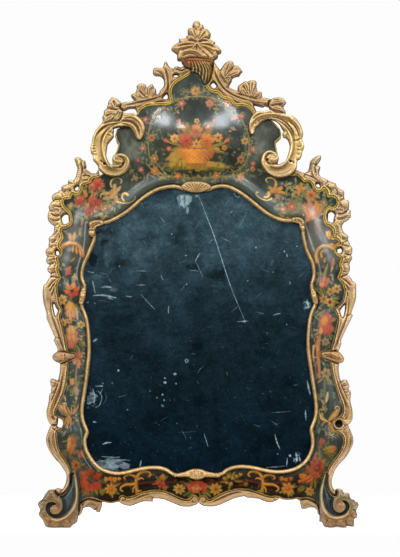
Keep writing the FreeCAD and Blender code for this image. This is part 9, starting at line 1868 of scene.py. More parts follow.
def foot_scroll(name):
    loop = smooth_loop(pts(FOOT_CHANNEL[name][0]), 3)
    lip = resample(smooth_open(pts(FOOT_CHANNEL[name][1])), 0.5, False)

    def cut(s):
        d, _ = dist_line(s.p, loop, True)
        ins = inside(s.p, [loop])
        k = np.where(ins, sstep(d, 0.0, 1.0), 0.0)
        s.h = s.h - k * (10.0 - 2.4 * np.clip(1 - (d / 4.5) ** 2, 0, 1) * 0)
        s.h = s.h + 1.6 * np.where(ins, sstep(d, 1.6, 4.6), 0)
        dl, t = dist_line(s.p, lip)
        s.h += 2.6 * gauss(dl, 0.95)
        s.lacq = np.where(ins, sstep(d, 0.15, 0.75), 0.0)
        s.lip = gauss(dl, 0.85)
        i = np.clip((t * (len(lip) - 1)).astype(int), 0, len(lip) - 2)
        e = lip[i + 1] - lip[i]
        s.lip_d = dl
        s.lip_side = -np.sign(e[:, 0] * (s.p[:, 1] - lip[i][:, 1]) - e[:, 1] * (s.p[:, 0] - lip[i][:, 0]))
    return cut


# ---------------------------------------------------------------- hollow straps of the two scrolls
def strap(centre, width, outer_first):
    """Shape of a scroll strap: bright outer ridge, dark channel, hollow face."""
    line = resample(smooth_open(pts(centre)), 0.5, False)

    def cut(s):
        d, t = dist_line(s.p, line)
        a = line[np.clip((t * (len(line) - 1)).astype(int), 0, len(line) - 2)]
        b = line[np.clip((t * (len(line) - 1)).astype(int) + 1, 1, len(line) - 1)]
        side = np.sign((b[:, 0] - a[:, 0]) * (s.p[:, 1] - a[:, 1]) - (b[:, 1] - a[:, 1]) * (s.p[:, 0] - a[:, 0]))
        u = d * side * outer_first          # positive towards the outer edge
        s.h += -3.2 * np.clip(1 - (u / width) ** 2, 0, 1)
        s.h += 2.0 * gauss(u - width * 0.82, 1.0)
        s.h -= 2.6 * gauss(u - width * 0.45, 1.0) * sstep(t, 0.0, 0.1) * (1 - sstep(t, 0.40, 0.55))
    return cut


def neck_flutes(s):
    # dark fluted throat: narrow ribs sweeping down to the right
    for k, (a, b, c) in enumerate([((188.8, 62), (189.6, 69), (188.6, 75)), ((191.4, 61.4), (193.2, 69), (191.8, 77)), ((193.8, 61), (196.6, 69), (195.2, 79)),
                                   ((196.4, 61), (200.0, 69.5), (198.6, 81)), ((199.0, 61), (203.4, 70), (202.0, 83)), ((201.8, 61.4), (206.4, 70.5), (205.0, 84)),
                                   ((204.6, 62), (209.0, 71), (208.0, 84)), ((207.4, 63), (211.2, 70), (210.8, 80))]):
        line = resample(smooth_open(np.array([a, b, c])), 0.4, False)
        d, t = dist_line(s.p, line)
        s.h += 2.6 * gauss(d, 0.62) * (1 - 0.5 * t)
        s.rib = np.maximum(getattr(s, "rib", np.zeros(len(s.p))), gauss(d, 0.5) * (1 - sstep(t, 0.75, 1.0)))
    # the throat rises into the leaf without a step
    top = 1 - sstep(s.p[:, 1], 60, 66)
    s.h = s.h * (1 - top) + np.maximum(s.h, 30.0) * top


# ---------------------------------------------------------------- build the gilt pieces
DEPTHS = {"finial_leaf": (4, 36), "fluted_neck": (2, 32), "crest_branch": (4, 24), "ivy_leaf": (4, 27), "c_scroll": (22, 42), "upper_rim": (2, 26), "stalk": (2, 26),
          "knot_leaf": (2, 32), "lower_rim": (2, 26), "s_rim": (2, 26), "foot": (0, 42), "crescent": (4, 26), "bottom_rim": (2, 26)}
SHAPES = {"finial_leaf": dict(wide=3.4, edge=0.5, ruffle=0.15), "fluted_neck": dict(wide=5.0, edge=0.4, ruffle=0.0), "crest_branch": dict(wide=2.2, edge=0.55, ruffle=0.15, groove=2.2, reach=4.0),
          "ivy_leaf": dict(wide=3.0, edge=0.5, ruffle=0.2), "c_scroll": dict(wide=2.2, edge=0.55, ruffle=0.15, groove=1.5, reach=3.0), "foot": dict(wide=4.0, edge=0.5, ruffle=0.4, reach=3.2, groove=1.6),
          "crescent": dict(wide=3.0, edge=0.4, ruffle=0.3), "stalk": dict(wide=2.6, edge=0.5, ruffle=0.2), "bottom_rim": dict(wide=3.0, edge=0.4, ruffle=0.35)}
STRAPS = {"c_scroll_left": ("143,136 139,126 131,120 121,119.5 111,124 103,131 98.5,141 98,152 101,163 106,170.5 114,173.5 122,171.5 126.5,164.5 124.5,158 118.5,157.5", 6.0, -1),
          "c_scroll_right": ("252,130 257,122 266,117.6 277,118.4 287,124 294,133 297,144 296,155 291,164.5 284,171 276,172.6 268,169.6 264.8,162 268,155.6 273.6,155.6", 6.0, 1)}
TONES = {"finial_leaf": (0.822, 0.809, 0.822), "crest_branch_left": (0.76, 0.78, 0.86), "crest_branch_right": (0.74, 0.73, 0.77), "ivy_leaf_left": (0.86, 0.90, 1.0), "ivy_leaf_right": (0.76, 0.79, 0.84),
         "c_scroll_left": (0.97, 1.02, 1.009), "c_scroll_right": (1.122, 1.204, 1.296), "upper_rim_left": (0.996, 1.079, 1.21), "upper_rim_right": (0.945, 1.046, 1.322), "stalk_left": (0.952, 0.974, 1.221), "stalk_right": (1.046, 1.068, 1.299),
         "knot_leaf_left": (0.67, 0.60, 0.66), "knot_leaf_right": (0.788, 0.666, 0.643), "lower_rim_left": (0.83, 0.816, 0.848), "lower_rim_right": (0.946, 0.957, 1.085), "s_rim_left": (0.745, 0.724, 0.883), "s_rim_right": (0.777, 0.781, 0.905),
         "foot_left": (0.44, 0.43, 0.44), "foot_right": (0.53, 0.556, 0.594), "crescent_left": (0.52, 0.47, 0.51), "crescent_right": (0.60, 0.59, 0.59), "bottom_rim_left": (0.58, 0.54, 0.53), "bottom_rim_right": (0.62, 0.57, 0.55)}
for name in PIECES:
    kind = name.replace("_left", "").replace("_right", "")
    back, top = DEPTHS[kind]
    extra = strap(*STRAPS[name]) if name in STRAPS else (neck_flutes if name == "fluted_neck" else (foot_scroll(name) if name in FOOT_CHANNEL else None))
    s = gilt_piece(name, back, top, floor=(kind == "foot"), extra=extra, **SHAPES.get(kind, {}))
    border = kind in ("upper_rim", "crest_branch", "stalk", "lower_rim", "s_rim", "bottom_rim", "fluted_neck")
    if border:
        q, _ = dist_line(s.p, LQ_CURVE, True)
        s.h = s.h + 5.0 * (1 - sstep(q, 0.5, 2.8))
    gilt_colors(s)
    # per-piece colour scales, with the feet and bottom rims much darker, and pinkish and yellowish patches in the leaf
    s.rgb = s.rgb * np.array(TONES.get(name, (1.0, 1.0, 1.0)))
    if kind == "c_scroll":
        s.rgb = s.rgb * (1 - 0.14 * sstep(s.p[:, 1], 160, 168))[:, None]
        # painted highlight on the outer flanks
        k = sstep(np.abs(s.p[:, 0] - 196), 86, 94) * sstep(s.p[:, 1], 122, 134) * (1 - sstep(s.p[:, 1], 158, 168))
        s.rgb = s.rgb * (1 + k[:, None] * np.array([0.16, 0.20, 0.10]))
    hue = fbm(s.p, 11.0, 63)
    s.rgb = s.rgb * (1 + np.clip(hue, 0, 1)[:, None] * np.array([0.06, 0.0, 0.16]) + np.clip(-hue, 0, 1)[:, None] * np.array([0.02, 0.05, -0.24]))
    if border:
        k = (1 - sstep(q, 0.9, 2.2)) * (0.75 - 0.4 * sstep(s.p[:, 1], 270, 320)) * (kind != "fluted_neck")
        s.rgb = s.rgb * (1 - k)[:, None] + EDGE * 1.1 * k[:, None]
    if name == "fluted_neck":
        k = s.rib * 0.9
        x, y = s.p[:, 0], s.p[:, 1]
        dark = sstep(x + 0.62 * (y - 62), 194.4, 196.6) * sstep(y - 0.10 * np.abs(x - 199), 62.4, 64.6)
        low = (1 - k) * dark * np.maximum(sstep(s.d, 0.3, 1.2), 1 - sstep(q, 0.5, 1.5))
        red = (1 - dark) * (0.72 * gauss(x - 192, 7.0) * gauss(y - 60.5, 3.4) + 0.25)
        s.rgb = s.rgb * (1 - red)[:, None] + lin(142, 82, 36) * red[:, None]
        s.rgb = s.rgb * (1 - low)[:, None] + lin(40, 44, 30) * low[:, None]
        k = k * dark
        s.rgb = s.rgb * (1 - k)[:, None] + lin(206, 166, 74) * k[:, None]
        s.mr[:, 0] *= 1 - low * 0.9
        s.rgb = s.rgb * np.array([0.88, 0.80, 0.74])
    if name == "finial_leaf":
        k = 0.6 * sstep(s.p[:, 1], 55.5, 59.5) * gauss(s.p[:, 0] - 193, 9.0)
        s.rgb = s.rgb * (1 - k)[:, None] + lin(146, 88, 42) * k[:, None]
    if name in FOOT_CHANNEL:
        k = s.lacq
        eye = (56.2, 508.8) if name == "foot_left" else (339.4, 505.4)
        # painted shade deepening towards the eye of the volute
        eye_shade = (1 - sstep(np.hypot(s.p[:, 0] - eye[0], s.p[:, 1] - eye[1]), 7.0, 15.0))[:, None]
        tone = sstep(fbm(s.p * np.array([1.5, 0.6]), 5.0, 4), -0.5, 0.5)[:, None]
        col = (lin(26, 33, 33) * (1 - tone) + lin(50, 58, 56) * tone) * (1 - eye_shade) + lin(20, 20, 18) * eye_shade
        s.rgb = s.rgb * (1 - k)[:, None] + col * k[:, None]
        s.mr = s.mr * (1 - k)[:, None] + np.array([0.0, 0.36]) * k[:, None]
        r = (1 - sstep(np.hypot(s.p[:, 0] - eye[0], s.p[:, 1] - eye[1]), 2.4, 4.6)) * (1 - k) * 0.55
        s.rgb = s.rgb * (1 - r)[:, None] + lin(186, 118, 74) * r[:, None]
        # gold darker towards the bottom of the foot and browned on the ruffled border, lacquer between the inner line
        # and the board
        darker_low = 0.72 * sstep(s.p[:, 1], 486, 500)
        s.rgb = s.rgb * (1 - 0.42 * darker_low * (1 - k))[:, None]
        brown = (1 - k) * sstep(s.p[:, 1], 506, 518) * 0.36
        s.rgb = s.rgb * (1 - brown)[:, None] + lin(150, 98, 40) * (0.8 + 0.5 * fbm(s.p, 4.0, 71))[:, None] * brown[:, None]
        sgn = 1 if name == "foot_left" else -1
        out = (s.lip_side * sgn > 0) & (s.p[:, 1] < 503) & ((s.p[:, 0] > 74) if sgn > 0 else (s.p[:, 0] < 325))
        k = np.where(out, sstep(s.lip_d, 0.9, 1.5), 0) * (1 - sstep(s.p[:, 1], 496, 503))
        s.rgb = s.rgb * (1 - k)[:, None] + lin(58, 58, 50) * k[:, None]
        s.mr = s.mr * (1 - k)[:, None] + np.array([0.0, 0.3]) * k[:, None]
        k = s.lip * 0.75
        s.rgb = s.rgb * (1 - k)[:, None] + lin(186, 160, 112) * k[:, None]
    s.build(GILT_MAT, "gilding", [name], floor=s.floor)

# curled end of the right lower rim: a raised ring round a dark hollow
s = Slab("s_rim_right_eye_carving", [smooth_loop(pts("331.6,421.6 333.6,417.4 338,415 343.4,414.8 346.2,419 346.4,424.6 343.6,429.2 338,431.6 333.4,429.4 331.4,425.4"), 3)], 0.36, 3.0)
r = np.hypot(s.p[:, 0] - 338.4, (s.p[:, 1] - 423.3) * 0.96)
s.h = 21.0 - 13.0 * (1 - sstep(r, 2.6, 3.9)) + 3.4 * gauss(r - 5.0, 0.9) + 0.3 * fbm(s.p, 5.0, 15)
gilt_colors(s)
s.rgb = s.rgb * np.array([0.80, 0.77, 0.80])
# painted highlight on the left half of the ring
k = gauss(r - 5.0, 0.8) * (s.p[:, 0] < 339.5) * 0.7
s.rgb = s.rgb * (1 - k)[:, None] + lin(196, 164, 92) * k[:, None]
# painted shade: the hollow near-black
k = 1 - sstep(r, 2.8, 4.0)
s.rgb = s.rgb * (1 - k)[:, None] + lin(46, 24, 14) * k[:, None]
s.mr[:, 0] *= 1 - 0.9 * k
s.mr[:, 1] = s.mr[:, 1] * (1 - k) + 0.6 * k
s.build(GILT_MAT, "gilding", ["s_rim_right"])


# ---------------------------------------------------------------- lacquered boards
def painted(g):
    """Where the crest needs a fine net: the dome, the border and the arris beside the glass."""
    m = ((g[:, 0] - 196) / 58.0) ** 2 + ((g[:, 1] - 136) / 47.0) ** 2 < 1
    m |= ((g[:, 0] - 94) / 28.0) ** 2 + ((g[:, 1] - 200) / 22.0) ** 2 < 1
    m |= ((g[:, 0] - 306) / 30.0) ** 2 + ((g[:, 1] - 204) / 26.0) ** 2 < 1
    i = np.nonzero(~m)[0]
    m[i] = dist_line(g[i], LQ_CURVE, True)[0] < 3.4
    i = np.nonzero(~m)[0]
    m[i] = dist_line(g[i], SC_CURVE, True)[0] < 9.0
    return m


for name, step in (("crest_panel", 0.8), ("left_stile", 0.42), ("right_stile", 0.42), ("bottom_rail", 0.46)):
    s = lacquer_piece(name, step, (painted, 0.5) if name == "crest_panel" else None)
    s.back = 0.0
    s.build(LACQUER_MAT["z" if "stile" in name else "rail" if "rail" in name else "x"], "lacquer", [name], back_rgb=(0.075, 0.048, 0.028))


# ---------------------------------------------------------------- sight moulding
def chain(a, b):
    i = int(np.argmin(((SC - np.array(a)) ** 2).sum(1)))
    j = int(np.argmin(((SC - np.array(b)) ** 2).sum(1)))
    idx = [i]
    while idx[-1] != j:
        idx.append((idx[-1] + 1) % len(SC))
    return SC[idx]


def moulding(name, line, seed):
    q = resample(smooth_open(line, 4), 0.6, False)
    t = np.gradient(q, axis=0)
    t /= np.linalg.norm(t, axis=1)[:, None]
    nrm = np.stack([t[:, 1], -t[:, 0]], 1)
    # profile across: from the glass side to the lacquer side
    prof = [(-2.1, 12.0), (-2.1, 14.6), (-1.9, 16.4), (-1.4, 18.6), (-0.7, 20.0), (0.0, 20.5), (0.7, 20.1), (1.4, 18.8), (1.85, 16.8), (2.1, 15.0), (2.1, 12.0)]
    verts, cols, mrs = [], [], []
    along = np.arange(len(q)) * 0.6
    wob = 0.22 * hash_noise(q, 5.0, seed)
    n = len(prof)
    for k, (u, d) in enumerate(prof):
        lift = wob * max(0.0, 1 - abs(u) / 1.7)
        verts.append(place(q + nrm * u, d + lift))
        # painted highlight along the crown of the bead and painted shade down its sides
        shade = -0.42 + 0.66 * abs(u) / 2.1
        v = shade + 0.22 * fbm(q + np.array([u, 0]), 5.0, seed) + 0.2 * hash_noise(q, 2.0, seed + 3)
        xs = (-0.5, 0.05, 0.45, 0.9)
        cs = (G_HIGHLIGHT, G_MID, G_LOW, G_DEEP)
        cols.append(np.stack([np.interp(v, xs, [c[j] for c in cs]) for j in range(3)], 1))
        mrs.append(np.stack([0.6 - 0.4 * np.clip(v, 0, 1), 0.42 + 0.2 * np.clip(v, 0, 1)], 1))
    m = len(q)
    verts = np.vstack(verts)
    faces = []
    for k in range(n):
        k2 = (k + 1) % n
        for i in range(m - 1):
            faces.append([k * m + i, k * m + i + 1, k2 * m + i + 1, k2 * m + i])
    faces.append([k * m for k in range(n)])
    faces.append([k * m + m - 1 for k in range(n)][::-1])
    ob = new_mesh(name, verts, faces)
    import bmesh
    bm = bmesh.new()
    bm.from_mesh(ob.data)
    bmesh.ops.recalc_face_normals(bm, faces=bm.faces)
    bm.to_mesh(ob.data)
    bm.free()
    ob.data.shade_smooth()
    put_color(ob.data, "Col", np.vstack(cols))
    put_color(ob.data, "Mtl", np.hstack([np.vstack(mrs), np.zeros((n * m, 1))]))
    ob.data.materials.append(GILT_MAT)
    return ob


SIGHT_CARVE = {
    "sight_shell": "\n".join("g 0.5 1.7 : 196.2,192.4 %.1f,%.1f" % (196.2 + 15 * math.cos(math.radians(a)), 190.5 + 9.5 * math.sin(math.radians(a))) for a in (-172, -157, -143, -128, -112, -97, -83, -68, -52, -37, -23, -8)),
    "corner_knot_left": "r 1.2 3.4 : 101,221.4 95.6,221.8 91.4,224 89.8,228\ng 0.6 3.0 : 101,223.8 96.6,224.8 93.4,227.4 92.4,230\nr 0.9 2.6 : 100,225.6 96.6,226.8 95,229.4\ng 0.6 3.0 : 88.6,230.6 92,230.8 95.6,230\nb 3.0 3.4 : 91.6,233.6\ng 0.5 2.4 : 89.4,236.4 94,236.2",
    "corner_knot_right": "b 2.0 2.6 : 292.6,219.4\ng 0.5 2.6 : 295,217.6 295.2,222.4\nr 1.2 3.2 : 296,218.6 300,219 303,221.6 304,225\ng 0.6 2.6 : 297,221.6 300,222.4 301.6,225\ng 0.5 2.6 : 300.6,226 305,225.6\nb 2.2 2.6 : 303,228.4",
    "side_bead_left": "b 2.4 2.4 : 83,296.5\ng 0.5 1.6 : 80,292 86,291\ng 0.5 1.6 : 79.6,302 85,301.4",
    "side_bead_right": "b 2.4 2.4 : 314,297\ng 0.5 1.6 : 310.8,292 316,291\ng 0.5 1.6 : 312.6,302.4 317.6,301.4",
    "sight_cartouche": "b 4.6 2.6 : 196.5,473.4\nb 1.4 1.4 : 196.5,473.4\n" + "\n".join("g 0.45 1.6 : %.1f,%.1f %.1f,%.1f" % (196.5 + 1.8 * math.cos(math.radians(a)), 473.4 + 1.8 * math.sin(math.radians(a)), 196.5 + 4.8 * math.cos(math.radians(a)), 473.4 + 4.8 * math.sin(math.radians(a))) for a in range(0, 360, 45)) + "\nb 2.0 2.0 : 188,474.2 205,474.2\nb 1.8 1.8 : 179,474.6 214,474.8",
}
RUN_ENDS = [("sight_shell", (184, 189.2), (209, 189.6)), ("sight_arch_right", (209, 189.6), (293, 220.3)), ("corner_knot_right", (293, 220.3), (303.3, 231)), ("sight_side_right", (303.3, 231), (311.8, 284)),
            ("side_bead_right", (311.8, 284), (314.8, 306.5)), ("sight_lower_right", (314.8, 306.5), (222.5, 473)), ("sight_cartouche", (222.5, 473), (174, 474)), ("sight_lower_left", (174, 474), (81.8, 307.5)),
            ("side_bead_left", (81.8, 307.5), (84.8, 286.5)), ("sight_side_left", (84.8, 286.5), (94, 234)), ("corner_knot_left", (94, 234), (104, 222.8)), ("sight_arch_left", (104, 222.8), (184, 189.2))]
for k, (name, a, b) in enumerate(RUN_ENDS):
    ob = moulding(name + "_moulding", chain(a, b), 100 + k)
    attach(ob, "frame")
    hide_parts(name)
    if name in CAPS:
        s = Slab(name + "_ornament", [CAPS[name]], 0.3, 14.0)
        x = np.clip(s.d / 2.4, 0, 1)
        s.h = 14.0 + 11.5 * (0.35 + 0.65 * np.sqrt(1 - (1 - x) ** 2))
        carve_text(s, SIGHT_CARVE[name])
        gilt_colors(s)
        s.build(GILT_MAT, "gilding", [])


# ---------------------------------------------------------------- mirror plate
# pale scratches: points, half width, strength
SCRATCHES = [("199,196 207,217 215,238 230,284 245,321", 0.30, 0.85), ("200,252.8 195,261", 0.38, 0.75), ("195.6,261 199,268 203,277", 0.26, 0.6), ("141,294 148,302 155,309", 0.28, 0.7), ("160.6,217 162.6,219.4 164.4,222.4", 0.34, 0.7),
             ("101,287 106,286.4 111,286.8", 0.9, 0.8), ("92.6,280 94,287 95.4,293", 0.4, 0.8), ("93.4,295.4 100,294.8 107,295.4 116,297.4", 0.75, 0.85), ("108,297 113,298.8", 0.9, 0.6), ("98,300 110,301.4", 0.2, 0.3),
             ("136.6,270.4 147,270.8", 0.3, 0.6), ("137,284.6 145.6,284.6", 0.35, 0.6), ("126,295.6 132,296.6", 0.5, 0.7), ("168.6,306 168.4,313", 0.4, 0.8), ("161,275 163.4,280", 0.4, 0.6), ("273,314.6 280.4,313", 0.5, 0.8),
             ("240,225 247.4,212", 0.2, 0.5), ("221,236.8 231,242", 0.22, 0.5), ("234,192.6 236,196 239,196.6 240.4,193.4", 0.35, 0.6), ("230,213 233,210", 0.3, 0.6), ("236.4,321.4 248,320.6", 0.4, 0.5),
             ("93,341 97,338.6", 0.9, 0.75), ("96,385.6 103,385.4", 0.6, 0.8), ("93,388 95,396 94,403", 0.5, 0.75), ("98,390 102,396 100,404 96,407", 0.35, 0.7), ("103,388 100,394", 0.3, 0.6), ("105,392 106.6,398 103,404", 0.2, 0.4),
             ("93.6,421 96.6,421.6", 0.6, 0.8), ("103,443.4 107,442 111.4,441.6", 0.6, 0.8), ("102,455.6 112,456.4 120,456.2", 0.5, 0.7), ("110,459.6 122,459 130,459.4", 0.45, 0.7), ("141.4,459.6 139.8,466.6", 0.55, 0.8),
             ("204,432.6 206,439 208,445.6", 0.28, 0.65), ("274.6,433.4 276.6,441 279.6,448", 0.5, 0.9), ("295.6,451.6 296.6,458 295.4,462", 0.7, 0.85), ("298.6,455 300.4,461", 0.6, 0.75), ("287.2,457 286.2,466", 0.4, 0.8),
             ("293,457 294.4,461", 0.4, 0.6), ("266,466.4 276,466 284,465", 0.4, 0.6), ("307,380 308.4,387 310,394", 0.8, 0.8), ("305.2,409.6 305.6,419.6", 0.5, 0.8), ("303.6,413 306.6,413.4", 0.3, 0.5),
             ("303.6,301.4 310,303", 0.7, 0.75), ("307,299.4 308.6,308", 0.6, 0.7), ("304.6,307.6 310,306.4", 0.5, 0.7), ("271,412 282,411.4 291,410.6", 0.22, 0.4), ("178,432 196,430.6", 0.2, 0.25), ("100,272 108,274", 0.25, 0.4), ("88,271 92,272.4", 0.35, 0.5)]
# rubbed places: middle, half width and height, strength
PATCHES = [(185, 200.5, 10.0, 10.5, 0.85), (187.4, 210, 1.6, 4, 0.6), (197, 195, 2.4, 2.0, 0.6), (92, 399, 7, 9, 0.75), (113, 464.5, 21, 6.5, 0.75), (297, 457, 4, 6, 0.5), (112, 289, 7, 3, 0.25), (307, 304, 4, 5, 0.5), (289.7, 454.8, 1.5, 1.5, 0.95),
           (165, 382, 1.9, 1.5, 0.95), (164.9, 377.6, 1.1, 1.1, 0.8), (175, 373.6, 2.0, 1.6, 0.8), (176.2, 383.2, 0.9, 0.9, 0.8), (162.7, 394, 1.2, 1.2, 0.9), (164.2, 399.6, 0.9, 0.9, 0.9), (162.6, 405, 1.8, 1.8, 0.4), (157, 397, 1.1, 1.1, 0.5), (150, 390.4, 0.9, 0.9, 0.5),
           (118.7, 370, 1.2, 1.2, 0.9), (112.5, 382.5, 0.9, 0.9, 0.5), (186.7, 360.3, 2.1, 2.6, 0.75), (284.4, 251.2, 1.1, 1.4, 0.85), (287, 255, 0.9, 1.8, 0.7), (256, 247, 0.9, 1.3, 0.6), (297, 246, 1.0, 0.9, 0.7), (290, 282.6, 1.0, 1.5, 0.6), (247.6, 280.4, 1.0, 0.9, 0.6),
           (185.8, 255.2, 1.1, 0.9, 0.7), (186.5, 284, 0.9, 0.9, 0.7), (172, 233.6, 0.9, 0.9, 0.7), (127.6, 409, 1.0, 1.0, 0.5), (103, 383, 1.0, 0.9, 0.5), (277.4, 453, 1.0, 0.9, 0.5), (88, 302, 0.9, 0.9, 0.7), (95, 303, 0.8, 0.8, 0.6), (93, 272, 1.2, 0.9, 0.6), (119.4, 266, 0.8, 0.8, 0.7),
           (286.6, 324, 0.9, 0.9, 0.6), (273, 271.8, 0.7, 1.2, 0.5), (177, 422.6, 0.8, 0.8, 0.4), (190.4, 437, 0.8, 0.8, 0.35), (244.6, 321, 2.0, 1.4, 0.6)]


# hairline marks, more of them towards the top
mrng = np.random.default_rng(77)
for _ in range(54):
    x, y = mrng.uniform(92, 302), 200 + 250 * mrng.uniform(0, 1) ** 1.6
    a, ln = mrng.uniform(-1.3, 1.3), mrng.uniform(3.0, 10.0)
    dx, dy = ln * math.cos(a), ln * math.sin(a)
    SCRATCHES.append((f"{x:.1f},{y:.1f} {x + dx * 0.5 + mrng.uniform(-0.8, 0.8):.1f},{y + dy * 0.5:.1f} {x + dx:.1f},{y + dy:.1f}", 0.22, mrng.uniform(0.15, 0.45)))


def mirror_plate():
    lines = [resample(smooth_open(pts(t)), 1.0, False) for t, _, _ in SCRATCHES]

    def busy(g):
        m = np.zeros(len(g), bool)
        for q in lines:
            i = near_line(g, q, 2.0)
            m[i[dist_line(g[i], q)[0] < 1.5]] = True
        for x, y, rx, ry, a in PATCHES:
            m |= ((g[:, 0] - x) / (rx * 1.3 + 0.6)) ** 2 + ((g[:, 1] - y) / (ry * 1.3 + 0.6)) ** 2 < 1
        return m

    s = Slab("mirror_plate_glass", [GL], 1.2, 7.0, fine=(busy, 0.36), smooth=1)
    s.h = np.full(len(s.p), 11.0)
    p = s.p
    # painted reflection: the plate lighter towards the top and dark teal lower down, standing in for the room it
    # mirrors
    up = (1 - sstep(p[:, 1], 190, 330)) * 0.75 + (1 - sstep(p[:, 1], 250, 470)) * 0.25
    base = lin(17, 37, 47) * (1 - up)[:, None] + lin(78, 104, 110) * up[:, None]
    mott = fbm(p, 26.0, 3, 4)
    base = base * (1 + 0.34 * mott + 0.22 * fbm(p, 9.0, 44, 3) + 0.26 * fbm(p * np.array([0.7, 1.3]), 3.6, 45, 2))[:, None]
    for x, y, rx, ry, a in ((93, 258, 5, 10, 0.75), (104, 241, 5, 8, 0.6), (98, 232, 4, 6, 0.5), (118, 262, 8, 6, 0.45), (194, 267, 9, 4, 0.5), (221, 276, 13, 9, 0.45), (150, 236, 12, 6, 0.3), (258, 232, 12, 8, 0.3), (120, 318, 16, 6, 0.3)):
        k = a * (1 - sstep(np.hypot((p[:, 0] - x) / rx, (p[:, 1] - y) / ry) + 0.7 * fbm(p, 5.0, int(x)), 0.5, 1.1))
        base = base * (1 - k)[:, None]
    for x, y, rx, ry, a in ((108, 255, 5, 12, 0.30), (105, 236, 9, 4, 0.34), (124, 236, 8, 12, 0.16), (100, 226, 10, 4, 0.22), (160, 206, 18, 6, 0.16), (232, 205, 20, 7, 0.16), (146, 252, 16, 9, 0.12), (100, 276, 7, 3, 0.2), (286, 232, 9, 6, 0.14)):
        k = a * (1 - sstep(np.hypot((p[:, 0] - x) / rx, (p[:, 1] - y) / ry) + 0.8 * fbm(p, 5.0, int(y)), 0.4, 1.2))
        base = base * (1 - k)[:, None] + lin(132, 156, 160) * k[:, None]
    dark = sstep(fbm(p * np.array([1.0, 0.9]), 18.0, 8, 4), 0.1, 0.7) * 0.34
    base = base * (1 - dark)[:, None]
    # dark wipes in the silvering
    for t, w, a in (("133,312 146,296 159,279", 1.7, 0.40), ("86,311 110,308 134,305", 1.4, 0.34), ("120,214 128,205 140,199", 2.2, 0.28), ("205,286 215,277 228,268 236,263", 3.4, 0.40), ("150,330 175,334 200,331", 1.6, 0.26),
                    ("100,345 130,352 150,361", 1.5, 0.26), ("230,300 262,307 290,305", 1.7, 0.26), ("243,213 262,224 278,233", 1.6, 0.26), ("168,240 186,232 204,230", 2.0, 0.24), ("112,270 124,262 134,250", 2.0, 0.28),
                    ("176,352 178,380 174,410", 5.0, 0.22), ("225,360 252,352 281,356", 2.4, 0.22), ("128,425 160,418 196,424", 2.4, 0.22)):
        q = resample(smooth_open(pts(t)), 1.0, False)
        i = near_line(p, q, 3 * w)
        d, u = dist_line(p[i], q)
        k = a * gauss(d + 0.5 * w * fbm(p[i], 4.0, 19), w) * np.sin(math.pi * np.clip(u, 0.04, 0.96)) ** 0.6
        base[i] = base[i] * (1 - k)[:, None]
    # fine mottle, stronger where the painted reflection is lighter
    fine = np.clip(fbm(p, 5.0, 12, 3), 0, 1) * up * 0.35
    base = base * (1 + fine)[:, None]
    rough = np.full(len(p), 0.16) + 0.1 * np.clip(mott, 0, 1)
    metal = np.full(len(p), 0.96)
    pale = lin(136, 156, 158)
    for x, y, rx, ry, a in PATCHES:
        q = np.sqrt(((p[:, 0] - x) / rx) ** 2 + ((p[:, 1] - y) / ry) ** 2)
        if rx > 3:                       # ragged, streaked losses
            streak = fbm(p * (np.array([1.0, 0.3]) if x == 185 else np.array([0.35, 1.3])), 2.6, int(y))
            q = q + 0.7 * fbm(p, rx * 0.6, int(x)) + 0.5 * streak
            k = a * (1 - sstep(q, 0.6, 0.85)) * (0.35 + 0.65 * sstep(streak, -0.5, 0.3))
        else:
            k = a * (1 - sstep(q + 0.2 * fbm(p, 1.5, int(x)), 0.6, 1.05))
            if (x, y) == (186.7, 360.3):
                k = k * (1 - 0.85 * (1 - sstep(q, 0.3, 0.55)))
        base = base * (1 - k)[:, None] + pale * k[:, None]
        metal -= 0.6 * k
        rough += 0.3 * k
    for (t, w, a), q in zip(SCRATCHES, lines):
        i = near_line(p, q, 2.0)
        d, u = dist_line(p[i], q)
        wide = 1.25 * w * (0.35 + 0.65 * np.sin(math.pi * np.clip(u, 0.03, 0.97)))
        k = a * (1 - sstep(d, wide * 0.5, wide * 1.3 + 0.12)) * (0.7 + 0.3 * hash_noise(p[i], 2.0, 9))
        base[i] = base[i] * (1 - k)[:, None] + pale * 1.5 * k[:, None]
        metal[i] -= 0.6 * k
        rough[i] += 0.25 * k
    # foxed, darkened border
    near, _ = dist_line(p, np.array(GL), True)
    rim = (1 - sstep(near + 3 * fbm(p, 8.0, 5), 1.0, 9.0)) * 0.45
    base = base * (1 - rim)[:, None]
    s.rgb = np.clip(base, 0, 1)
    s.mr = np.clip(np.stack([metal, rough], 1), 0, 1)
    s.crisp = True
    return s


mirror_plate().build(MIRROR_MAT, "mirror", ["mirror_plate"], back_rgb=(0.10, 0.11, 0.11))


# ---------------------------------------------------------------- boards, strut and fittings behind
for ob in [o for o in bpy.data.objects if o.type == "MESH"]:
    base = ob.name.split(".")[0]
    if base in ("backboard_upper", "backboard_middle", "backboard_lower", "hinge_rail", "glazing_blocks", "finial_dowel", "scroll_dowels", "foot_dowels"):
        ob.data.materials.clear()
        ob.data.materials.append(BOARD_MAT[base.split("_")[1] if base.startswith("backboard") else "rail"])
    elif base in ("strut_left", "strut_right"):
        ob.data.materials.clear()
        ob.data.materials.append(STRUT_MAT)
    elif base in ("hinge_bracket_left", "hinge_bracket_right", "hinge_pin_left", "hinge_pin_right", "backboard_nails", "rail_screws", "bracket_screws"):
        ob.data.materials.clear()
        ob.data.materials.append(IRON_MAT)


# ---------------------------------------------------------------- floor, light, camera
def floor_material():
    g = Nodes("pale_floor")
    n = g.noise(3.0, 3.0, 0.5)
    g.link(g.ramp(n, [(0.3, (0.90, 0.90, 0.89)), (0.7, (0.94, 0.94, 0.935))]), g.bsdf.inputs["Base Color"])
    g.bsdf.inputs["Roughness"].default_value = 0.8
    g.bsdf.inputs["Specular IOR Level"].default_value = 0.1
    g.bsdf.inputs["Emission Color"].default_value = (1, 1, 1, 1)
    g.bsdf.inputs["Emission Strength"].default_value = 0.45
    return g.mat


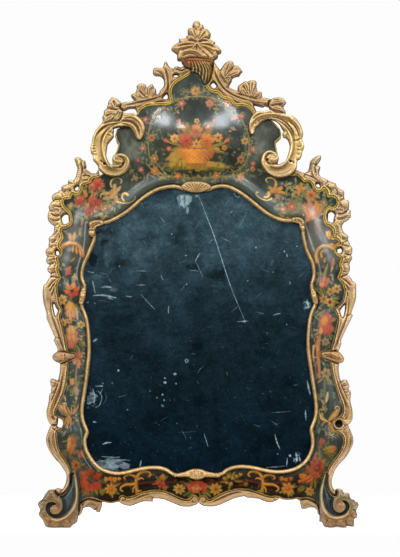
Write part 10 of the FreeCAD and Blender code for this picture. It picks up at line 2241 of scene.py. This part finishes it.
a = np.linspace(0, 2 * math.pi, 97)[:-1]
disc = np.stack([1.5 * np.cos(a), 0.55 + 0.95 * np.sin(a), np.zeros_like(a)], 1)
floor = new_mesh("studio_floor", disc, [list(range(96))])
floor.data.materials.append(floor_material())
floor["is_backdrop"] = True

scene = bpy.context.scene
world = bpy.data.worlds.new("studio")
scene.world = world
world.use_nodes = True
wt = world.node_tree
wt.nodes.clear()
wo = wt.nodes.new("ShaderNodeOutputWorld")
mixs = wt.nodes.new("ShaderNodeMixShader")
lp = wt.nodes.new("ShaderNodeLightPath")
seen = wt.nodes.new("ShaderNodeBackground")
seen.inputs[0].default_value = (0.983, 0.983, 0.983, 1)
seen.inputs[1].default_value = 1.0
lit = wt.nodes.new("ShaderNodeBackground")
where = wt.nodes.new("ShaderNodeTexCoord")
apart = wt.nodes.new("ShaderNodeSeparateXYZ")
wt.links.new(where.outputs["Generated"], apart.inputs[0])
half = wt.nodes.new("ShaderNodeMath")
half.operation = "MULTIPLY_ADD"
half.inputs[1].default_value = 0.5
half.inputs[2].default_value = 0.5
wt.links.new(apart.outputs[2], half.inputs[0])
sky = wt.nodes.new("ShaderNodeValToRGB")
el = sky.color_ramp.elements
el[0].position, el[0].color = 0.30, (0.13, 0.10, 0.075, 1)
el[1].position, el[1].color = 1.0, (0.62, 0.72, 0.86, 1)
e = el.new(0.47)
e.color = (0.26, 0.24, 0.22, 1)
e = el.new(0.57)
e.color = (0.44, 0.485, 0.55, 1)
wt.links.new(half.outputs[0], sky.inputs[0])
wt.links.new(sky.outputs[0], lit.inputs[0])
lit.inputs[1].default_value = 1.0
wt.links.new(lp.outputs["Is Camera Ray"], mixs.inputs[0])
wt.links.new(lit.outputs[0], mixs.inputs[1])
wt.links.new(seen.outputs[0], mixs.inputs[2])
wt.links.new(mixs.outputs[0], wo.inputs[0])


def softbox(name, az, el, dist, w, h, power, col, at=(0, 0, 0.66)):
    """Area light at an angle left (negative) or right of the front and above level, facing the object."""
    a, e = math.radians(az), math.radians(el)
    pos = Vector(at) + dist * Vector((math.sin(a) * math.cos(e), -math.cos(a) * math.cos(e), math.sin(e)))
    li = bpy.data.lights.new(name, "AREA")
    li.shape = "RECTANGLE"
    li.size, li.size_y = w, h
    li.energy = power
    li.color = col
    ob = bpy.data.objects.new(name, li)
    ob.location = pos
    ob.rotation_euler = (Vector(at) - pos).to_track_quat("-Z", "Y").to_euler()
    scene.collection.objects.link(ob)
    return ob


softbox("window_left", -25, 27.5, 3.4, 0.30, 0.62, 23, (0.86, 0.93, 1.0))
softbox("window_right", 20.5, 27.5, 3.4, 0.56, 0.76, 34, (0.86, 0.93, 1.0))
softbox("lamp_left", -13.4, 23.5, 3.6, 0.22, 0.22, 14, (1.0, 0.98, 0.95))
softbox("lamp_right", 10.2, 24.5, 3.6, 0.20, 0.22, 12, (1.0, 0.98, 0.95))
softbox("top", 0, 78, 2.8, 1.8, 1.4, 27, (1.0, 0.98, 0.95))
softbox("side_left", -75, 22, 3.2, 1.4, 1.6, 39.5, (0.95, 0.97, 1.0))
softbox("side_right", 75, 22, 3.2, 1.4, 1.6, 35.5, (0.95, 0.97, 1.0))
softbox("rear", 170, 38, 3.2, 1.6, 1.4, 26, (1.0, 0.98, 0.95), (0, 0.1, 0.4))

DIST = 11.0
cam = bpy.data.cameras.new("camera")
cam.sensor_fit = "VERTICAL"
cam.sensor_height = 36.0
cam.lens = 36.0 * DIST / 0.9816
cam.clip_end = 60.0
eye = bpy.data.objects.new("camera", cam)
eye.location = (0.0030, -DIST, 0.4340)
eye.rotation_euler = (math.radians(90), 0, 0)
scene.collection.objects.link(eye)
scene.camera = eye
scene.view_settings.view_transform = "Standard"

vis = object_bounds()
def plain(b):
    try:
        return [[float(x) for x in v] for v in b]
    except TypeError:
        return [float(x) for x in b]
{"cad": plain(cad_box), "visual": plain(vis)}
